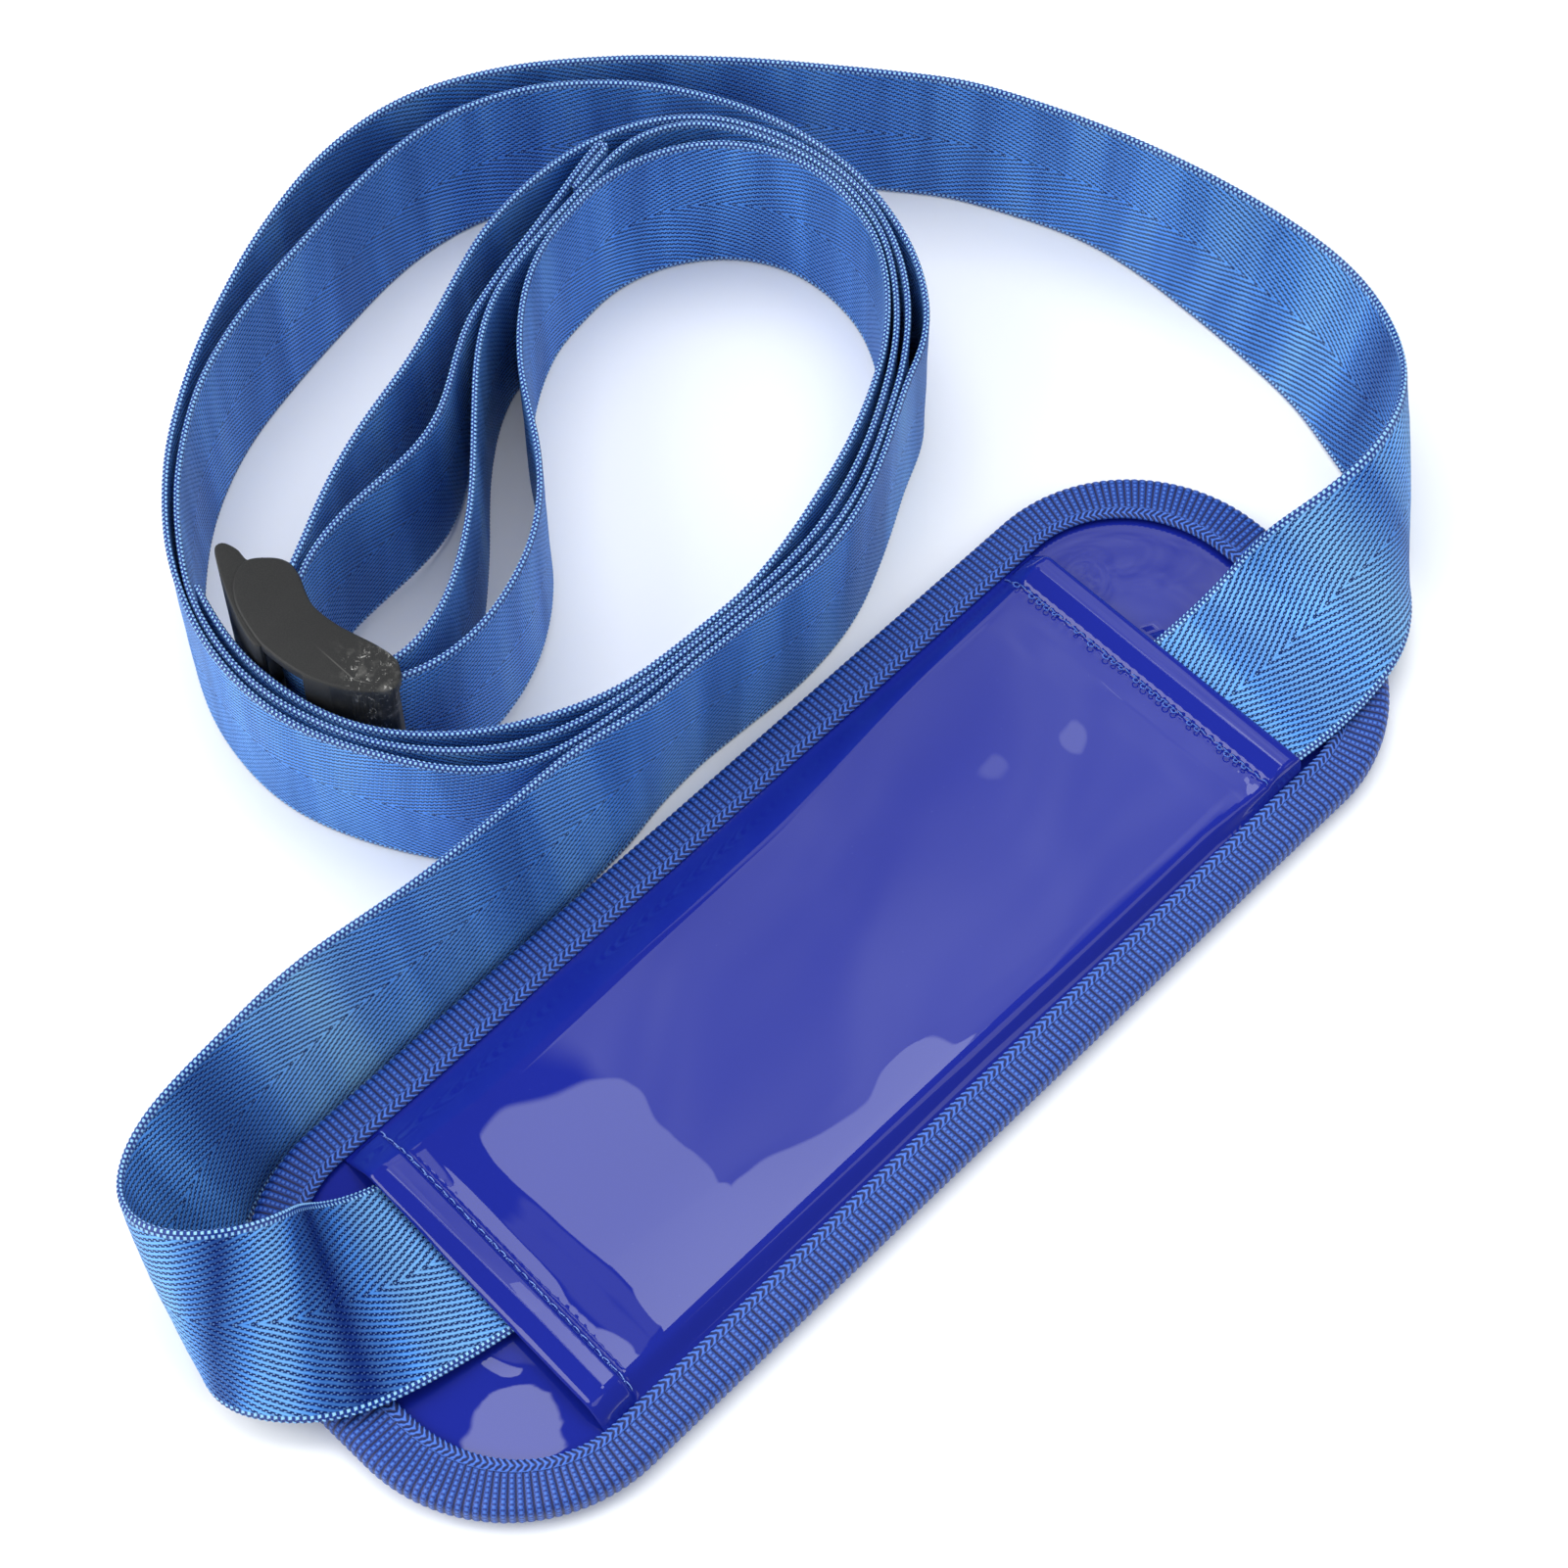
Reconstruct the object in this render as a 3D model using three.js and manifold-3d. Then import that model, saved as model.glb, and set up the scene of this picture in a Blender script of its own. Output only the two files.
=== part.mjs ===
// Mobility transfer belt: one long webbing strap in a standing coil, threaded through the
// sleeve of a bound vinyl pad and through a curved ladder buckle. Millimetres, +Z up.
// Origin: centre of the pad's flat underside. +X runs along the pad, +Y across it.
import * as THREE from "three";
import Module from "manifold-3d";

// ---- shared dimensions --------------------------------------------------------------
const WEB_T = 1.6; // webbing thickness
const WEB_W = 50; // webbing width, between its two edges
const SHEET_T = 0.6; // vinyl sheet thickness
const GAP = 0.3; // clearance between neighbouring layers
const THREAD_W = 0.5;
const THREAD_H = 0.3;

const FINISHES = {
  webbing: { color: 0x3a74c8, roughness: 0.55 },
  loopThread: { color: 0x2a5fb4, roughness: 0.7 },
  backingVinyl: { color: 0x1b2280, roughness: 0.35 },
  foam: { color: 0xd8d4c8, roughness: 0.95 },
  baseVinyl: { color: 0x1b2287, roughness: 0.18 },
  bindingTape: { color: 0x2a4fa6, roughness: 0.75 },
  bindingThread: { color: 0x3a62b8, roughness: 0.7 },
  sleeveVinyl: { color: 0x1b2287, roughness: 0.16 },
  hemThread: { color: 0x2c4ea8, roughness: 0.7 },
  buckle: { color: 0x2b2b2c, roughness: 0.6 },
};

const wasm = await Module();
wasm.setup();

const group = new THREE.Group();
function add(name, geometry, finish) {
  const mesh = new THREE.Mesh(geometry, new THREE.MeshStandardMaterial(finish));
  mesh.name = name;
  group.add(mesh);
}

// ---- solids from points and triangles -----------------------------------------------
function indexedGeometry(positions, index) {
  const geometry = new THREE.BufferGeometry();
  geometry.setAttribute("position", new THREE.BufferAttribute(positions, 3));
  geometry.setIndex(index);
  geometry.computeVertexNormals();
  return geometry;
}

// A closed body, its triangles turned to face outward.
function body(points, faces) {
  let volume = 0;
  for (const face of faces) {
    const [a, b, c] = face.map((corner) => new THREE.Vector3(...points[corner]));
    volume += a.dot(b.cross(c));
  }
  const index = faces.flatMap(([i, j, k]) => (volume < 0 ? [i, k, j] : [i, j, k]));
  return indexedGeometry(new Float32Array(points.flat()), index);
}

// Two triangles, split along the diagonal from a to c.
const quad = (a, b, c, d) => [[a, b, c], [a, c, d]];

// Walls joining successive rings of points; `closed` joins the last ring to the first.
function tubeFaces(ringCount, ringSize, closed) {
  const faces = [];
  for (let i = 0; i < (closed ? ringCount : ringCount - 1); i++)
    for (let j = 0; j < ringSize; j++) {
      const here = i * ringSize;
      const next = ((i + 1) % ringCount) * ringSize;
      const beside = (j + 1) % ringSize;
      faces.push(...quad(here + j, here + beside, next + beside, next + j));
    }
  return faces;
}

// A solid over a grid of cells: at(u, v, side) gives a point, side 0 below and 1 above.
function slab(us, vs, at, filled = () => true) {
  const points = [];
  const faces = [];
  const ids = new Map();
  const id = (i, j, side) => {
    const key = `${i},${j},${side}`;
    if (!ids.has(key)) {
      ids.set(key, points.length);
      points.push(at(us[i], vs[j], side));
    }
    return ids.get(key);
  };
  const has = (i, j) =>
    i >= 0 && j >= 0 && i < us.length - 1 && j < vs.length - 1 && filled(i, j);
  const addQuad = (...corners) => faces.push(...quad(...corners.map((c) => id(...c))));
  for (let i = 0; i < us.length - 1; i++)
    for (let j = 0; j < vs.length - 1; j++) {
      if (!has(i, j)) continue;
      const I = i + 1;
      const J = j + 1;
      addQuad([i, j, 1], [I, j, 1], [I, J, 1], [i, J, 1]);
      addQuad([i, j, 0], [i, J, 0], [I, J, 0], [I, j, 0]);
      // walls only where the neighbouring cell is empty
      if (!has(i - 1, j)) addQuad([i, j, 0], [i, j, 1], [i, J, 1], [i, J, 0]);
      if (!has(I, j)) addQuad([I, j, 0], [I, J, 0], [I, J, 1], [I, j, 1]);
      if (!has(i, j - 1)) addQuad([i, j, 0], [I, j, 0], [I, j, 1], [i, j, 1]);
      if (!has(i, J)) addQuad([i, J, 0], [i, J, 1], [I, J, 1], [I, J, 0]);
    }
  return body(points, faces);
}

// Eased step from 0 to 1.
const smooth = (t) => {
  const clamped = Math.min(1, Math.max(0, t));
  return clamped * clamped * (3 - 2 * clamped);
};

// Linear interpolation in a table of [x, value] rows, held constant past its ends.
function lookup(table, x) {
  if (x <= table[0][0]) return table[0][1];
  for (let i = 1; i < table.length; i++)
    if (x <= table[i][0]) {
      const [x0, value0] = table[i - 1];
      const [x1, value1] = table[i];
      return value0 + ((value1 - value0) * (x - x0)) / (x1 - x0);
    }
  return table[table.length - 1][1];
}

// ---- webbing strap ------------------------------------------------------------------
// Rest path of the webbing, in one of two kinds of row:
// [x, y, z]: it stands upright; the lower edge is at z (0 if left out), the upper edge
//   WEB_W above it;
// [x, y, z, x, y, z, bow]: upper edge, lower edge, then how far the middle stands off the
//   line between them where the webbing bellies out in a turn (0 if left out).
const PATH = [
  [99.51, 194.5], [101.42, 195.06], [103.32, 195.59], [105.2, 196.11], [107.05, 196.59],
  [108.87, 197.02], [110.72, 197.43], [112.77, 197.85], [113.88, 198.08], [114.38, 198.33],
  [114.69, 198.79], [114.72, 199.35], [114.47, 199.85], [114, 200.15], [113.45, 200.18],
  [111.22, 199.73], [107.45, 198.9], [82.53, 192.03], [66.98, 188.26, 0.01],
  [55.59, 184.5, 0.17], [48.29, 181.31, 0.44], [41.43, 177.27, 0.82], [28.33, 168.17, 1.78],
  [23.15, 165.22, 2.18], [17.66, 162.94, 2.57], [11.91, 161.4, 2.94], [4.04, 160.21, 3.4],
  [-13.87, 158.75, 4.09], [-21.74, 157.46, 4.19], [-27.47, 155.79, 4.2],
  [-34.73, 152.55, 4.2], [-41.59, 148.52, 4.2], [-44.7, 146.16, 4.2], [-47.27, 143.37, 4.2],
  [-48.96, 140.07, 4.2], [-49.58, 136.42, 4.2], [-49.2, 132.66, 4.2], [-47.96, 129.03, 4.2],
  [-46.04, 125.66, 4.2], [-43.54, 122.71, 4.2], [-40.53, 120.35, 4.2], [-37.08, 118.76, 4.2],
  [-33.33, 118.03, 4.2], [-29.43, 118.03, 4.2], [-23.6, 119.01, 4.16], [-17.93, 120.83, 4.06],
  [-10.72, 124.21, 3.81], [-2.29, 129.52, 3.33], [7.13, 136.89, 2.62], [17.41, 146.34, 1.7],
  [35.49, 164.97, 0.31], [44.27, 173.13, 0.03], [50.57, 178.02], [57.35, 182.2],
  [62.78, 184.65], [70.39, 186.98], [87.95, 190.71], [113.58, 194.69], [119.47, 194.84],
  [123.35, 194.24], [128.91, 192.31], [133.98, 189.3], [138.32, 185.33], [141.83, 180.59],
  [144.62, 175.36], [147.43, 167.92], [149.31, 160.19], [150.27, 152.3], [150.28, 146.34],
  [149.63, 140.4], [148.33, 134.56], [146.38, 128.89], [143.76, 123.49], [139.44, 116.76],
  [134.39, 110.57], [127.34, 103.5], [119.59, 97.21], [111.28, 91.67], [100.82, 85.8],
  [88.16, 79.85], [78.82, 76.33], [69.21, 73.62], [59.38, 71.85], [47.43, 70.84],
  [33.44, 70.59], [9.45, 71.52], [-4.45, 73.22], [-14.23, 75.2],
  [-21.79, 77.71, 50, -21.74, 77.76, 0], [-27.19, 80.26, 50, -27.04, 80.4, 0],
  [-32.28, 83.38, 50, -31.99, 83.63, 0], [-38.52, 88.33, 50, -38.05, 88.71, 0],
  [-44.1, 94.02, 49.99, -43.46, 94.49, 0], [-49, 100.31, 49.99, -48.28, 100.79, 0],
  [-53.2, 107.1, 49.99, -52.49, 107.5, 0], [-56.65, 114.29, 50, -56.03, 114.58, 0],
  [-59.3, 121.81, 50, -58.86, 121.98, 0], [-61.13, 129.57, 50, -60.91, 129.64, 0],
  [-62.1, 137.49, 50, -62.04, 137.5, 0],
  [-62.15, 145.46], [-61.23, 153.37], [-59.34, 161.11], [-56.65, 168.61], [-53.13, 175.77],
  [-47.73, 184.16], [-41.59, 192.04], [-34.82, 199.39], [-27.46, 206.13], [-19.52, 212.2],
  [-11.04, 217.46], [-2.06, 221.81], [7.3, 225.29], [18.84, 228.54], [38.41, 232.65],
  [60.09, 236.39], [72.02, 237.58], [81.99, 237.61], [89.92, 236.74], [97.68, 234.92],
  [105.15, 232.14], [112.24, 228.5], [118.89, 224.1], [125.07, 219.05], [132.07, 211.94],
  [138.25, 204.1], [143.55, 195.65], [147.93, 186.68], [151.33, 177.3], [153.66, 167.6],
  [154.71, 159.69], [155.01, 151.71], [154.53, 143.74], [153.29, 135.86], [151.27, 128.14],
  [148.49, 120.66], [144.96, 113.51], [140.7, 106.77], [136.97, 102.1], [132.73, 97.93],
  [127.94, 94.41], [120.89, 90.72], [110.18, 85.39], [92.53, 76], [83.42, 71.91],
  [75.87, 69.32], [66.14, 67.08], [56.24, 65.86],
  [46.25, 65.7, 50, 46.28, 65.72, 0], [20.23, 66.63, 49.99, 20.35, 66.86, 0],
  [10.28, 66.55, 50, 10.36, 66.59, 0], [0.1, 66.68, 50.13, 0.56, 65.49, 0.13],
  [-8.27, 67.78, 50.42, -7.02, 63.89, 0.6], [-14.47, 68.83, 50.54, -12.79, 62.81, 0.95],
  [-22.45, 69.92, 50.41, -20.78, 61.97, 1.09], [-34.21, 70.62, 50.03, -32.92, 60.92, 0.99],
  [-60.08, 70.77, 49.9, -59.03, 60.69, 0.94], [-76.11, 71.86, 49.65, -74.97, 60.66, 0.94],
  [-92.1, 74.06, 48.92, -90.76, 60.68, 0.76], [-104.15, 75.58, 48.23, -102.5, 60.76, 0.5],
  [-114.38, 75.74, 47.91, -112.25, 60.82, 0.23], [-124.71, 75.1, 47.86, -121.93, 60.83, 0.03],
  [-133.01, 74.49, 47.75, -129.24, 60.33, 0], [-141.33, 73.92, 47.35, -136.53, 58.85, 0],
  [-151.67, 72.9, 46.39, -145.39, 55.49, 0], [-157.7, 71.71, 45.72, -150.41, 52.79, 0.03],
  [-161.56, 70.48, 45.37, -153.62, 50.78, 0.11, 0.24],
  [-163.41, 69.69, 45.26, -155.2, 49.75, 0.16, 0.5],
  [-166.89, 67.73, 45.26, -158.4, 47.7, 0.28, 1.25],
  [-169.97, 65.18, 45.65, -161.77, 45.71, 0.45, 2.07],
  [-171.29, 63.69, 46, -163.57, 44.73, 0.55, 2.46],
  [-172.44, 62.06, 46.42, -165.46, 43.72, 0.68, 2.82],
  [-174.09, 58.48, 47.42, -169.45, 41.42, 1.03, 3.49],
  [-174.76, 54.63, 48.44, -173.53, 38.66, 1.54, 3.94],
  [-174.7, 52.66, 48.92, -175.47, 37.11, 1.88, 3.98],
  [-174.37, 50.68, 49.35, -177.27, 35.48, 2.26, 3.93],
  [-172.94, 46.82, 50.02, -180.26, 32.03, 3.22, 3.66],
  [-170.58, 43.21, 50.35, -182.26, 28.28, 4.39, 3.14],
  [-169.11, 41.54, 50.37, -182.87, 26.26, 5.04, 2.79],
  [-167.48, 39.99, 50.26, -183.22, 24.15, 5.72, 2.4],
  [-163.88, 37.31, 49.64, -183.15, 19.73, 7.1, 1.65],
  [-160.03, 35.29, 48.47, -182.02, 15.17, 8.39, 0.97],
  [-158.08, 34.57, 47.66, -181.07, 12.91, 8.96, 0.66],
  [-154.28, 33.75, 45.54, -178.54, 8.52, 9.9, 0.18],
  [-152.48, 33.63, 44.21, -177.01, 6.42, 10.25, 0.07],
  [-150.78, 33.7, 42.7, -175.32, 4.43, 10.52], [-147.74, 34.33, 39.19, -171.55, 0.81, 10.83],
  [-145.21, 35.37, 35.21, -167.36, -2.22, 10.89], [-142.11, 36.88, 29.05, -160.65, -5.72, 10.7],
  [-138.97, 37.91, 22.67, -153.84, -8.22, 10.41], [-136.53, 37.99, 19, -149.41, -9.51, 10.21],
  [-133.72, 37.73, 15.89, -145.09, -10.61, 10.03], [-130.58, 37.23, 13.42, -140.85, -11.57, 9.87],
  [-127.22, 36.62, 11.58, -136.63, -12.45, 9.7], [-122.03, 35.65, 9.8, -130.22, -13.67, 9.41],
  [-116.73, 34.74, 8.86, -123.76, -14.76, 9.02], [-107.28, 33.42, 8.47, -113.44, -16.2, 8.66],
  [-83.44, 30.48, 8.49, -89.63, -19.14, 8.66], [-57.64, 27.29, 8.49, -63.83, -22.33, 8.66],
  [-33.84, 24.33, 8.49, -40, -25.28, 8.66], [-10.05, 21.38, 8.49, -16.15, -28.25, 8.66],
  [13.74, 18.42, 8.49, 7.69, -31.21, 8.66], [37.54, 15.46, 8.49, 31.52, -34.18, 8.66],
  [61.36, 12.5, 8.49, 55.34, -37.14, 8.66], [87.19, 9.29, 8.49, 81.11, -40.34, 8.66],
  [113.02, 6.08, 8.6, 106.88, -43.54, 8.73], [120.7, 5.14, 9.37, 115.01, -44.54, 9.2],
  [130.18, 4.08, 11.58, 125.25, -45.64, 9.52], [137.66, 3.25, 14.16, 133.38, -46.26, 9.53],
  [142.94, 2.61, 16.98, 139.38, -46.38, 9.61], [146.16, 2.12, 19.49, 143.45, -46.26, 9.69],
  [149.05, 1.47, 22.56, 147.65, -45.99, 9.73], [151.59, 0.57, 26.14, 152.03, -45.5, 9.68],
  [155.02, -1.46, 32.07, 158.94, -44.16, 9.24, 0.38],
  [157.41, -3.26, 36.03, 163.64, -42.73, 8.63, 0.95],
  [158.71, -4.24, 37.94, 165.96, -41.81, 8.25, 1.26],
  [160.08, -5.25, 39.8, 168.22, -40.75, 7.82, 1.58],
  [163.11, -7.21, 43.29, 172.52, -38.27, 6.89, 2.25],
  [166.71, -8.8, 46.06, 176.48, -35.41, 5.92, 3],
  [168.71, -9.39, 47.12, 178.31, -33.87, 5.44, 3.4],
  [170.83, -9.84, 47.97, 180.06, -32.27, 4.97, 3.79],
  [175.31, -10.31, 49.13, 183.29, -28.93, 4.07, 4.47],
  [179.94, -10.28, 49.76, 186.22, -25.46, 3.25, 4.92],
  [182.26, -10.11, 49.96, 187.58, -23.69, 2.88, 5.09],
  [186.8, -9.48, 50.19, 190.08, -20.06, 2.22, 5.36],
  [189, -9.03, 50.25, 191.22, -18.19, 1.94, 5.41],
  [193.25, -7.87, 50.3, 193.29, -14.38, 1.47, 5.25],
  [195.27, -7.16, 50.29, 194.19, -12.4, 1.29, 5.09],
  [199.13, -5.48, 50.22, 195.9, -8.47, 1.01, 4.72],
  [200.96, -4.51, 50.16, 196.69, -6.5, 0.92, 4.47],
  [204.38, -2.31, 50.01, 198.15, -2.54, 0.8, 3.79],
  [205.97, -1.07, 49.93, 198.86, -0.59, 0.77, 3.4],
  [207.49, 0.25, 49.82, 199.52, 1.37, 0.74, 3],
  [210.3, 3.15, 49.58, 200.83, 5.21, 0.68, 2.22],
  [211.6, 4.7, 49.44, 201.48, 7.1, 0.64, 1.86],
  [214.03, 7.97, 49.14, 202.78, 10.83, 0.56, 1.21],
  [215.16, 9.68, 48.99, 203.42, 12.69, 0.51, 0.9],
  [217.24, 13.21, 48.7, 204.72, 16.37, 0.41, 0.36],
  [218.18, 15.03, 48.58, 205.36, 18.21, 0.36, 0.17],
  [220.64, 20.67, 48.27, 207.2, 23.75, 0.21], [222.38, 26.57, 48.13, 208.8, 29.36, 0.09],
  [223.7, 34.66, 48.14, 210.37, 36.97, 0.01], [224.06, 42.86, 48.32, 211.35, 44.69, 0],
  [223.57, 53.12, 48.7, 212.26, 54.43, 0.02], [221.7, 67.39, 49.28, 213.23, 68.12, 0.01],
  [218.62, 83.55, 49.75, 213.68, 83.85, 0], [215.2, 97.5, 49.96, 213.19, 97.61, 0],
  [212.92, 105.35, 49.99, 212.28, 105.43, 0], [210.57, 113.09, 50, 210.51, 113.14, 0],
  [206.6, 124.44, 50, 206.61, 124.45, 0], [200.45, 139.28, 50, 200.47, 139.28, 0],
  [196.81, 146.36, 50, 196.82, 146.36, 0],
  [191.27, 154.62], [175.69, 175.43], [161.94, 192.6], [149.99, 206.06], [138.69, 217.38],
  [128.21, 226.64], [118.67, 233.92], [110.28, 239.33], [101.43, 243.95], [94.02, 246.91],
  [86.34, 249.05], [78.46, 250.28], [70.5, 250.64], [60.54, 249.98], [50.7, 248.3],
  [39.11, 245.22], [25.92, 240.55], [11.24, 234.2], [-1.24, 227.87], [-13.26, 220.72],
  [-23.08, 213.83], [-32.29, 206.17], [-39.39, 199.14], [-45.84, 191.52], [-51.51, 183.31],
  [-56.32, 174.56],
  [-60.2, 165.36, 50, -60.19, 165.36, 0], [-62.49, 157.7, 50, -62.46, 157.71, 0],
  [-64.02, 149.87, 50, -63.89, 149.88, 0], [-64.81, 141.93, 50, -64.47, 141.99, 0],
  [-64.7, 133.96, 50, -64.08, 134.1, 0], [-63.58, 126.07, 49.99, -62.7, 126.34, 0],
  [-61.47, 118.38, 49.99, -60.4, 118.82, 0], [-57.73, 109.14, 49.98, -56.52, 109.77, 0],
  [-52.15, 98.52, 49.98, -50.92, 99.34, 0], [-46.79, 90.11, 49.98, -45.68, 90.93, 0],
  [-41.75, 83.95, 49.99, -40.83, 84.7, 0], [-37.35, 79.95, 49.99, -36.55, 80.64, 0],
  [-32.38, 76.72, 49.99, -31.72, 77.31, 0], [-26.94, 74.31, 49.99, -26.43, 74.79, 0],
  [-21.22, 72.6, 50, -20.81, 73.01, 0], [-11.4, 70.85, 50, -11.17, 71.08, 0],
  [0.54, 69.79, 50, 0.57, 69.81, 0],
  [26.52, 68.68], [48.5, 68.11], [58.48, 68.63], [68.34, 70.13], [78.01, 72.62],
  [87.39, 76.02], [98.15, 81.27], [115.62, 90.95], [123.76, 96.72], [131.3, 103.26],
  [136.78, 109.05], [141.64, 115.38], [145.71, 122.23], [148.94, 129.53], [150.74, 135.24],
  [152.17, 143.12], [152.51, 149.12], [151.97, 157.11], [150.48, 164.96], [148.11, 172.59],
  [145.7, 178.07], [142.67, 183.22], [138.94, 187.88], [134.63, 192], [129.83, 195.53],
  [124.61, 198.41], [117.17, 201.29], [111.37, 202.76], [103.48, 203.83], [95.51, 204.11],
  [85.56, 203.41], [75.76, 201.57], [66.21, 198.67], [53.26, 193.38, 0.09],
  [36.78, 186.18, 0.76], [23.64, 181.43, 1.58], [2.82, 174.5, 2.99], [-8.22, 169.86, 3.64],
  [-24.22, 161.65, 4.16], [-40.08, 153.18, 4.2], [-44.93, 149.78, 4.2], [-47.72, 147.06, 4.2],
  [-49.91, 143.9, 4.2], [-51.31, 140.36, 4.2], [-51.86, 136.58, 4.2], [-51.6, 132.73, 4.2],
  [-50.62, 128.96, 4.2], [-49.06, 125.37, 4.2], [-45.8, 120.46, 4.2], [-41.61, 116.32, 4.2],
  [-36.64, 113.15, 4.2], [-31.12, 111.07, 4.19], [-25.29, 110.02, 4.13],
  [-19.34, 109.87, 3.99], [-13.41, 110.47, 3.77], [-5.64, 112.21, 3.4], [1.87, 114.84, 2.94],
  [9.07, 118.25, 2.44], [15.85, 122.41, 1.91], [22.14, 127.29, 1.4], [27.87, 132.82, 0.93],
  [34.22, 140.5, 0.44], [44.31, 155.38, 0.01], [50.19, 163.45], [55.47, 169.44],
  [61.32, 174.87], [67.7, 179.66], [74.55, 183.73], [79.97, 186.22], [85.63, 188.03],
  [97.36, 190.08], [103.27, 190.7], [109.19, 190.51], [115.05, 189.44], [120.73, 187.65],
  [126.16, 185.18], [131.21, 182.03], [135.79, 178.23], [139.78, 173.83], [143.09, 168.88],
  [145.66, 163.52], [147.38, 157.85], [148.15, 152], [148.14, 146.1], [147.44, 140.26],
  [146.11, 134.53], [144.11, 128.99], [141.43, 123.71], [137.03, 117.11], [131.86, 111.05],
  [126.05, 105.59], [118.11, 99.54], [109.61, 94.29], [98.89, 88.93], [85.9, 83.75],
  [70.64, 78.95], [55.11, 75.14], [43.3, 73.13], [35.36, 72.7], [9.49, 73.66],
  [1.62, 74.64], [-6.09, 76.63], [-15.43, 80.15], [-24.34, 84.63], [-31.06, 88.93],
  [-37.32, 93.88], [-43.12, 99.37], [-48.26, 105.51], [-51.47, 110.61], [-54.06, 116.05],
  [-56.61, 123.66], [-58.18, 131.54], [-58.87, 139.54], [-58.68, 147.56], [-57.59, 155.49],
  [-55.28, 165.05], [-53.32, 170.83],
];
const WEB_ROWS = [1, 0.75, 0.5, 0.25, 0]; // heights up the webbing, as fractions of its width
const MITRE_FLOOR = 0.8; // limits how far a mitre stretches the normal

const edgePairs = PATH.map((row) => {
  if (row.length <= 3) {
    const [x, y, z = 0] = row;
    return { upper: new THREE.Vector3(x, y, z + WEB_W), lower: new THREE.Vector3(x, y, z), bow: 0 };
  }
  return {
    upper: new THREE.Vector3(...row.slice(0, 3)),
    lower: new THREE.Vector3(...row.slice(3, 6)),
    bow: row[6] ?? 0,
  };
});

// Normal of the webbing along one edge, mitred so that the thickness holds through a bend.
function edgeNormal(edge, i, across) {
  const here = edgePairs[i][edge];
  const before = edgePairs[Math.max(0, i - 1)][edge];
  const after = edgePairs[Math.min(edgePairs.length - 1, i + 1)][edge];
  const arriving = here.clone().sub(before);
  const leaving = after.clone().sub(here);
  // the two ends of the strap have a step on one side only
  if (arriving.length() < 1e-6) arriving.copy(leaving);
  if (leaving.length() < 1e-6) leaving.copy(arriving);
  const normalIn = arriving.normalize().cross(across).normalize();
  const normalOut = leaving.normalize().cross(across).normalize();
  const mean = normalIn.clone().add(normalOut).normalize();
  return mean.multiplyScalar(1 / Math.max(MITRE_FLOOR, mean.dot(normalIn)));
}

const stations = edgePairs.map(({ upper, lower, bow }, i) => {
  const across = upper.clone().sub(lower).normalize();
  return {
    upper,
    lower,
    bow,
    upperNormal: edgeNormal("upper", i, across),
    lowerNormal: edgeNormal("lower", i, across),
  };
});

// Point at a station: `up` from 0 at the lower edge to 1 at the upper, `off` along the normal.
function stationPoint({ upper, lower, upperNormal, lowerNormal }, up, off) {
  const normal = lowerNormal.clone().lerp(upperNormal, up);
  return lower.clone().lerp(upper, up).addScaledVector(normal, off);
}

function strapGeometry() {
  const ring = [
    ...WEB_ROWS.map((up) => [up, 1]),
    ...WEB_ROWS.map((up) => [up, -1]).reverse(),
  ];
  const points = stations.flatMap((station) =>
    ring.map(([up, side]) => {
      const off = (side * WEB_T) / 2 + station.bow * 4 * up * (1 - up);
      const { x, y, z } = stationPoint(station, up, off);
      return [x, y, Math.max(0, z)]; // the standing turns rest on the floor plane
    }),
  );
  const faces = tubeFaces(stations.length, ring.length, false);
  const end = (stations.length - 1) * ring.length;
  for (let k = 0; k < WEB_ROWS.length - 1; k++) {
    const opposite = ring.length - 1 - k;
    faces.push(...quad(opposite, opposite - 1, k + 1, k));
    faces.push(...quad(end + opposite, end + k, end + k + 1, end + opposite - 1));
  }
  return body(points, faces);
}
add("webbing_strap", strapGeometry(), FINISHES.webbing);

// ---- box stitch that closes the loop round the buckle -------------------------------
// Each ply: the box's two ends in plan, the stretch of webbing to look for them in, and
// a plan point on the other ply's side.
const OUTER_PLY = { start: [101, 196.3], end: [111, 198.9], search: [15, 60], inward: [101, 176.3] };
const INNER_PLY = { start: [101, 192.3], end: [111, 194.4], search: [340, 440], inward: [101, 216.3] };
const SEARCH_STEP = 0.25;
const BOX_ROWS = [0.08, 0.92]; // the box's long sides, as fractions of the webbing's width
const BOX_SEGMENTS = 3; // along the box, between its end threads
const BOX_LIFT = 0.12; // thread's clearance off the webbing

// Distance along the webbing's middle line to each station.
const middles = stations.map(({ upper, lower }) => upper.clone().add(lower).multiplyScalar(0.5));
const distances = [0];
for (let i = 1; i < middles.length; i++)
  distances.push(distances[i - 1] + middles[i].distanceTo(middles[i - 1]));

// Point on the webbing at a distance along it.
function onWeb(along, up, off) {
  let i = 1;
  while (i < distances.length - 1 && distances[i] < along) i++;
  const t = (along - distances[i - 1]) / (distances[i] - distances[i - 1]);
  const before = stationPoint(stations[i - 1], up, off);
  return before.lerp(stationPoint(stations[i], up, off), t).toArray();
}

const planDistance = (point, [x, y]) => Math.hypot(point[0] - x, point[1] - y);

// Distance along the webbing that comes nearest to a plan point.
function nearestAlong(target, [from, to]) {
  let best = from;
  let least = Infinity;
  for (let along = from; along <= to; along += SEARCH_STEP) {
    const distance = planDistance(onWeb(along, 0.5, 0), target);
    if (distance < least) {
      least = distance;
      best = along;
    }
  }
  return best;
}

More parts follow.
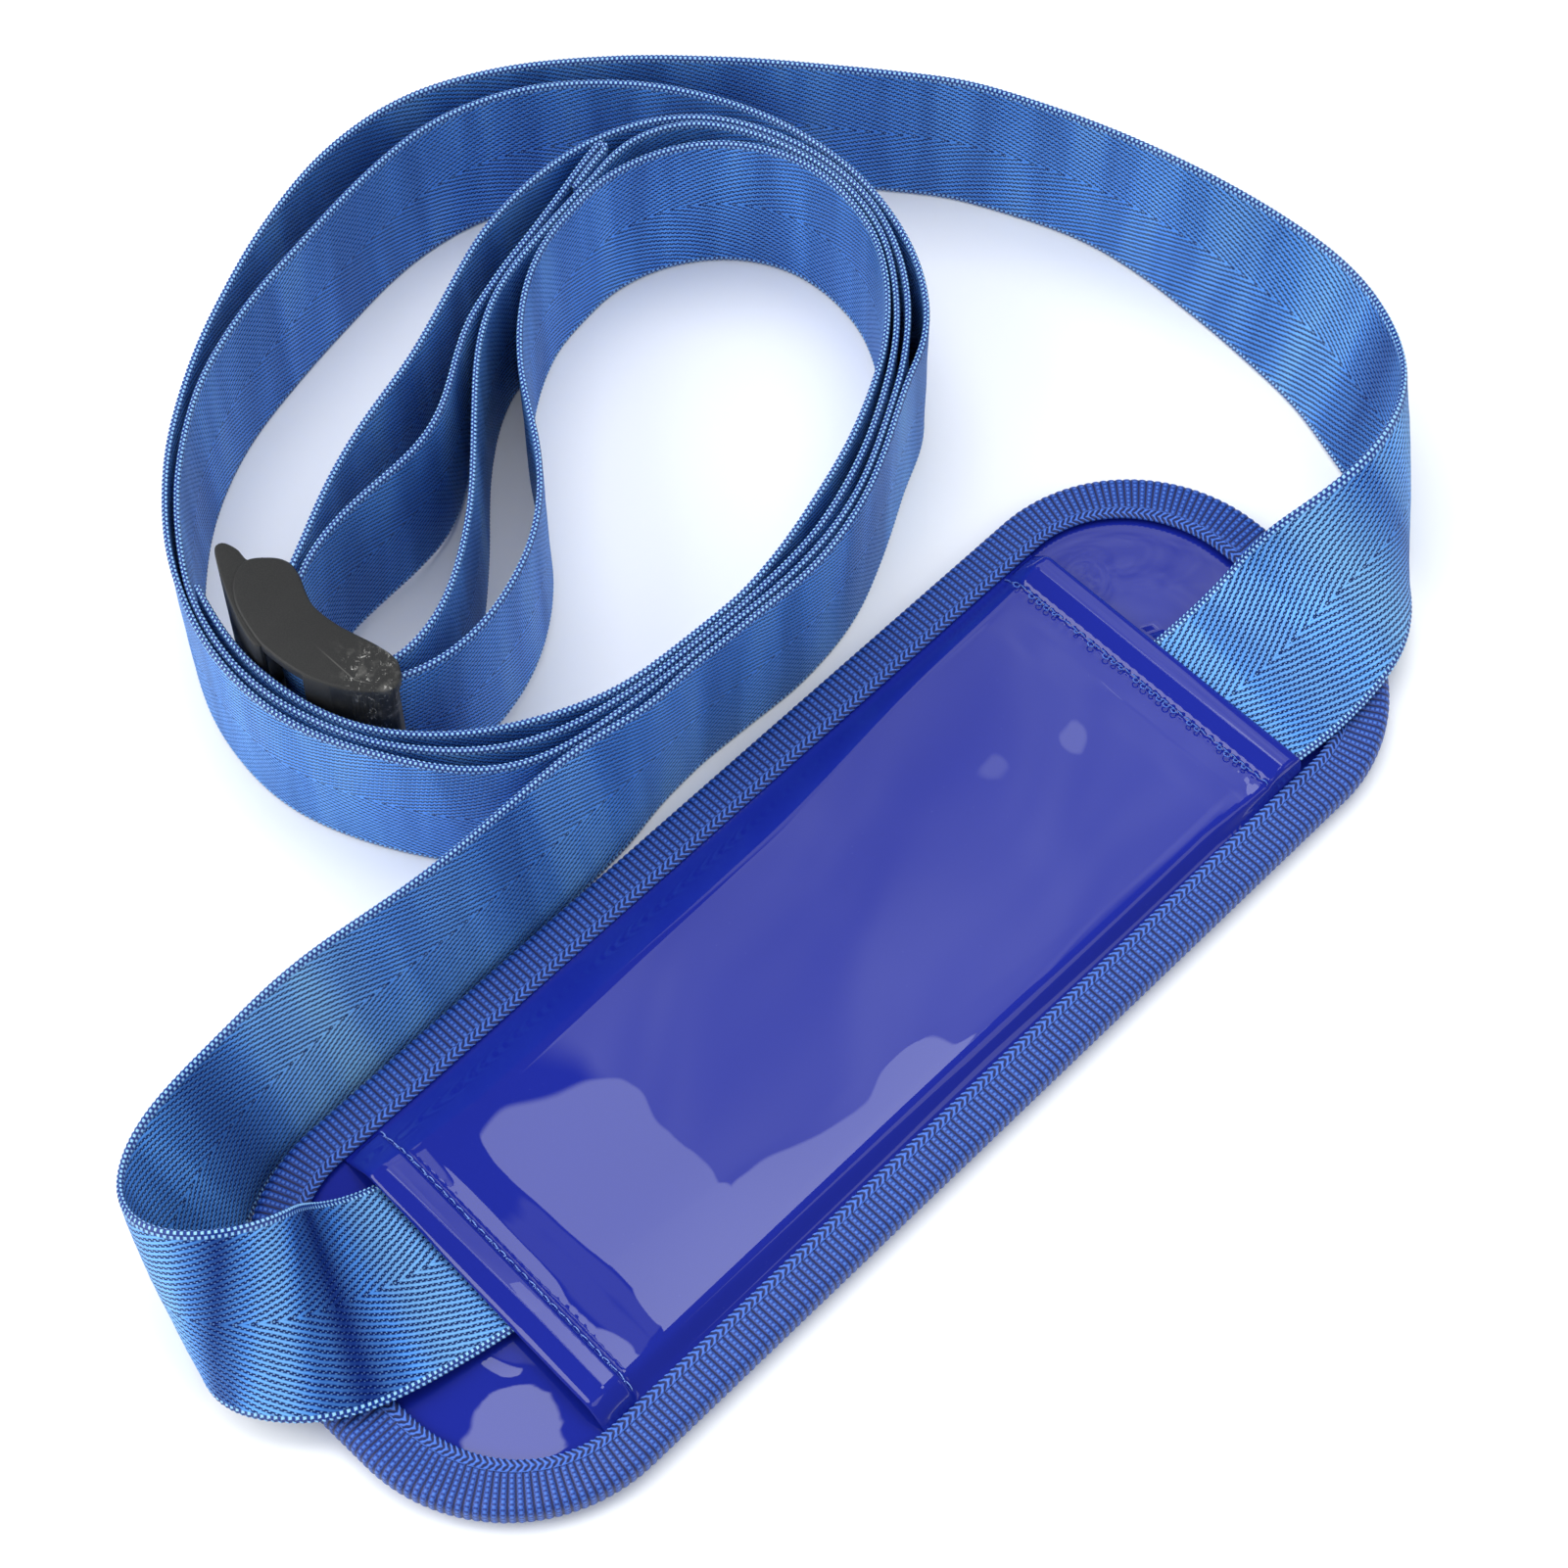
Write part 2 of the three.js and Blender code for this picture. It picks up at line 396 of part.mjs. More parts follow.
function boxStitch({ start, end, search, inward }) {
  const startAlong = nearestAlong(start, search);
  const endAlong = nearestAlong(end, search);
  const from = Math.min(startAlong, endAlong);
  const to = Math.max(startAlong, endAlong);
  // the thread lies on the face turned away from the other ply
  const plusSide = planDistance(onWeb(startAlong, 0.5, 2), inward);
  const minusSide = planDistance(onWeb(startAlong, 0.5, -2), inward);
  const side = plusSide > minusSide ? 1 : -1;

  const us = [from, from + THREAD_W];
  for (let i = 1; i < BOX_SEGMENTS; i++)
    us.push(from + THREAD_W + ((to - from - 2 * THREAD_W) * i) / BOX_SEGMENTS);
  us.push(to - THREAD_W, to);
  const [low, high] = BOX_ROWS;
  const threadUp = THREAD_W / WEB_W;
  const vs = [low, low + threadUp, high - threadUp, high];
  const base = WEB_T / 2 + BOX_LIFT;
  return slab(
    us,
    vs,
    (u, v, top) => onWeb(u, v, side * (top ? base : base + THREAD_H)),
    (i, j) => i === 0 || i === us.length - 2 || j === 0 || j === vs.length - 2,
  );
}
add("loop_stitch_bobbin", boxStitch(OUTER_PLY), FINISHES.loopThread);
add("loop_stitch_needle", boxStitch(INNER_PLY), FINISHES.loopThread);

// ---- pad ----------------------------------------------------------------------------
const PAD_L = 340; // pad, over the binding
const PAD_W = 118;
const PAD_R = 47; // corner radius over the binding
const ARC_SEGMENTS = 7; // in each corner
const LONG_SIDE_STOPS = [0.7, 0.4, 0.14, -0.14, -0.4, -0.7]; // fractions of the straight run
const END_STOP = 0.3; // fraction of the ends' straight run
const SHEET_INSET = 1.6; // sheets' edge inside the binding's
const FOAM_INSET = SHEET_INSET + 0.6;
const FOAM_TOP = 5; // at the edge
const BASE_BOTTOM = FOAM_TOP + GAP; // base sheet, at the edge
const BASE_TOP = BASE_BOTTOM + SHEET_T;
const CROWN = { rise: 1.1, start: 12, run: 24 }; // middle over edge; start and run are insets
const DISH = { rise: 1.5, start: 13.5, run: 5 }; // underside lifts over the binding's leg

// Stops round the outline, as fractions of the straight runs and the outward angle:
// from the +X end above the axis anticlockwise, then mirrored about the X axis.
const outline = [];
{
  const quarter = Math.PI / 2;
  const half = [{ alongX: 1, alongY: END_STOP, angle: 0 }];
  for (let i = 0; i <= ARC_SEGMENTS; i++)
    half.push({ alongX: 1, alongY: 1, angle: (quarter * i) / ARC_SEGMENTS });
  for (const alongX of LONG_SIDE_STOPS) half.push({ alongX, alongY: 1, angle: quarter });
  for (let i = 0; i <= ARC_SEGMENTS; i++)
    half.push({ alongX: -1, alongY: 1, angle: quarter + (quarter * i) / ARC_SEGMENTS });
  half.push({ alongX: -1, alongY: END_STOP, angle: Math.PI });
  const mirrored = half
    .map(({ alongX, alongY, angle }) => ({ alongX, alongY: -alongY, angle: -angle }))
    .reverse();
  outline.push(...half, ...mirrored);
}

// Plan point at an inset from the outline; endExtra deepens the inset round the ends.
function plan({ alongX, alongY, angle }, inset, endExtra = 0) {
  const normalX = Math.cos(angle);
  const radius = PAD_R - inset - endExtra * normalX * normalX;
  return [
    (PAD_L / 2 - PAD_R) * alongX + normalX * radius,
    (PAD_W / 2 - PAD_R) * alongY + Math.sin(angle) * radius,
  ];
}

// A layer over the whole pad from rings at rising insets; bottom and top give z by inset.
function padLayer(insets, bottom, top) {
  const stops = outline.length;
  const points = [bottom, top].flatMap((height) =>
    insets.flatMap((inset) => outline.map((stop) => [...plan(stop, inset), height(inset)])),
  );
  const id = (side, ring, k) => (side * insets.length + ring) * stops + (k % stops);
  const faces = [];
  for (const side of [0, 1]) {
    const addQuad = (a, b, c, d) =>
      faces.push(...(side ? quad(a, b, c, d) : quad(a, d, c, b)));
    for (let r = 0; r < insets.length - 1; r++)
      for (let k = 0; k < stops; k++)
        addQuad(id(side, r, k), id(side, r, k + 1), id(side, r + 1, k + 1), id(side, r + 1, k));
    // the innermost ring is closed by strips across it
    const last = insets.length - 1;
    for (let k = 0; k < stops / 2 - 1; k++)
      addQuad(
        id(side, last, k),
        id(side, last, k + 1),
        id(side, last, stops - 2 - k),
        id(side, last, stops - 1 - k),
      );
  }
  for (let k = 0; k < stops; k++)
    faces.push(...quad(id(0, 0, k), id(0, 0, k + 1), id(1, 0, k + 1), id(1, 0, k)));
  return body(points, faces);
}

const crown = (inset) => CROWN.rise * smooth((inset - CROWN.start) / CROWN.run);
const dish = (inset) => DISH.rise * (1 - smooth((inset - DISH.start) / DISH.run));

add(
  "pad_backing_sheet",
  padLayer([SHEET_INSET, 13.5, 16, 18.5], dish, (inset) => dish(inset) + SHEET_T),
  FINISHES.backingVinyl,
);
add(
  "foam_core",
  padLayer(
    [FOAM_INSET, 13.5, 16, 19, 27, 36],
    (inset) => dish(inset) + SHEET_T + GAP,
    (inset) => FOAM_TOP + crown(inset),
  ),
  FINISHES.foam,
);
add(
  "pad_base_sheet",
  padLayer(
    [SHEET_INSET, 12, 18, 24, 30, 36],
    (inset) => BASE_BOTTOM + crown(inset),
    (inset) => BASE_TOP + crown(inset),
  ),
  FINISHES.baseVinyl,
);

// ---- binding: a folded grosgrain tape, U-shaped in section, all round the edge ------
const BIND_LEG = 12; // visible leg on the long sides
const BIND_END = 2.5; // extra leg width round the ends
const BIND_T = 0.7; // tape thickness
const BIND_TOP = 7.8; // top face
const BIND_BOTTOM = 0.5; // under face
const BIND_THREAD_INSET = 9.2;
const BIND_THREAD_LIFT = 0.18; // thread's clearance off the tape

// A closed ring round the pad from a section of [inset, z] points.
function padRing(section) {
  const points = outline.flatMap((stop) =>
    section.map(([inset, z]) => [...plan(stop, inset, (inset / BIND_LEG) * BIND_END), z]),
  );
  return body(points, tubeFaces(outline.length, section.length, true));
}

const TAPE_SECTION = [
  [BIND_LEG, BIND_TOP - BIND_T],
  [1.4, BIND_TOP - BIND_T],
  [BIND_T + 0.2, BIND_TOP - BIND_T - 0.6],
  [BIND_T + 0.2, BIND_BOTTOM + BIND_T + 0.6],
  [1.4, BIND_BOTTOM + BIND_T],
  [BIND_LEG, BIND_BOTTOM + BIND_T],
  [BIND_LEG, BIND_BOTTOM],
  [1.6, BIND_BOTTOM],
  [0.4, BIND_BOTTOM + 0.6],
  [0, BIND_BOTTOM + 1.6],
  [0, BIND_TOP - 1.6],
  [0.4, BIND_TOP - 0.5],
  [1.6, BIND_TOP],
  [BIND_LEG, BIND_TOP],
];
const bindingThread = (z) =>
  padRing([
    [BIND_THREAD_INSET, z],
    [BIND_THREAD_INSET + THREAD_W, z],
    [BIND_THREAD_INSET + THREAD_W, z + THREAD_H],
    [BIND_THREAD_INSET, z + THREAD_H],
  ]);
const bottomThreadZ = BIND_BOTTOM - BIND_THREAD_LIFT - THREAD_H;
add("binding_tape", padRing(TAPE_SECTION), FINISHES.bindingTape);
add("binding_thread_top", bindingThread(BIND_TOP + BIND_THREAD_LIFT), FINISHES.bindingThread);
add("binding_thread_bottom", bindingThread(bottomThreadZ), FINISHES.bindingThread);

// ---- sleeve: a sheet sewn down under both long bindings, standing over the webbing --
const SLEEVE_L = -124; // sleeve mouths, where its two hems fold
const SLEEVE_R = 120;
const HEM_W = 12.5; // depth of the folded hem
const HEM_TAPER = 2; // the fold's thickness runs out over this
const HEM_END_Y = 45.4; // the hem's second ply runs out past this
const HEM_THREAD_IN = 8.2; // hem thread's distance in from the mouth
const HEM_THREAD_END_Y = 45.2;
const HEM_THREAD_LIFT = 0.25;
const WEB_HALF = 25.2; // half the webbing's reach across the pad
const FLANK_W = 15; // widest slope down from the webbing to the base sheet
const FLANK_FOOT_Y = 46.9; // where the slopes end
const SLEEVE_EDGE_Y = 57.2;
const SLEEVE_EDGE_Z = BASE_TOP + GAP; // under face, on the base sheet's edge
// Height of the under face over the webbing's two edges: [x, z].
const RISE_PLUS_Y = [
  [-127, 13.2], [-126, 12.75], [-122, 11.45], [-118, 10.4], [-114, 9.95], [-108, 9.75],
  [108, 9.8], [114, 10.3], [118, 10.9], [122, 11.8],
];
const RISE_MINUS_Y = [
  [-127, 10.5], [-122, 10.2], [-118, 10.0], [-112, 9.9], [-104, 9.85],
  [102, 9.95], [108, 10.3], [114, 10.8], [122, 11.6],
];

// The raised band over the webbing, which crosses the pad at a slant, and its two flanks.
function sleeveBand(x) {
  const webMiddle = 10.2 - 0.124 * (x + 123.2);
  const high = webMiddle + WEB_HALF + 0.8;
  const low = webMiddle - WEB_HALF - 0.5;
  return {
    high,
    low,
    highFlank: Math.min(FLANK_W, FLANK_FOOT_Y - high),
    lowFlank: Math.min(FLANK_W, low + FLANK_FOOT_Y),
  };
}

function sleeveRise(x, y) {
  const { high, low, highFlank, lowFlank } = sleeveBand(x);
  const zHigh = lookup(RISE_PLUS_Y, x);
  const zLow = lookup(RISE_MINUS_Y, x);
  if (y >= low && y <= high) return zLow + ((zHigh - zLow) * (y - low)) / (high - low);
  const [z, slope] = y > high ? [zHigh, (y - high) / highFlank] : [zLow, (low - y) / lowFlank];
  return SLEEVE_EDGE_Z + (z - SLEEVE_EDGE_Z) * (1 - smooth(slope));
}

// Height of the sleeve's under face: never below the crowned base sheet.
function sleeveZ(x, y) {
  const clearance = Math.abs(y) < 46.8 ? 0.06 : 0;
  const floor = SLEEVE_EDGE_Z + crown(PAD_W / 2 - Math.abs(y)) + clearance;
  return Math.max(floor, sleeveRise(x, y));
}

// The two mouths are not quite square to the pad.
const mouthSkew = (x, y) =>
  (x < 0 ? 0.044 * (y - 10) : 0.009 * (y + 20)) * smooth((Math.abs(x) - 60) / 55);

// y of the sleeve's rows at x, from -Y to +Y.
function sleeveRows(x) {
  const { high, low, highFlank, lowFlank } = sleeveBand(x);
  const flankStops = [0, 0.15, 0.35, 0.6, 0.85];
  return [
    -SLEEVE_EDGE_Y,
    -FLANK_FOOT_Y,
    ...[...flankStops].reverse().map((f) => low - lowFlank * f),
    ...[0.33, 0.67].map((f) => low + (high - low) * f),
    ...flankStops.map((f) => high + highFlank * f),
    FLANK_FOOT_Y,
    SLEEVE_EDGE_Y,
  ];
}
const rowIndices = Array.from({ length: 16 }, (_, j) => j);

// The hem is two plies thick: the sheet is folded under along each mouth.
function hemThickness(x, y) {
  const fromMouth = Math.min(x - SLEEVE_L, SLEEVE_R - x);
  if (fromMouth > HEM_W - HEM_TAPER + 1e-6) return 0;
  return SHEET_T * (1 - smooth((Math.abs(y) - HEM_END_Y) / 1.2));
}

function sleeveGeometry() {
  const mouthStops = [0, 2, 6, HEM_W - HEM_TAPER, HEM_W, 16];
  const us = [
    ...mouthStops.map((stop) => SLEEVE_L + stop),
    ...[-90, -45, 0, 45, 90],
    ...mouthStops.map((stop) => SLEEVE_R - stop).reverse(),
  ];
  return slab(us, rowIndices, (x, j, top) => {
    const y = sleeveRows(x)[j];
    const z = sleeveZ(x, y);
    const skew = mouthSkew(x, y) * (Math.abs(y) > 50 ? 0.6 : 1);
    return [x + skew, y, top ? z + SHEET_T + hemThickness(x, y) : z];
  });
}

// One line of thread across a hem, clear of the sewn-down edges.
function hemThread(startX) {
  const rows = sleeveRows(startX);
  return slab([startX, startX + THREAD_W], rowIndices.slice(2, 14), (x, j, top) => {
    const y = Math.max(-HEM_THREAD_END_Y, Math.min(HEM_THREAD_END_Y, rows[j]));
    const z = sleeveZ(x, y) + 2 * SHEET_T + HEM_THREAD_LIFT;
    return [x + mouthSkew(x, y), y, top ? z + THREAD_H : z];
  });
}
add("sleeve_sheet", sleeveGeometry(), FINISHES.sleeveVinyl);
add("hem_thread_left", hemThread(SLEEVE_L + HEM_THREAD_IN), FINISHES.hemThread);
add("hem_thread_right", hemThread(SLEEVE_R - HEM_THREAD_IN - THREAD_W), FINISHES.hemThread);

// ---- buckle -------------------------------------------------------------------------
const BUCKLE_W = 58.5; // over its two side walls, which lie flat, one above the other
const WALL_T = 3.5; // side wall thickness
const BAR_R = 3.1; // middle bar
const BAR_AT = [-44.9, 137.6];
const BAR_SHORT = 2; // bar's length under the buckle's width
// Plan outlines, [x, y].
const WALL = [
  [-49.6, 160.2], [-52.0, 157.1], [-53.9, 153.3], [-55.6, 147.6], [-56.6, 142.5], [-56.6, 138.0],
  [-56.2, 133.1], [-55.1, 127.2], [-52.9, 121.4], [-49.9, 116.2], [-46.3, 111.9], [-43.2, 109.7],
  [-40.6, 109.9], [-38.4, 111.4], [-36.7, 114.2], [-36.3, 117.0], [-36.7, 120.3], [-37.5, 124.1],
  [-38.7, 128.5], [-39.7, 132.9], [-40.2, 138.1], [-40.0, 141.8], [-38.7, 145.5], [-37.0, 149.2],
  [-36.1, 152.0], [-35.8, 154.5], [-36.7, 157.3], [-38.9, 160.0], [-42.2, 162.6], [-46.0, 162.6],
];
// End block at the +Y end, with the thin lip that flares past it.
const LIP = [
  [-42.4, 163.2], [-42.0, 167.0], [-42.9, 170.6], [-44.4, 171.7], [-46.2, 170.9], [-49.6, 165.2],
  [-53.2, 157.6], [-56.0, 150.6], [-57.4, 145.4], [-57.5, 142.6], [-56.3, 141.6], [-54.9, 143.8],
  [-53.3, 149.6], [-50.9, 154.4], [-47.6, 157.6], [-43.4, 159.9], [-39.2, 160.6], [-41.0, 162.0],
];
// End block at the -Y end.
const HEEL = [
  [-55.5, 128.2], [-55.1, 126.6], [-52.9, 121.4], [-49.9, 116.2], [-46.3, 111.9], [-43.2, 109.7],
  [-41.2, 109.8], [-40.4, 110.6], [-42.4, 111.9], [-46.0, 115.5], [-49.2, 120.0], [-51.6, 124.4],
  [-53.4, 129.0], [-54.6, 129.4],
];

// Welds coincident vertices, as manifold needs shared ones.
function toManifold(geometry) {
  const source = geometry.index ? geometry.toNonIndexed() : geometry;
  const positions = source.getAttribute("position").array;
  const seen = new Map();
  const vertices = [];
  const triangles = [];
  for (let i = 0; i < positions.length; i += 3) {
    const vertex = Array.from(positions.slice(i, i + 3), (q) => Math.round(q * 1e5) / 1e5);
    const key = vertex.join();
    if (!seen.has(key)) {
      seen.set(key, vertices.length / 3);
      vertices.push(...vertex);
    }
    triangles.push(seen.get(key));
  }
  return new wasm.Manifold(
    new wasm.Mesh({
      numProp: 3,
      vertProperties: new Float32Array(vertices),
      triVerts: new Uint32Array(triangles),
    }),
  );
}

function prism(points, { bottom, top, bevel }) {
  const shape = new THREE.Shape(points.map(([x, y]) => new THREE.Vector2(x, y)));
  const geometry = new THREE.ExtrudeGeometry(shape, {
    depth: top - bottom - 2 * bevel,
    bevelEnabled: bevel > 0,
    bevelThickness: bevel,
    bevelSize: bevel,
    bevelOffset: -bevel,
    bevelSegments: 1,
    curveSegments: 1,
  });
  geometry.translate(0, 0, bottom + bevel);
  return toManifold(geometry);
}

function buckleGeometry() {
  const bar = new THREE.CylinderGeometry(BAR_R, BAR_R, BUCKLE_W - BAR_SHORT, 18, 1);
  bar.rotateX(Math.PI / 2);
  bar.translate(...BAR_AT, BUCKLE_W / 2);
  const frame = prism(WALL, { bottom: 0, top: WALL_T, bevel: 0.6 })
    .add(prism(WALL, { bottom: BUCKLE_W - WALL_T, top: BUCKLE_W, bevel: 0.6 }))
    .add(prism(LIP, { bottom: 0.5, top: BUCKLE_W - 0.5, bevel: 0.5 }))
    .add(prism(HEEL, { bottom: 0.3, top: BUCKLE_W - 0.3, bevel: 0 }))
    .add(toManifold(bar));
  const mesh = frame.getMesh();
  return indexedGeometry(new Float32Array(mesh.vertProperties), Array.from(mesh.triVerts));
}
add("buckle_frame", buckleGeometry(), FINISHES.buckle);

export default group;
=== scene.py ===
"""Strap with a sliding shoulder pad and a plastic buckle, on a white floor.

The pad lies flat, centred on the origin: x runs along it, y across it, z up from the floor.
The webbing crosses the pad under a vinyl sleeve and then stands on edge in coils on the +y
side. The buckle stands on end at about x -47, y 138. Lengths are in millimetres unless a
comment says otherwise; meshes are scaled by MM as they are made.
"""

import math

import bmesh
import bpy
import numpy as np
from mathutils import Matrix, Vector


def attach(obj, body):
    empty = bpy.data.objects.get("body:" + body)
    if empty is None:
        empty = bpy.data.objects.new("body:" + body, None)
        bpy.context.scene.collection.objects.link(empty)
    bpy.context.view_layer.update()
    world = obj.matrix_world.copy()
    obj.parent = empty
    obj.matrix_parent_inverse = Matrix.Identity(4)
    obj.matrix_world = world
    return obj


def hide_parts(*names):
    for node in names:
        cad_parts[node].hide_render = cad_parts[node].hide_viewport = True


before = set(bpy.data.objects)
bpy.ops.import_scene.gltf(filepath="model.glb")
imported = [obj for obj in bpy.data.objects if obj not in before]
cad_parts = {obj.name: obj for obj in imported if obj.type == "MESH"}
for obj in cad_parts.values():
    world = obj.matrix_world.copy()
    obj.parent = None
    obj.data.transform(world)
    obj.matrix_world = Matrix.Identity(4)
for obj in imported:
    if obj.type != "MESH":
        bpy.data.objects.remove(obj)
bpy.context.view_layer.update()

MM = 0.001
TO_MM = 1000.0
TAU = 2 * math.pi

# Webbing
WEB_HALF_WIDTH = 25.0
WEB_HALF_THICKNESS = 0.76
WEFT_PITCH = 1.32  # weft picks, and beads of the selvedge, along the webbing

# Pad: a rectangle with round corners
PAD_LENGTH, PAD_WIDTH, PAD_RADIUS = 340.0, 118.0, 47.0
CORNER_X = PAD_LENGTH / 2 - PAD_RADIUS
CORNER_Y = PAD_WIDTH / 2 - PAD_RADIUS

# Folded tape round the pad's edge
TAPE_DEPTH = 12.0  # from the pad's outline to the tape's inner edge
TAPE_FOLD_RADIUS = 2.6
TAPE_FOLD_TOP, TAPE_FOLD_BOTTOM = 5.2, 3.1  # heights of the fold's two centres
TAPE_END_EXTRA = 2.5  # the tape's inner edge lies this much further in at the pad's ends
CORD_PITCH = 1.9  # crosswise cords along the tape

# Sleeve
SLEEVE_X0, SLEEVE_X1 = -124.0, 120.0
HEM_DEPTH = 11.0  # from a sleeve end to its line of stitches

BUCKLE_WIDTH = 58.5


# ---------------------------------------------------------------------------------------
# mesh helpers
# ---------------------------------------------------------------------------------------
def link(name, verts, faces, smooth=True, attrs=None, mat=None):
    """Make an object from vertices in metres."""
    mesh = bpy.data.meshes.new(name)
    mesh.from_pydata([tuple(v) for v in verts], [], [tuple(f) for f in faces])
    mesh.validate()
    if smooth:
        mesh.polygons.foreach_set("use_smooth", [True] * len(mesh.polygons))
    for key, values in (attrs or {}).items():
        attribute = mesh.attributes.new(key, "FLOAT_VECTOR", "POINT")
        attribute.data.foreach_set("vector", np.asarray(values, np.float32).ravel())
    mesh.update()
    piece = bpy.data.objects.new(name, mesh)
    bpy.context.scene.collection.objects.link(piece)
    if mat:
        mesh.materials.append(mat)
    return piece


def hand_over(piece, replaces, rides):
    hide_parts(replaces)
    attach(piece, rides)


def grid_faces(rows, columns, wrap_rows=False, wrap_columns=False, base=0):
    """Quads over rows x columns points stored row by row."""
    i = np.arange(rows if wrap_rows else rows - 1)
    j = np.arange(columns if wrap_columns else columns - 1)
    row, column = np.meshgrid(i, j, indexing="ij")
    next_row, next_column = (row + 1) % rows, (column + 1) % columns
    quads = [row * columns + column, next_row * columns + column,
             next_row * columns + next_column, row * columns + next_column]
    return (np.stack(quads, -1).reshape(-1, 4) + base).tolist()


def outward(piece):
    """Turn all faces outward."""
    bm = bmesh.new()
    bm.from_mesh(piece.data)
    bmesh.ops.recalc_face_normals(bm, faces=bm.faces)
    bm.to_mesh(piece.data)
    bm.free()
    return piece


def smooth01(t):
    t = np.clip(t, 0, 1)
    return t * t * (3 - 2 * t)


def running_length(points):
    return np.r_[0, np.cumsum(np.linalg.norm(np.diff(points, axis=0), axis=1))]


def closed_spline(points, count):
    """Closed Catmull-Rom curve through 2D points, as count samples evenly by length."""
    P = np.array(points, float)
    Q = np.vstack([P[-1], P, P[0], P[1]])
    out = []
    for k in range(1, len(Q) - 2):
        p0, p1, p2, p3 = Q[k - 1], Q[k], Q[k + 1], Q[k + 2]
        for u in np.linspace(0, 1, 24, endpoint=False):
            out.append(
                0.5 * (2 * p1 + (p2 - p0) * u + (2 * p0 - 5 * p1 + 4 * p2 - p3) * u * u
                       + (3 * p1 - p0 - 3 * p2 + p3) * u ** 3)
            )
    out = np.array(out + [out[0]])
    length = running_length(out)
    t = np.linspace(0, length[-1], count, endpoint=False)
    return np.stack([np.interp(t, length, out[:, k]) for k in range(2)], 1)


def thread_tubes(name, paths, radius, mat, sides=6):
    """One object of round threads along polylines, each with narrowed, capped ends."""
    up = np.array([0.13, 0.21, 0.97])  # tilted, so that no thread runs parallel to it
    verts, faces = [], []
    for path in paths:
        path = np.asarray(path, float)
        count = len(path)
        forward = np.gradient(path, axis=0)
        forward /= np.maximum(np.linalg.norm(forward, axis=1), 1e-9)[:, None]
        x = np.cross(forward, up)
        x /= np.linalg.norm(x, axis=1)[:, None]
        y = np.cross(forward, x)
        base = len(verts)
        for i in range(count):
            r = radius * 0.55 if i in (0, count - 1) else radius
            for j in range(sides):
                angle = TAU * j / sides
                verts.append(path[i] + (x[i] * math.cos(angle) + y[i] * math.sin(angle)) * r)
        faces += grid_faces(count, sides, False, True, base)
        faces.append([base + j for j in range(sides)][::-1])
        faces.append([base + (count - 1) * sides + j for j in range(sides)])
    return outward(link(name, np.array(verts) * MM, faces, mat=mat))


# ---------------------------------------------------------------------------------------
# node helpers: arithmetic on shader sockets
# ---------------------------------------------------------------------------------------
def feed(tree, value, target):
    """Link a Socket to a node input, or set the input to a plain value."""
    if isinstance(value, Socket):
        tree.links.new(value.output, target)
    else:
        target.default_value = value


class Socket:
    """A node output that can be used in arithmetic."""

    def __init__(self, tree, output):
        self.tree, self.output = tree, output

    def _math(self, operation, *others):
        node = self.tree.nodes.new("ShaderNodeMath")
        node.operation = operation
        for index, value in enumerate((self,) + others):
            feed(self.tree, value, node.inputs[index])
        return Socket(self.tree, node.outputs[0])

    def __add__(self, other): return self._math("ADD", other)
    def __sub__(self, other): return self._math("SUBTRACT", other)
    def __rsub__(self, other): return self * -1.0 + other
    def __mul__(self, other): return self._math("MULTIPLY", other)
    def __truediv__(self, other): return self._math("DIVIDE", other)
    def abs(self): return self._math("ABSOLUTE")
    def sin(self): return self._math("SINE")
    def cos(self): return self._math("COSINE")
    def floor(self): return self._math("FLOOR")
    def fract(self): return self._math("FRACT")
    def pow(self, exponent): return self._math("POWER", exponent)
    def max(self, other): return self._math("MAXIMUM", other)
    def min(self, other): return self._math("MINIMUM", other)
    def above(self, limit): return self._math("GREATER_THAN", limit)

    def cos01(self):
        """Cosine moved into 0..1."""
        return self.cos() * 0.5 + 0.5

    def ramp(self, start, end, low=0.0, high=1.0):
        """Smooth step from low at start to high at end."""
        node = self.tree.nodes.new("ShaderNodeMapRange")
        node.interpolation_type = "SMOOTHSTEP"
        feed(self.tree, self, node.inputs["Value"])
        for key, value in (("From Min", start), ("From Max", end),
                           ("To Min", low), ("To Max", high)):
            node.inputs[key].default_value = value
        return Socket(self.tree, node.outputs["Result"])


def srgb(*channels):
    """Linear colour from 0..255 sRGB channels."""
    linear = lambda v: v / 12.92 if v <= 0.04045 else ((v + 0.055) / 1.055) ** 2.4
    return tuple(linear(v / 255.0) for v in channels) + (1.0,)


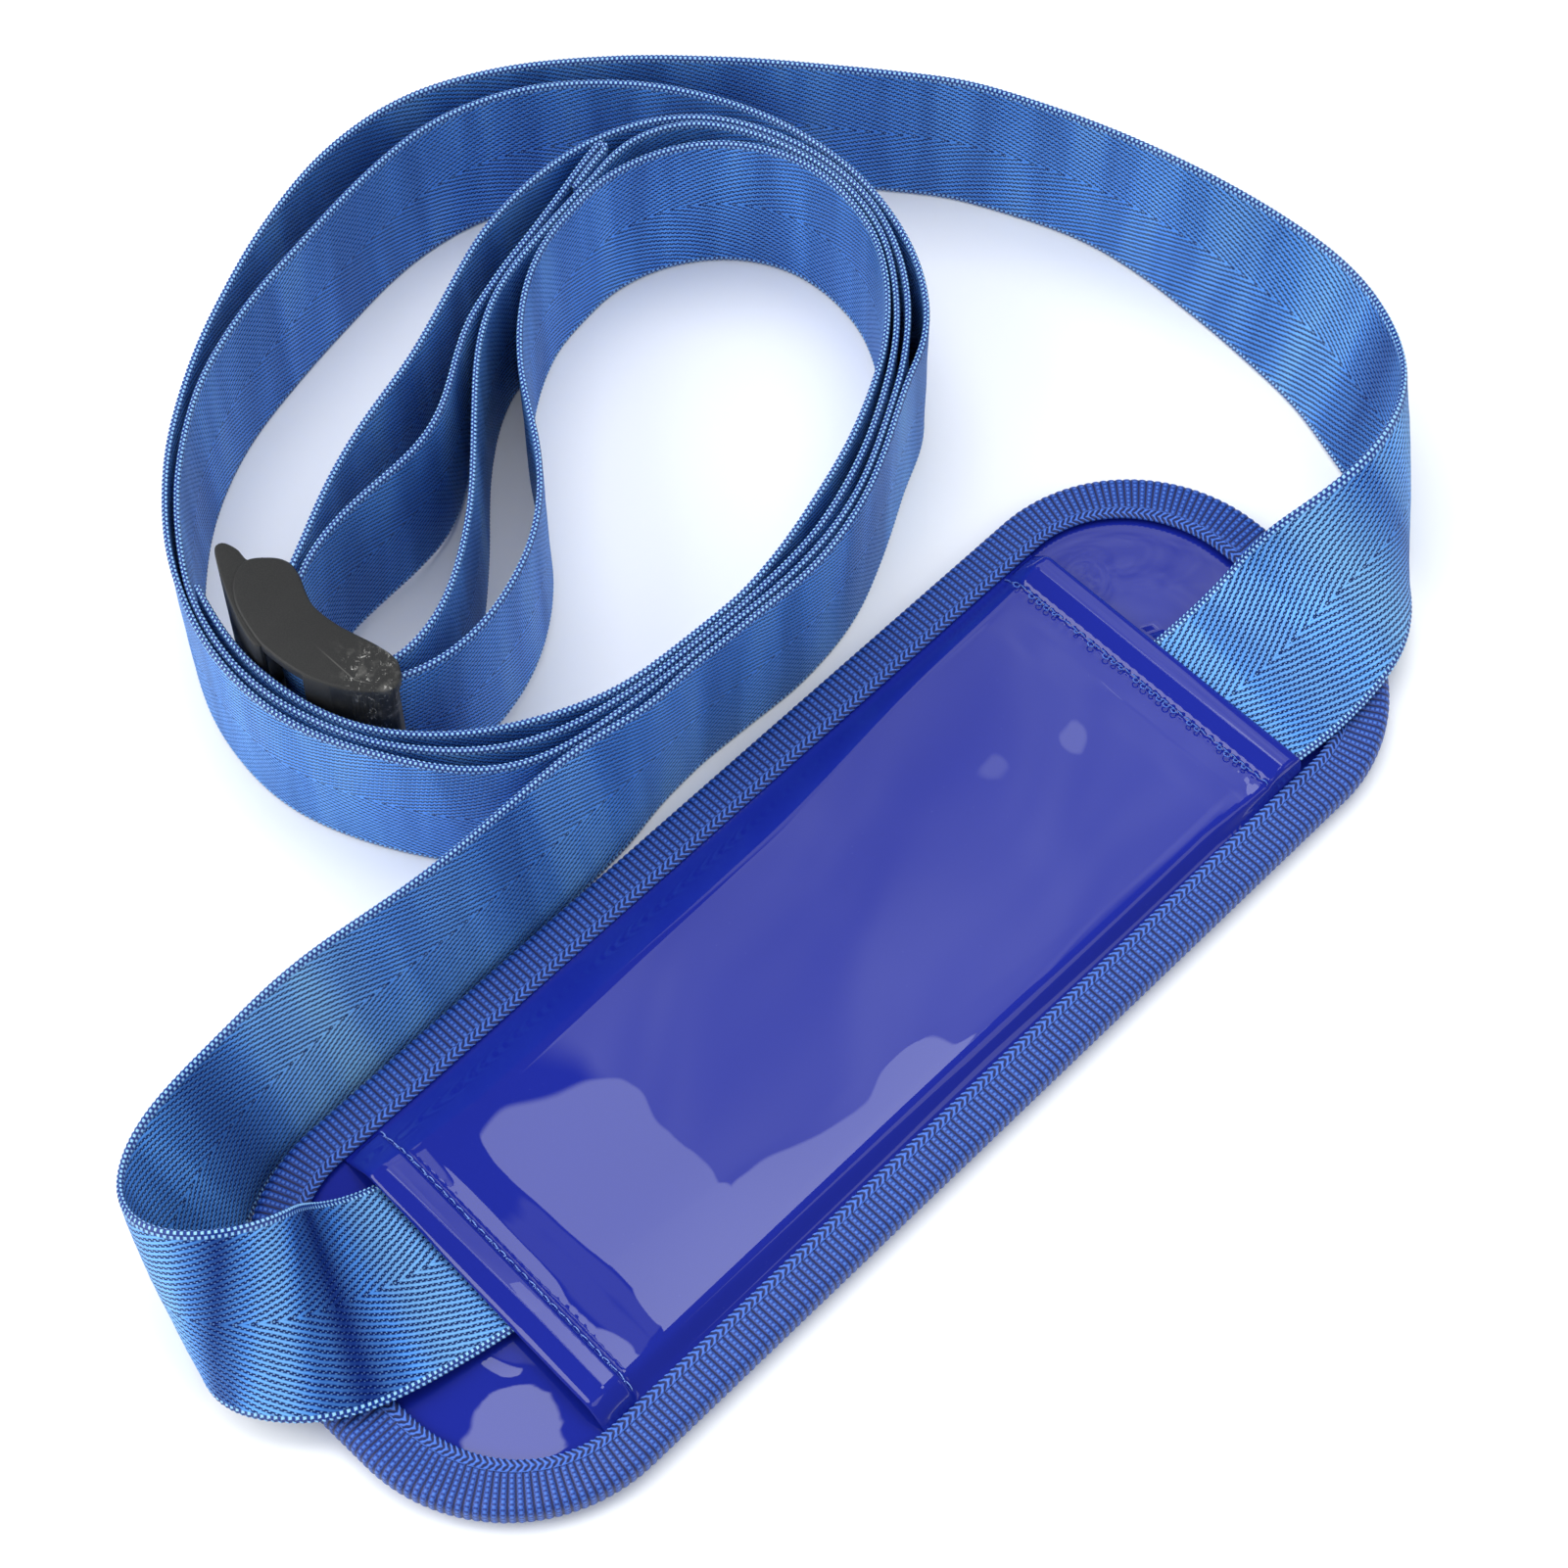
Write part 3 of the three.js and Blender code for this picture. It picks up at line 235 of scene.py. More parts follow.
class Graph:
    """Short spellings for the nodes of one node tree."""

    def __init__(self, tree):
        self.tree = tree
        tree.nodes.clear()

    def source(self, kind, output):
        """An output of a new node that has no inputs to set."""
        return Socket(self.tree, self.tree.nodes.new(kind).outputs[output])

    def position(self):
        return self.source("ShaderNodeTexCoord", "Object")

    def attribute(self, name):
        node = self.tree.nodes.new("ShaderNodeAttribute")
        node.attribute_name = name
        return Socket(self.tree, node.outputs["Vector"])

    def separate(self, vector):
        node = self.tree.nodes.new("ShaderNodeSeparateXYZ")
        feed(self.tree, vector, node.inputs[0])
        return [Socket(self.tree, node.outputs[k]) for k in range(3)]

    def combine(self, x, y, z=0.0):
        node = self.tree.nodes.new("ShaderNodeCombineXYZ")
        for index, value in enumerate((x, y, z)):
            feed(self.tree, value, node.inputs[index])
        return Socket(self.tree, node.outputs[0])

    def noise(self, scale, at=None, detail=2.0, roughness=0.5, distortion=0.0):
        node = self.tree.nodes.new("ShaderNodeTexNoise")
        node.inputs["Scale"].default_value = scale
        node.inputs["Detail"].default_value = detail
        node.inputs["Roughness"].default_value = roughness
        node.inputs["Distortion"].default_value = distortion
        feed(self.tree, at or self.position(), node.inputs["Vector"])
        return Socket(self.tree, node.outputs["Fac"])

    def mix(self, share, first, second):
        """Colour going from first to second as share goes from 0 to 1."""
        node = self.tree.nodes.new("ShaderNodeMix")
        node.data_type = "RGBA"
        for index, value in ((0, share), (6, first), (7, second)):
            feed(self.tree, value, node.inputs[index])
        return Socket(self.tree, node.outputs[2])

    def bump(self, height, distance, strength=1.0, over=None):
        """Surface normal from a height, on top of an earlier bump if given."""
        node = self.tree.nodes.new("ShaderNodeBump")
        node.inputs["Distance"].default_value = distance
        node.inputs["Strength"].default_value = strength
        feed(self.tree, height, node.inputs["Height"])
        if over:
            feed(self.tree, over, node.inputs["Normal"])
        return Socket(self.tree, node.outputs[0])


class Material(Graph):
    def __init__(self, name):
        self.material = bpy.data.materials.new(name)
        self.material.use_nodes = True
        super().__init__(self.material.node_tree)
        output = self.tree.nodes.new("ShaderNodeOutputMaterial")
        self.shader = self.tree.nodes.new("ShaderNodeBsdfPrincipled")
        self.tree.links.new(self.shader.outputs[0], output.inputs["Surface"])

    def set(self, **inputs):
        """Set shader inputs, their names spelt with underscores for spaces."""
        for key, value in inputs.items():
            feed(self.tree, value, self.shader.inputs[key.replace("_", " ")])
        return self.material


# ---------------------------------------------------------------------------------------
# materials
# ---------------------------------------------------------------------------------------
def webbing_material():
    """Herringbone twill: satin ribs run at a low angle to the length and turn back at mid width;
    between them lie rows of weft dots painted as highlights and pits painted dark as shade."""
    rib_angle = math.radians(21.0)
    rib_pitch = 1.52
    bead_split = 24.3  # from mid width: the line between the selvedge's two bead rows
    m = Material("webbing_twill")
    # mm across from mid width, mm along, and the face: 1, 0 or -1
    across, along, face = m.separate(m.attribute("wv"))
    out = across.abs()

    # weave: count of ribs, and of weft picks within a rib, both made a little uneven
    rib = (out * math.cos(rib_angle) - along * math.sin(rib_angle)) / rib_pitch
    rib = rib + (m.noise(scale=0.30, at=m.combine(across, along)) - 0.5) * 0.4
    picks = (along * math.cos(rib_angle) + out * math.sin(rib_angle)) / WEFT_PITCH
    picks = picks + rib.floor() * 0.37
    picks = picks + (m.noise(scale=0.55, at=m.combine(across, along, 3.0)) - 0.5) * 0.5
    off_rib = (rib.fract() - 0.5).abs() * 2.0  # 0 on a rib, 1 in a groove
    groove = off_rib.ramp(start=0.26, end=0.72)
    pick = (picks * TAU).cos01()
    edge = out.ramp(start=23.1, end=23.5)  # braided selvedge
    body = 1.0 - edge
    # masks for painted shade in the pits and painted highlights on the weft dots
    pit = groove * pick.ramp(start=0.93, end=0.48) * body
    weft_highlight = off_rib.ramp(start=0.40, end=0.80) * pick.ramp(start=0.72, end=0.95) * body

    # selvedge: two rows of small beads on each face, painted with highlights on their tops and
    # shade between them, and a dark line round the very edge
    row_shift = out.above(bead_split) * 0.5 + face.above(0.0) * 0.5
    bead_wave = ((along / WEFT_PITCH + row_shift) * TAU).cos01()
    bead = (bead_wave.ramp(start=0.15, end=0.70) * face.abs().ramp(start=0.05, end=0.45)
            * (out - bead_split).abs().ramp(start=0.03, end=0.28))

    broad = m.noise(scale=0.02, at=m.combine(across, along), detail=3.0)
    fibre = m.noise(scale=1.6, at=m.combine(across * 3.2, along * 0.5))
    base = m.mix(broad * 0.4 + fibre * 0.4, srgb(50, 126, 240), srgb(100, 184, 255))

    # painted satin sheen: soft bands of painted shade and painted highlight across the width,
    # plus the folds' painted shade and highlight
    painted_band_noise = m.noise(scale=0.055, at=m.combine(across * 0.14, along, 5.0), roughness=0.55)
    dim, fold_highlight, _ = m.separate(m.attribute("painted_fold_shading"))
    # painted shade: the darker satin bands and the dark folds
    dark = (painted_band_noise.ramp(start=0.60, end=0.38) * 0.34 + dim * 0.96).min(1.0)
    # painted highlight: the lighter satin bands and the bright folds
    light = (painted_band_noise.ramp(start=0.52, end=0.72) * 0.30 * (1.0 - dim) + fold_highlight * 0.75).min(1.0)
    # painted highlight along each rib's crest
    rib_highlight = off_rib.ramp(start=0.35, end=0.0) * body
    base = m.mix(dark, base, srgb(8, 28, 104))
    base = m.mix(light, base, srgb(150, 212, 255))
    # painted shade in the grooves between ribs
    base = m.mix(groove * body * 0.55, base, srgb(14, 46, 136))
    base = m.mix(rib_highlight * (light * 0.45 + 0.16) * (1.0 - dark), base, srgb(140, 212, 255))
    # painted highlights on the weft dots, then painted shade in the pits
    base = m.mix(weft_highlight * (1.0 - dark * 0.8) * 0.5, base, srgb(170, 222, 255))
    base = m.mix(pit * 0.92, base, srgb(5, 20, 84))
    # selvedge beads: painted highlights on their tops, painted shade between them
    selvedge = m.mix(bead, srgb(14, 46, 132), srgb(150, 204, 254))
    base = m.mix(edge, base, selvedge)

    # relief: wide waves of the cloth, with the weave and beads on top
    rib_height = 1.0 - off_rib * off_rib
    weave = (rib_height * 0.62 + pick * groove * 0.38) * body + bead * edge
    cloth_wave = m.noise(scale=0.05, at=m.combine(across * 0.16, along, 5.0),
                         detail=1.0, roughness=0.4)
    waves = m.bump(height=cloth_wave, distance=0.0042)
    # highlights stretch across the webbing, and fade in pits and in the painted dark folds
    return m.set(
        Base_Color=base,
        Roughness=fibre * 0.12 + 0.36,
        Specular_IOR_Level=(1.0 - pit * 0.9) * (1.0 - dark * 0.95) * 0.6,
        Metallic=body * (1.0 - pit) * 0.40 + 0.03,
        Anisotropic=0.82,
        Sheen_Weight=(1.0 - pit * 0.9) * (1.0 - dark * 0.9) * 0.2,
        Sheen_Roughness=0.4,
        Sheen_Tint=srgb(150, 205, 255),
        Tangent=m.attribute("across"),
        Normal=m.bump(height=weave, distance=0.00062, over=waves),
    )


def grosgrain_material():
    """Crosswise cords, each two beaded strands, with a braided strip along the inner edge."""
    segment_pitch = 1.15  # beads along a strand
    strip_start, strip_middle, strip_pitch = 9.5, 10.75, 1.25  # mm in from the outline
    braid_per_cord = 1.0
    braid_slant = 0.62  # cords' shift per mm away from the strip's middle
    m = Material("binding_grosgrain")
    # mm in from the outline, mm along, mm round the section
    inset, along, around = m.separate(m.attribute("bv"))
    cords = along / CORD_PITCH
    cord = (cords * TAU).cos01()  # 1 on a cord
    pair = (cords * TAU * 2.0).cos01()
    strand = (cords * 2.0 + 0.5).floor()
    segment = ((around / segment_pitch + strand * 0.5) * TAU).cos01()
    strip = inset.ramp(start=9.1, end=strip_start)
    slant = (inset - strip_middle).abs() * braid_slant
    chevron = ((cords * braid_per_cord + slant) * TAU).cos01()
    lengthwise = ((inset - strip_start) * (TAU / strip_pitch)).cos01()
    braid = chevron * 0.72 + lengthwise * 0.28

    fine = m.noise(scale=1.6, at=m.combine(around * 2.0, along * 2.0))
    broad = m.noise(scale=0.03, at=m.combine(inset, along))
    # painted highlights on the bead tops; painted shade between cords and between beads
    bead_highlight = cord.ramp(start=0.35, end=0.9) * segment.ramp(start=0.15, end=0.75)
    shade_between_cords = cord.ramp(start=0.40, end=0.04) * 0.95
    shade_between_beads = ((1.0 - pair) * cord * 0.35
                     + segment.ramp(start=0.40, end=0.05) * 0.55).min(1.0)
    base = m.mix(broad * 0.5 + fine * 0.4, srgb(22, 58, 150), srgb(40, 92, 190))
    base = m.mix(bead_highlight * 0.50, base, srgb(84, 134, 222))
    base = m.mix(shade_between_cords, base, srgb(5, 14, 62))
    base = m.mix(shade_between_beads, base, srgb(8, 22, 88))
    # braid painted lighter on its raised chevrons and darker in its hollows, as light and shade
    braid_light_and_shade = m.mix(braid.ramp(start=0.3, end=0.8), srgb(8, 24, 84), srgb(66, 112, 208))
    base = m.mix(strip, base, braid_light_and_shade)
    height = (cord * 0.45 + pair * 0.2 + segment * 0.35 * cord) * (1.0 - strip) + braid * strip
    return m.set(Base_Color=base, Roughness=0.5, Specular_IOR_Level=0.5, Sheen_Weight=0.08,
                 Sheen_Roughness=0.4, Sheen_Tint=srgb(150, 190, 255),
                 Normal=m.bump(height=height, distance=0.00026, strength=0.8))


def vinyl_material(name, deep, roughness):
    """Smooth vinyl, slightly uneven in colour, with fine dust."""
    m = Material(name)
    paler = tuple(v * 1.18 for v in deep[:3]) + (1.0,)
    cloud = m.noise(scale=14.0, detail=3.0)
    dust = m.noise(scale=1500.0, roughness=0.6).ramp(start=0.74, end=0.80)
    base = m.mix(cloud, deep, paler)
    base = m.mix(dust * 0.25, base, srgb(120, 130, 200))
    return m.set(Base_Color=base, Roughness=roughness, Specular_IOR_Level=0.55, IOR=1.5,
                 Normal=m.bump(height=m.noise(scale=26.0, detail=1.0),
                               distance=0.0005, strength=0.02))


def plastic_material():
    """Grained black plastic, scuffed at the low-y end, with a faint parting line on top."""
    m = Material("buckle_grain")
    x, y, z = m.separate(m.position())
    grain = m.noise(scale=2600.0, detail=3.0, roughness=0.6)
    blotch = m.noise(scale=120.0, detail=4.0, roughness=0.6)

    # scuffs and haze gather in an ellipse: centre (-43, 117), half axes 8 and 9
    scratches = m.noise(scale=620.0, detail=4.0, roughness=0.72, distortion=0.8)
    scratches = scratches.ramp(start=0.56, end=0.70)
    patch_x = (x * TO_MM + 43.0) / 8.0
    patch_y = (y * TO_MM - 117.0) / 9.0
    scuff = scratches * (patch_x * patch_x + patch_y * patch_y).ramp(start=1.0, end=0.15)
    haze = (m.noise(scale=240.0, detail=3.0, roughness=0.6).ramp(start=0.5, end=0.75)
            * (patch_x * patch_x + patch_y * patch_y).ramp(start=2.2, end=0.2))

    # parting line: near x -47.6, bending aside below y 118; on the top face only
    y_mm = y * TO_MM
    off_line = (x * TO_MM + 47.6 - (y_mm - 118.0).min(0.0).abs() * 0.55
                + (y_mm - 146.0).max(0.0) * 0.02)
    seam = (off_line.abs().ramp(start=0.30, end=0.05) * z.above(0.0570)
            * y_mm.ramp(start=113.0, end=117.0) * y_mm.ramp(start=134.0, end=124.0))

    base = m.mix(grain.ramp(start=0.3, end=0.75) * 0.55 + blotch * 0.3,
                 srgb(14, 14, 15), srgb(38, 37, 36))
    base = m.mix((haze * 0.30 + seam * 0.22).min(1.0), base, srgb(120, 118, 114))
    base = m.mix(scuff * 0.8, base, srgb(190, 188, 184))
    return m.set(Base_Color=base, Roughness=grain * 0.2 + 0.42, Specular_IOR_Level=0.45,
                 Normal=m.bump(height=grain, distance=0.00010, strength=0.55))


def thread_material(name, dark, light):
    """Thread with a fine diagonal twist."""
    m = Material(name)
    uneven = m.noise(scale=1800.0)
    x, y, z = m.separate(m.position())
    twist = ((x + y * 0.8 + z * 1.3) * 9000.0).sin() * 0.5 + 0.5
    return m.set(Base_Color=m.mix(uneven * 0.5 + twist * 0.5, dark, light), Roughness=0.6,
                 Sheen_Weight=0.3, Sheen_Roughness=0.5,
                 Normal=m.bump(height=twist, distance=0.00004, strength=0.6))


def foam_material():
    """Pale foam of small closed cells."""
    m = Material("closed_cell_foam")
    voronoi = m.tree.nodes.new("ShaderNodeTexVoronoi")
    voronoi.inputs["Scale"].default_value = 1300.0
    feed(m.tree, m.position(), voronoi.inputs["Vector"])
    cell = Socket(m.tree, voronoi.outputs["Distance"])
    # each cell's hollow is painted darker as shade
    colour = m.mix(cell.ramp(start=0.0, end=0.6), srgb(180, 176, 166), srgb(226, 222, 212))
    return m.set(Base_Color=colour, Roughness=0.9,
                 Normal=m.bump(height=cell, distance=0.0002, strength=0.6))


mat_webbing = webbing_material()
mat_binding = grosgrain_material()
mat_vinyl = vinyl_material("vinyl_gloss", deep=srgb(20, 32, 130), roughness=0.0)
mat_backing = vinyl_material("vinyl_back", deep=srgb(22, 28, 112), roughness=0.25)
mat_buckle = plastic_material()
mat_thread = thread_material("thread_blue", dark=srgb(70, 110, 200), light=srgb(150, 185, 245))
mat_thread_dark = thread_material("thread_web", dark=srgb(24, 60, 150), light=srgb(70, 120, 210))
mat_foam = foam_material()

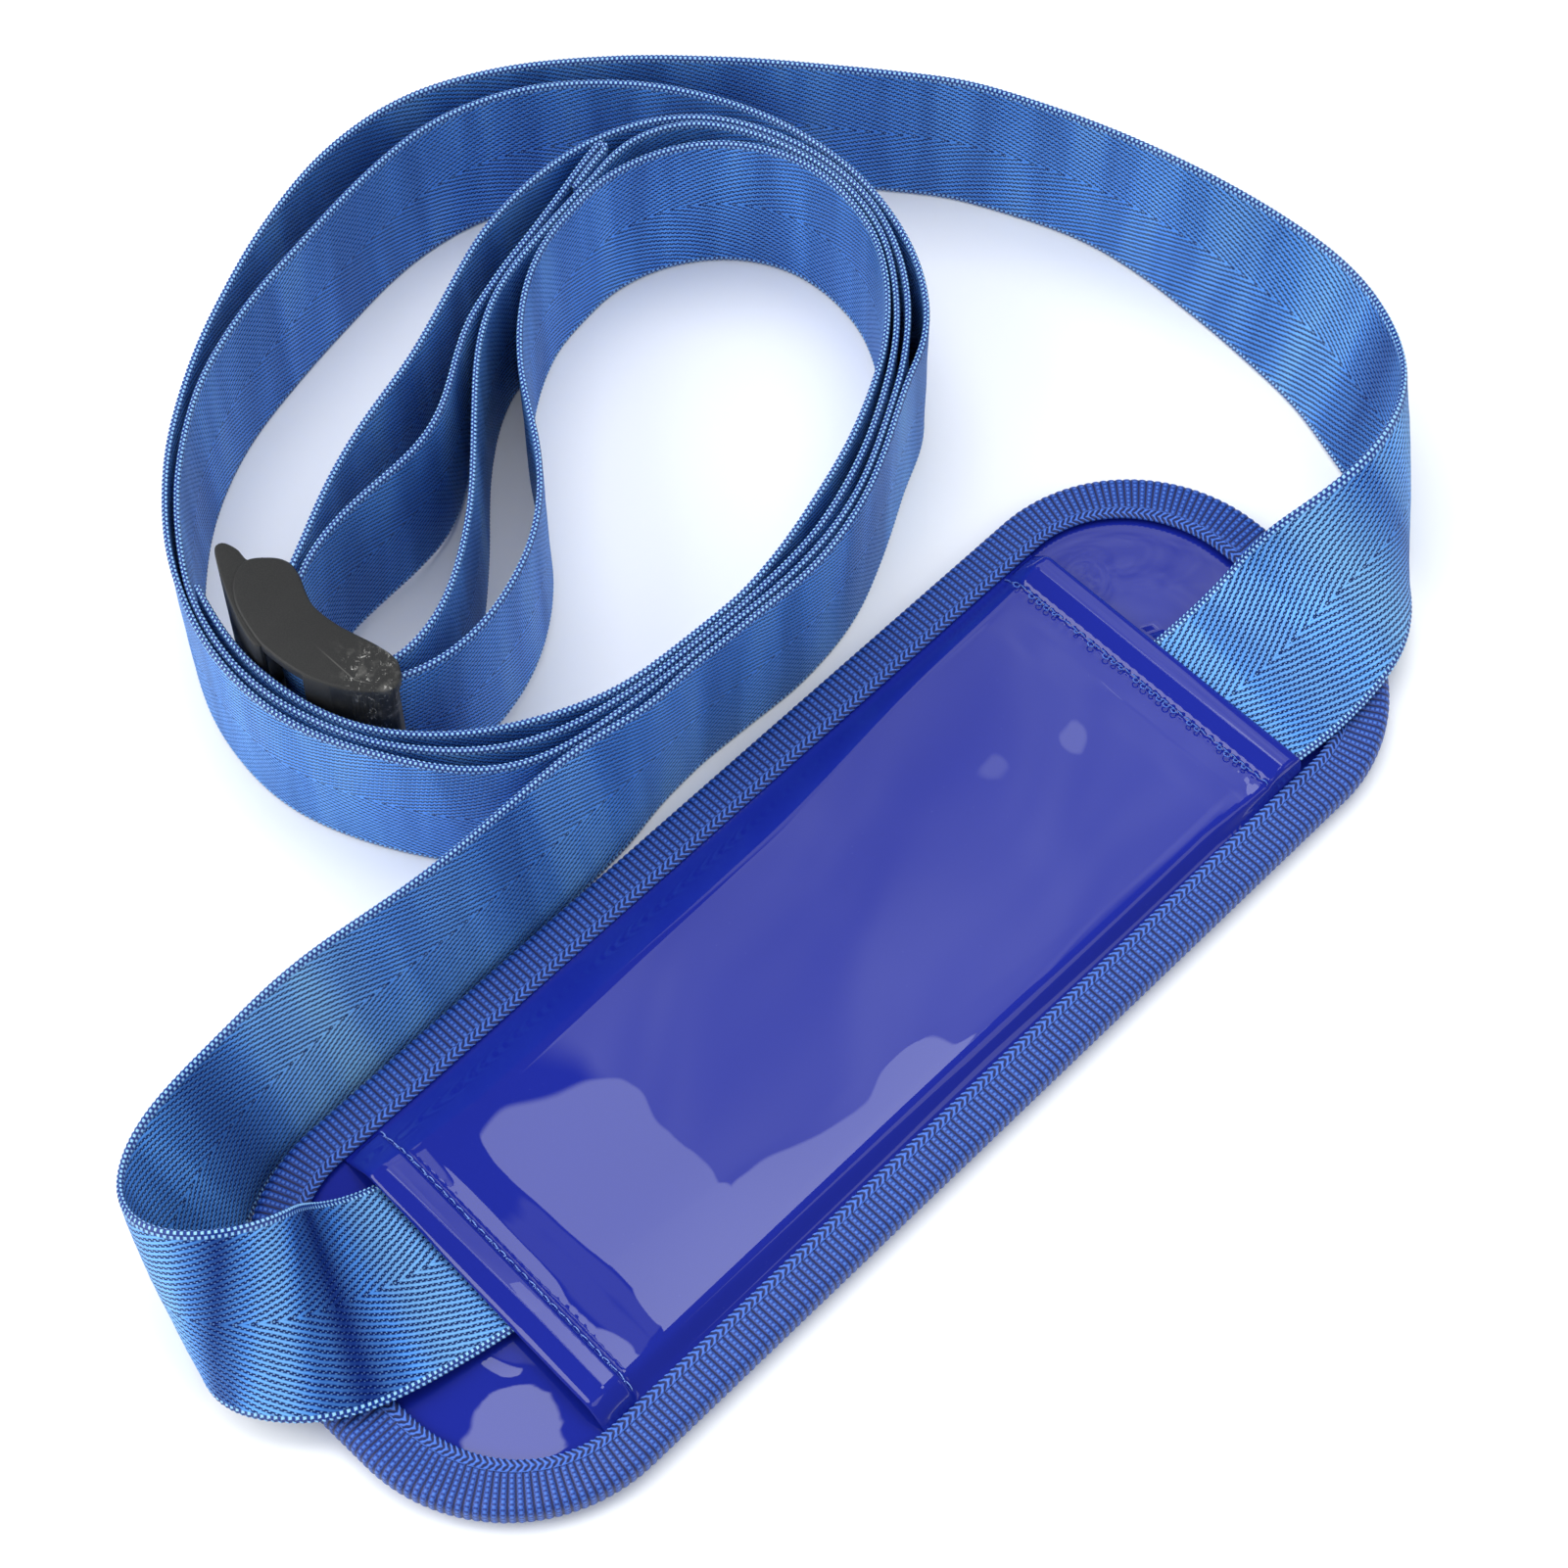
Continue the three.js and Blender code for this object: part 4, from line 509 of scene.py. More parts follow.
# ---------------------------------------------------------------------------------------
# webbing strap
# ---------------------------------------------------------------------------------------
# Both edges of the webbing's middle surface at stations along its whole length, in
# hundredths of a millimetre. Entries are parted by commas and take one of three forms:
#   x y                  upright, its lower edge at height 0
#   x y lift             upright, its lower edge at height lift
#   x y z  x y z         any other pose: upper edge, then lower edge
STATIONS = """
9951 19450, 10142 19506, 10332 19559, 10520 19611,
10705 19659, 10887 19702, 11072 19743, 11277 19785,
11388 19808, 11438 19833, 11469 19879, 11472 19935,
11447 19985, 11400 20015, 11345 20018, 11122 19973,
10930 19933, 10745 19890, 10558 19843, 10368 19793,
10178 19740, 9986 19684, 9795 19628, 9603 19572,
9411 19516, 9219 19461, 9026 19407, 8834 19354,
8641 19303, 8447 19252, 8253 19203, 8059 19156,
7864 19111, 7669 19066, 7474 19022, 7279 18977,
7084 18930, 6891 18880, 6698 18826 1, 6506 18770 1,
6315 18710 3, 6125 18648 5, 5935 18584 8, 5746 18519 12,
5559 18450 17, 5373 18378 22, 5189 18301 29, 5007 18219 36,
4829 18131 44, 4653 18038 53, 4480 17939 62, 4310 17835 72,
4143 17727 82, 3977 17615 93, 3814 17501 104, 3652 17385 116,
3490 17269 128, 3327 17152 140, 3164 17038 153, 3000 16926 165,
2833 16817 178, 2663 16713 191, 2491 16614 205, 2315 16522 218,
2135 16438 231, 1952 16362 244, 1766 16294 257, 1577 16235 270,
1385 16184 282, 1191 16140 294, 996 16102 306, 800 16070 318,
602 16044 329, 404 16021 340, 205 16002 350, 6 15986 360,
-193 15971 369, -392 15957 378, -591 15943 385, -791 15929 393,
-990 15914 399, -1189 15896 404, -1387 15875 409, -1585 15851 413,
-1783 15821 416, -1979 15787 418, -2174 15746 419, -2367 15698 419,
-2558 15643 420, -2747 15579 420, -2932 15508 420, -3115 15430 420,
-3295 15345 420, -3473 15255 420, -3649 15161 420, -3822 15062 420,
-3992 14959 420, -4159 14852 420, -4319 14738 420, -4470 14616 420,
-4607 14482 420, -4727 14337 420, -4824 14178 420, -4896 14007 420,
-4940 13828 420, -4958 13642 420, -4951 13454 420, -4920 13266 420,
-4867 13082 420, -4796 12903 420, -4707 12730 420, -4604 12566 420,
-4485 12413 420, -4354 12271 420, -4210 12144 420, -4053 12035 420,
-3886 11945 420, -3708 11876 420, -3523 11829 420, -3333 11803 420,
-3139 11795 420, -2943 11803 420, -2748 11824 419, -2553 11858 418,
-2360 11901 416, -2169 11954 414, -1979 12014 410, -1793 12083 406,
-1608 12158 401, -1427 12240 395, -1248 12327 388, -1072 12421 381,
-899 12519 372, -728 12621 363, -559 12728 354, -393 12839 344,
-229 12952 333, -68 13069 322, 92 13188 311, 250 13310 299,
406 13434 287, 561 13561 274, 713 13689 262, 865 13819 249,
1014 13951 236, 1162 14085 223, 1309 14220 210, 1454 14357 196,
1598 14495 183, 1741 14634 170, 1882 14775 157, 2023 14917 145,
2163 15059 132, 2302 15202 120, 2440 15346 108, 2578 15491 97,
2716 15635 86, 2853 15780 75, 2991 15925 65, 3130 16069 56,
3268 16212 47, 3408 16355 39, 3549 16497 31, 3691 16638 25,
3834 16777 19, 3979 16914 14, 4126 17049 9, 4275 17182 6,
4427 17313 3, 4580 17440 2, 4736 17565 1, 4895 17686,
5057 17802, 5222 17915, 5390 18022, 5561 18124,
5735 18220, 5913 18309, 6094 18391, 6278 18465,
6465 18532, 6655 18592, 6846 18646, 7039 18698,
7232 18746, 7426 18792, 7621 18836, 7816 18877,
8011 18917, 8207 18956, 8403 18995, 8599 19033,
8795 19071, 8992 19107, 9190 19141, 9388 19173,
9586 19202, 9784 19229, 9982 19254, 10181 19278,
10378 19305, 10575 19337, 10770 19372, 10966 19408,
11162 19442, 11358 19469, 11554 19487, 11751 19493,
11947 19484, 12142 19462, 12335 19424, 12524 19373,
12710 19308, 12891 19231, 13067 19142, 13236 19041,
13398 18930, 13552 18808, 13697 18675, 13832 18533,
13958 18382, 14075 18223, 14183 18059, 14284 17889,
14377 17714, 14462 17536, 14542 17354, 14615 17169,
14682 16982, 14743 16792, 14799 16601, 14849 16408,
14893 16214, 14931 16019, 14964 15823, 14991 15626,
15013 15428, 15027 15230, 15035 15031, 15036 14832,
15028 14634, 15014 14435, 14992 14237, 14963 14040,
14926 13844, 14883 13649, 14833 13456, 14776 13265,
14711 13076, 14638 12889, 14558 12706, 14470 12526,
14376 12349, 14276 12176, 14170 12006, 14059 11840,
13944 11676, 13823 11517, 13699 11360, 13571 11207,
13439 11057, 13304 10909, 13166 10765, 13025 10623,
12881 10485, 12734 10350, 12585 10218, 12432 10089,
12277 9963, 12119 9841, 11959 9721, 11796 9605,
11632 9491, 11466 9381, 11298 9272, 11128 9167,
10957 9064, 10784 8963, 10611 8864, 10436 8767,
10260 8673, 10082 8580, 9904 8489, 9725 8400,
9546 8313, 9365 8227, 9183 8144, 9000 8063,
8816 7985, 8632 7909, 8446 7835, 8259 7765,
8071 7697, 7882 7633, 7691 7571, 7500 7513,
7308 7459, 7115 7409, 6921 7362, 6725 7319,
6530 7280, 6333 7245, 6136 7213, 5938 7185,
5740 7161, 5541 7140, 5342 7122, 5143 7106,
4943 7094, 4743 7084, 4544 7075, 4344 7069,
4144 7063, 3944 7059, 3744 7056, 3544 7056,
3344 7059, 3144 7064, 2944 7071, 2744 7078,
2544 7086, 2344 7093, 2144 7100, 1944 7107,
1744 7114, 1544 7122, 1344 7130, 1144 7140,
945 7152, 745 7169, 546 7189, 347 7213,
149 7239, -49 7265, -247 7293, -445 7322,
-643 7353, -839 7389, -1035 7428, -1230 7471 5000 -1229 7471 0,
-1423 7520, -1615 7574 5000 -1614 7575 0,
-1805 7634 5000 -1804 7635 0, -1993 7699 5000 -1990 7702 0,
-2179 7771 5000 -2174 7776 0, -2362 7850 5000 -2354 7857 0,
-2542 7934 5000 -2531 7945 0, -2719 8026 5000 -2704 8040 0,
-2892 8124 5000 -2872 8141 0, -3062 8228 5000 -3037 8249 0,
-3228 8338 5000 -3199 8363 0, -3390 8454 5000 -3356 8483 0,
-3548 8575 5000 -3510 8607 0, -3702 8702 5000 -3659 8737 0,
-3852 8833 5000 -3805 8871 0, -3998 8969 5000 -3946 9010 0,
-4139 9110 4999 -4083 9153 0, -4277 9254 4999 -4216 9299 0,
-4410 9402 4999 -4346 9449 0, -4539 9554 4999 -4472 9603 0,
-4664 9710 4999 -4594 9759 0, -4784 9869 4999 -4713 9918 0,
-4900 10031 4999 -4828 10079 0, -5012 10197 4999 -4939 10243 0,
-5119 10365 4999 -5046 10410 0, -5222 10536 4999 -5150 10579 0,
-5320 10710 4999 -5249 10750 0, -5413 10886 4999 -5344 10924 0,
-5502 11065 4999 -5435 11100 0, -5586 11246 4999 -5522 11278 0,
-5665 11429 5000 -5603 11458 0, -5739 11614 5000 -5681 11641 0,
-5808 11801 5000 -5754 11825 0, -5872 11990 5000 -5822 12011 0,
-5930 12181 5000 -5886 12198 0, -5984 12373 5000 -5945 12388 0,
-6033 12567 5000 -5999 12579 0, -6076 12761 5000 -6048 12771 0,
-6113 12957 5000 -6091 12964 0, -6146 13154 5000 -6129 13159 0,
-6173 13352 5000 -6160 13355 0, -6194 13550 5000 -6186 13552 0,
-6210 13749 5000 -6204 13750 0, -6220 13948 5000 -6217 13949 0,
-6224 14147 5000 -6222 14148 0, -6223 14347 5000 -6222 14347 0,
-6215 14546, -6202 14745 5000 -6201 14745 0,
-6182 14943, -6155 15141, -6123 15337, -6084 15532,
-6039 15726, -5989 15919, -5934 16111, -5873 16301,
-5808 16489, -5739 16676, -5665 16861, -5586 17044,
-5501 17225, -5410 17402, -5313 17577, -5212 17749,
-5107 17919, -4998 18087, -4887 18253, -4773 18416,
-4655 18578, -4535 18738, -4412 18895, -4287 19051,
-4159 19204, -4028 19356, -3895 19505, -3760 19652,
-3622 19796, -3482 19939, -3339 20079, -3194 20216,
-3047 20351, -2897 20484, -2746 20613, -2591 20741,
-2435 20865, -2276 20986, -2115 21105, -1952 21220,
-1787 21332, -1619 21441, -1450 21546, -1278 21648,
-1104 21746, -928 21840, -750 21931, -571 22018,
-389 22101, -206 22181, -21 22257, 165 22330,
352 22399, 541 22466, 730 22529, 921 22589,
1112 22647, 1304 22702, 1497 22755, 1690 22805,
1884 22854, 2079 22901, 2274 22946, 2469 22989,
2664 23031, 2860 23072, 3056 23112, 3252 23152,
3448 23190, 3645 23228, 3841 23265, 4038 23303,
4234 23339, 4431 23376, 4628 23412, 4824 23447,
5021 23482, 5218 23516, 5416 23549, 5613 23580,
5811 23611, 6009 23639, 6207 23665, 6405 23689,
6604 23711, 6803 23730, 7002 23746, 7202 23758,
7401 23767, 7601 23772, 7800 23773, 8000 23770,
8199 23761, 8398 23748, 8597 23729, 8795 23705,
8992 23674, 9188 23638, 9383 23595, 9576 23547,
9768 23492, 9957 23431, 10145 23364, 10331 23292,
10515 23214, 10696 23131, 10874 23042, 11050 22949,
11224 22850, 11395 22747, 11562 22639, 11727 22527,
11889 22410, 12048 22290, 12204 22165, 12357 22037,
12507 21905, 12654 21769, 12797 21630, 12937 21488,
13074 21343, 13207 21194, 13338 21043, 13465 20889,
13588 20732, 13708 20572, 13825 20410, 13938 20246,
14047 20079, 14154 19910, 14256 19738, 14355 19565,
14450 19389, 14541 19212, 14629 19032, 14713 18851,
14793 18668, 14869 18484, 14941 18297, 15009 18110,
15073 17920, 15133 17730, 15188 17538, 15240 17345,
15286 17151, 15329 16956, 15366 16760, 15400 16563,
15428 16366, 15452 16167, 15471 15969, 15486 15770,
15495 15570, 15500 15371, 15501 15171, 15496 14972,
15487 14772, 15473 14573, 15453 14374, 15430 14176,
15401 13979, 15367 13782, 15329 13586, 15286 13391,
15238 13198, 15185 13005, 15127 12814, 15065 12625,
14998 12437, 14926 12251, 14849 12066, 14768 11884,
14682 11704, 14591 11526, 14496 11351, 14397 11178,
14292 11008, 14183 10841, 14070 10677, 13951 10517,
13827 10361, 13697 10210, 13562 10065, 13421 9925,
13273 9793, 13119 9667, 12960 9550, 12794 9441,
12623 9340, 12448 9246, 12270 9157, 12089 9072,
11908 8988, 11727 8904, 11548 8817, 11370 8727,
11194 8634, 11018 8539, 10843 8443, 10668 8347,
10492 8251, 10317 8155, 10141 8059, 9965 7964,
9788 7871, 9611 7778, 9433 7688, 9253 7600,
9073 7513, 8892 7428, 8710 7346, 8527 7267,
8342 7191, 8155 7120, 7967 7053, 7778 6990,
7587 6932, 7394 6879, 7201 6830, 7006 6785,
6811 6745, 6614 6708, 6417 6676, 6220 6648,
6021 6623, 5823 6603, 5624 6586, 5425 6574,
5225 6567, 5025 6564 5000 5026 6565 0,
4825 6565 5000 4827 6567 0, 4625 6570 5000 4628 6572 0,
4425 6577 5000 4428 6581 0, 4224 6585 5000 4229 6591 0,
4024 6595 5000 4030 6602 0, 3823 6604 5000 3831 6613 0,
3623 6612 5000 3632 6623 0, 3422 6619 5000 3432 6632 0,
3221 6625 5000 3233 6640 0, 3021 6631 5000 3033 6648 0,
2821 6638 4999 2834 6656 0, 2621 6644 4999 2634 6664 0,
2422 6651 4999 2435 6672 0, 2222 6658 4999 2235 6680 0,
2023 6663 4999 2035 6686 0, 1824 6666 5000 1835 6689 0,
1626 6667 5000 1635 6688 0, 1427 6664 5000 1435 6682 0,
1227 6660 5000 1235 6672 0, 1028 6655 5000 1036 6659 0,
827 6650 5001 837 6643 1, 625 6648 5002 640 6625 2,
421 6650 5004 444 6604 4, 217 6656 5008 249 6579 7,
10 6668 5013 56 6549 13, -198 6687 5019 -135 6514 21,
-407 6712 5027 -325 6474 32, -617 6743 5035 -513 6432 46,
-827 6778 5042 -702 6389 60, -1035 6814 5048 -892 6349 74,
-1242 6849 5052 -1085 6313 86, -1447 6883 5054 -1279 6281 95,
-1649 6915 5053 -1476 6256 102, -1849 6944 5051 -1675 6235 106,
-2048 6970 5046 -1876 6216 108, -2245 6992 5041 -2078 6197 109,
-2441 7012 5035 -2280 6177 108, -2637 7028 5028 -2483 6157 107,
-2832 7040 5021 -2685 6137 105, -3028 7050 5014 -2888 6119 103,
-3224 7057 5008 -3090 6104 101, -3421 7062 5003 -3292 6092 99,
-3618 7064 5000 -3494 6083 98, -3816 7065 4997 -3696 6078 96,
-4014 7065 4995 -3897 6075 95, -4212 7064 4994 -4099 6073 94,
-4411 7063 4993 -4300 6072 93, -4610 7062 4993 -4501 6072 93,
-4810 7061 4993 -4702 6072 93, -5009 7061 4993 -4902 6071 93,
-5209 7062 4993 -5103 6071 93, -5408 7064 4992 -5303 6071 93,
-5608 7067 4992 -5504 6070 93, -5808 7071 4991 -5704 6070 94,
-6008 7077 4990 -5903 6069 94, -6209 7085 4989 -6103 6069 95,
-6409 7095 4987 -6303 6069 95, -6609 7106 4985 -6502 6068 95,
-6810 7118 4983 -6701 6068 96, -7010 7133 4979 -6901 6067 96,
-7211 7149 4975 -7099 6066 95, -7411 7166 4971 -7298 6066 95,
-7611 7186 4965 -7497 6066 94, -7812 7207 4959 -7695 6065 93,
-8012 7230 4952 -7893 6065 91, -8212 7256 4944 -8091 6065 90,
-8411 7283 4935 -8289 6065 88, -8611 7312 4926 -8486 6066 85,
-8810 7342 4915 -8683 6066 83, -9010 7374 4904 -8880 6067 80,
-9210 7406 4892 -9076 6068 76, -9409 7437 4880 -9272 6069 73,
-9609 7467 4867 -9468 6070 69, -9810 7495 4855 -9664 6072 65,
-10011 7520 4844 -9859 6073 60, -10213 7541 4833 -10055 6074 56,
-10415 7558 4823 -10250 6076 50, -10619 7569 4814 -10445 6078 45,
-10822 7577 4806 -10640 6079 40, -11027 7580 4800 -10835 6080 34,
-11232 7579 4795 -11030 6081 28, -11438 7574 4791 -11225 6082 23,
-11644 7565 4788 -11419 6083 18, -11850 7554 4787 -11613 6085 13,
-12057 7540 4787 -11807 6086 9, -12264 7525 4786 -12000 6086 6,
-12471 7510 4786 -12193 6083 3, -12678 7494 4785 -12380 6077 0,
-12886 7479 4783 -12560 6068 0, -13094 7463 4780 -12742 6053 0,
-13301 7449 4775 -12924 6033 0, -13509 7435 4768 -13107 6007 0,
-13717 7421 4759 -13290 5973 0, -13925 7407 4748 -13472 5933 0,
-14133 7392 4735 -13653 5885 0, -14341 7377 4719 -13834 5831 0,
-14548 7360 4702 -14013 5770 0, -14755 7340 4682 -14190 5702 0,
-14961 7317 4661 -14366 5628 0, -15167 7290 4639 -14539 5549 0,
-15370 7258 4616 -14709 5464 0, -15572 7219 4594 -14877 5374 1,
-15770 7171 4572 -15041 5279 3, -15965 7115 4553 -15203 5180 7,
-16156 7048 4537 -15362 5078 11, -16341 6969 4526 -15520 4975 16,
-16519 6878 4522 -15679 4872 22, -16689 6773 4526 -15840 4770 28,
-16849 6653 4540 -16005 4669 36, -16997 6518 4565 -16177 4571 45,
-17129 6369 4600 -16357 4473 55, -17244 6206 4642 -16546 4372 68,
-17337 6032 4691 -16742 4262 84, -17409 5848 4742 -16945 4142 103,
-17455 5658 4794 -17150 4010 127, -17476 5463 4844 -17353 3866 154,
-17470 5266 4892 -17547 3711 188, -17437 5068 4935 -17727 3548 226,
-17378 4873 4972 -17888 3379 271, -17294 4682 5002 -18026 3203 322,
-17187 4498 5023 -18139 3020 378, -17058 4321 5035 -18226 2828 439,
-16911 4154 5037 -18287 2626 504, -16748 3999 5026 -18322 2415 572,
-16573 3858 5002 -18331 2197 641, -16388 3731 4964 -18315 1973 710,
-16197 3621 4912 -18271 1745 776, -16003 3529 4847 -18202 1517 839,
-15808 3457 4766 -18107 1291 896, -15615 3406 4668 -17991 1068 947,
-15428 3375 4554 -17854 852 990, -15248 3363 4421 -17701 642 1025,
-15078 3370 4270 -17532 443 1052, -14919 3395 4102 -17350 255 1071,
-14774 3433 3919 -17155 81 1083, -14641 3483 3723 -16950 -78 1088,
-14521 3537 3521 -16736 -222 1089, -14413 3590 3322 -16517 -352 1085,
-14312 3639 3120 -16292 -468 1079, -14211 3688 2905 -16065 -572 1070,
-14108 3731 2686 -15837 -665 1061, -14007 3772 2467 -15610 -748 1051,
-13897 3791 2267 -15384 -822 1041, -13779 3800 2077 -15161 -890 1031,
-13653 3799 1900 -14941 -951 1021, -13517 3790 1737 -14723 -1008 1012,
-13372 3773 1589 -14509 -1061 1003, -13218 3750 1458 -14296 -1110 995,
-13058 3723 1342 -14085 -1157 987, -12892 3694 1243 -13874 -1202 978,
-12722 3662 1158 -13663 -1245 970, -12551 3630 1087 -13450 -1287 961,
-12377 3597 1028 -13237 -1328 952, -12203 3565 980 -13022 -1367 941,
-12027 3534 941 -12807 -1405 929, -11851 3504 910 -12591 -1441 915,
-11673 3474 886 -12376 -1476 902, -11492 3446 869 -12163 -1509 890,
-11307 3419 858 -11954 -1539 880, -11117 3392 852 -11747 -1568 873,
-10924 3367 848 -11544 -1595 869, -10728 3342 847 -11344 -1620 866,
-10531 3317 847 -11144 -1645 865, -10332 3292 848 -10946 -1670 864,
-10133 3268 848 -10748 -1694 865, -9934 3243 849 -10549 -1719 865,
-9735 3219 849 -10351 -1743 865, -9537 3195 849 -10153 -1767 866,
-9338 3170 849 -9955 -1792 866, -9139 3146 849 -9757 -1816 866,
-8940 3121 849 -9558 -1841 866, -8742 3097 849 -9360 -1865 866,
-8543 3072 849 -9162 -1889 866, -8344 3048 849 -8963 -1914 866,
-8146 3023 849 -8765 -1938 866, -7947 2999 849 -8567 -1963 866,
-7749 2974 849 -8368 -1987 866, -7550 2949 849 -8170 -2012 866,
-7352 2925 849 -7971 -2036 866, -7153 2900 849 -7773 -2061 866,
-6955 2876 849 -7574 -2086 866, -6756 2851 849 -7376 -2110 866,
-6558 2827 849 -7177 -2135 866, -6359 2802 849 -6979 -2159 866,
-6161 2778 849 -6780 -2184 866, -5962 2753 849 -6582 -2208 866,
-5764 2729 849 -6383 -2233 866, -5566 2704 849 -6185 -2258 866,
-5367 2679 849 -5986 -2282 866, -5169 2655 849 -5787 -2307 866,
-4970 2630 849 -5589 -2331 866, -4772 2606 849 -5390 -2356 866,
-4574 2581 849 -5192 -2381 866, -4375 2556 849 -4993 -2405 866,
-4177 2532 849 -4794 -2430 866, -3979 2507 849 -4596 -2454 866,
-3780 2483 849 -4397 -2479 866, -3582 2458 849 -4198 -2504 866,
-3384 2433 849 -4000 -2528 866, -3186 2409 849 -3801 -2553 866,
-2987 2384 849 -3602 -2578 866, -2789 2360 849 -3404 -2602 866,
-2591 2335 849 -3205 -2627 866, -2393 2310 849 -3006 -2652 866,
-2194 2286 849 -2808 -2676 866, -1996 2261 849 -2609 -2701 866,
-1798 2237 849 -2410 -2726 866, -1600 2212 849 -2211 -2750 866,
-1401 2187 849 -2013 -2775 866, -1203 2163 849 -1814 -2800 866,
-1005 2138 849 -1615 -2825 866, -807 2113 849 -1417 -2849 866,
-608 2089 849 -1218 -2874 866, -410 2064 849 -1019 -2899 866,
-212 2039 849 -820 -2923 866, -14 2015 849 -622 -2948 866,
185 1990 849 -423 -2973 866, 383 1966 849 -224 -2997 866,
581 1941 849 -26 -3022 866, 779 1916 849 173 -3047 866,
978 1892 849 372 -3072 866, 1176 1867 849 570 -3096 866,
1374 1842 849 769 -3121 866, 1572 1818 849 968 -3146 866,
1771 1793 849 1166 -3170 866, 1969 1768 849 1365 -3195 866,
2167 1744 849 1564 -3220 866, 2366 1719 849 1762 -3245 866,
2564 1694 849 1961 -3269 866, 2762 1669 849 2159 -3294 866,
2961 1645 849 2358 -3319 866, 3159 1620 849 2557 -3343 866,
3357 1595 849 2755 -3368 866, 3556 1571 849 2954 -3393 866,
3754 1546 849 3152 -3418 866, 3952 1521 849 3351 -3442 866,
4151 1497 849 3549 -3467 866, 4349 1472 849 3748 -3492 866,
4548 1447 849 3946 -3516 866, 4746 1423 849 4145 -3541 866,
4945 1398 849 4343 -3566 866, 5143 1373 849 4542 -3590 866,
5342 1349 849 4740 -3615 866, 5540 1324 849 4939 -3640 866,
5739 1299 849 5137 -3664 866, 5937 1274 849 5336 -3689 866,
6136 1250 849 5534 -3714 866, 6334 1225 849 5732 -3738 866,
6533 1200 849 5931 -3763 866, 6732 1176 849 6129 -3788 866,
6930 1151 849 6327 -3812 866, 7129 1126 849 6525 -3837 866,
7328 1102 849 6724 -3862 866, 7526 1077 849 6922 -3886 866,
7725 1052 849 7120 -3911 866, 7924 1027 849 7318 -3936 866,
8123 1003 849 7517 -3960 866, 8322 978 849 7715 -3985 866,
8520 953 849 7913 -4010 866, 8719 929 849 8111 -4034 866,
8918 904 849 8309 -4059 866, 9117 879 849 8507 -4083 866,
9316 855 849 8705 -4108 866, 9515 830 849 8903 -4133 866,
9714 805 849 9101 -4157 866, 9913 780 849 9299 -4182 865,
10112 756 849 9496 -4206 865, 10311 731 850 9694 -4231 865,
10511 706 850 9892 -4255 864, 10710 682 851 10090 -4280 864,
10908 657 852 10289 -4305 865, 11106 632 855 10488 -4329 868,
11302 608 860 10688 -4354 873, 11496 584 870 10890 -4379 881,
11689 560 885 11092 -4404 892, 11880 537 908 11296 -4429 906,
12070 514 937 11501 -4454 920, 12259 492 972 11706 -4477 932,
12449 470 1012 11911 -4500 941, 12639 449 1056 12116 -4522 947,
12829 428 1106 12320 -4543 951, 13018 408 1158 12525 -4564 952,
13207 387 1214 12729 -4583 952, 13395 367 1275 12933 -4600 952,
13582 346 1342 13136 -4615 952, 13766 325 1416 13338 -4626 953,
13947 305 1499 13538 -4634 955, 14123 283 1593 13738 -4638 958,
14294 261 1698 13938 -4638 961, 14459 238 1817 14140 -4634 965,
14616 212 1949 14345 -4626 969, 14765 182 2096 14553 -4615 972,
14905 147 2256 14765 -4599 973, 15036 106 2429 14982 -4578 972,
15159 57 2614 15203 -4550 968, 15276 -1 2807 15429 -4515 959,
15389 -69 3006 15660 -4471 945, 15502 -146 3207 15894 -4416 924,
15619 -233 3408 16129 -4351 897, 15741 -326 3603 16364 -4273 863,
15871 -424 3794 16596 -4181 825, 16008 -525 3980 16822 -4075 782,
16154 -626 4161 17041 -3957 736, 16311 -721 4329 17252 -3827 689,
16483 -807 4478 17454 -3688 641, 16671 -880 4606 17648 -3541 592,
16871 -939 4712 17831 -3387 544, 17083 -984 4797 18006 -3227 497,
17304 -1014 4863 18171 -3062 451, 17531 -1031 4913 18329 -2893 407,
17762 -1035 4950 18479 -2721 365, 17994 -1028 4976 18622 -2546 325,
18226 -1011 4996 18758 -2369 288, 18454 -984 5009 18886 -2189 253,
18680 -948 5019 19008 -2006 222, 18900 -903 5025 19122 -1819 194,
19116 -850 5028 19228 -1630 169, 19325 -787 5030 19329 -1438 147,
19527 -716 5029 19419 -1240 129, 19724 -636 5026 19507 -1044 113,
19913 -548 5022 19590 -847 101, 20096 -451 5016 19669 -650 92,
20271 -345 5009 19744 -452 85, 20438 -231 5001 19815 -254 80,
20597 -107 4993 19886 -59 77, 20749 25 4982 19952 137 74,
20893 166 4971 20018 330 71, 21030 315 4958 20083 521 68,
21160 470 4944 20148 710 64, 21285 631 4929 20213 897 60,
21403 797 4914 20278 1083 56, 21516 968 4899 20342 1269 51,
21623 1143 4884 20407 1453 46, 21724 1321 4870 20472 1637 41,
21818 1503 4858 20536 1821 36, 21905 1689 4846 20599 2006 31,
21986 1877 4837 20661 2190 26, 22064 2067 4827 20720 2375 21,
22130 2261 4821 20777 2561 17, 22188 2458 4816 20831 2748 13,
22238 2657 4813 20880 2936 9, 22282 2857 4811 20926 3124 6,
22318 3059 4811 20967 3314 4, 22347 3262 4812 21004 3505 2,
22370 3466 4814 21037 3697 1, 22387 3671 4817 21065 3889 0,
22399 3876 4822 21091 4082 0, 22405 4081 4827 21114 4276 0,
22406 4286 4832 21135 4469 0, 22404 4492 4839 21155 4664 0,
22397 4697 4846 21173 4858 1, 22387 4902 4854 21191 5053 1,
22374 5107 4862 21209 5248 2, 22357 5312 4870 21226 5443 2,
22338 5517 4879 21243 5638 2, 22315 5721 4888 21259 5833 2,
22290 5925 4896 21274 6029 2, 22263 6129 4905 21288 6224 2,
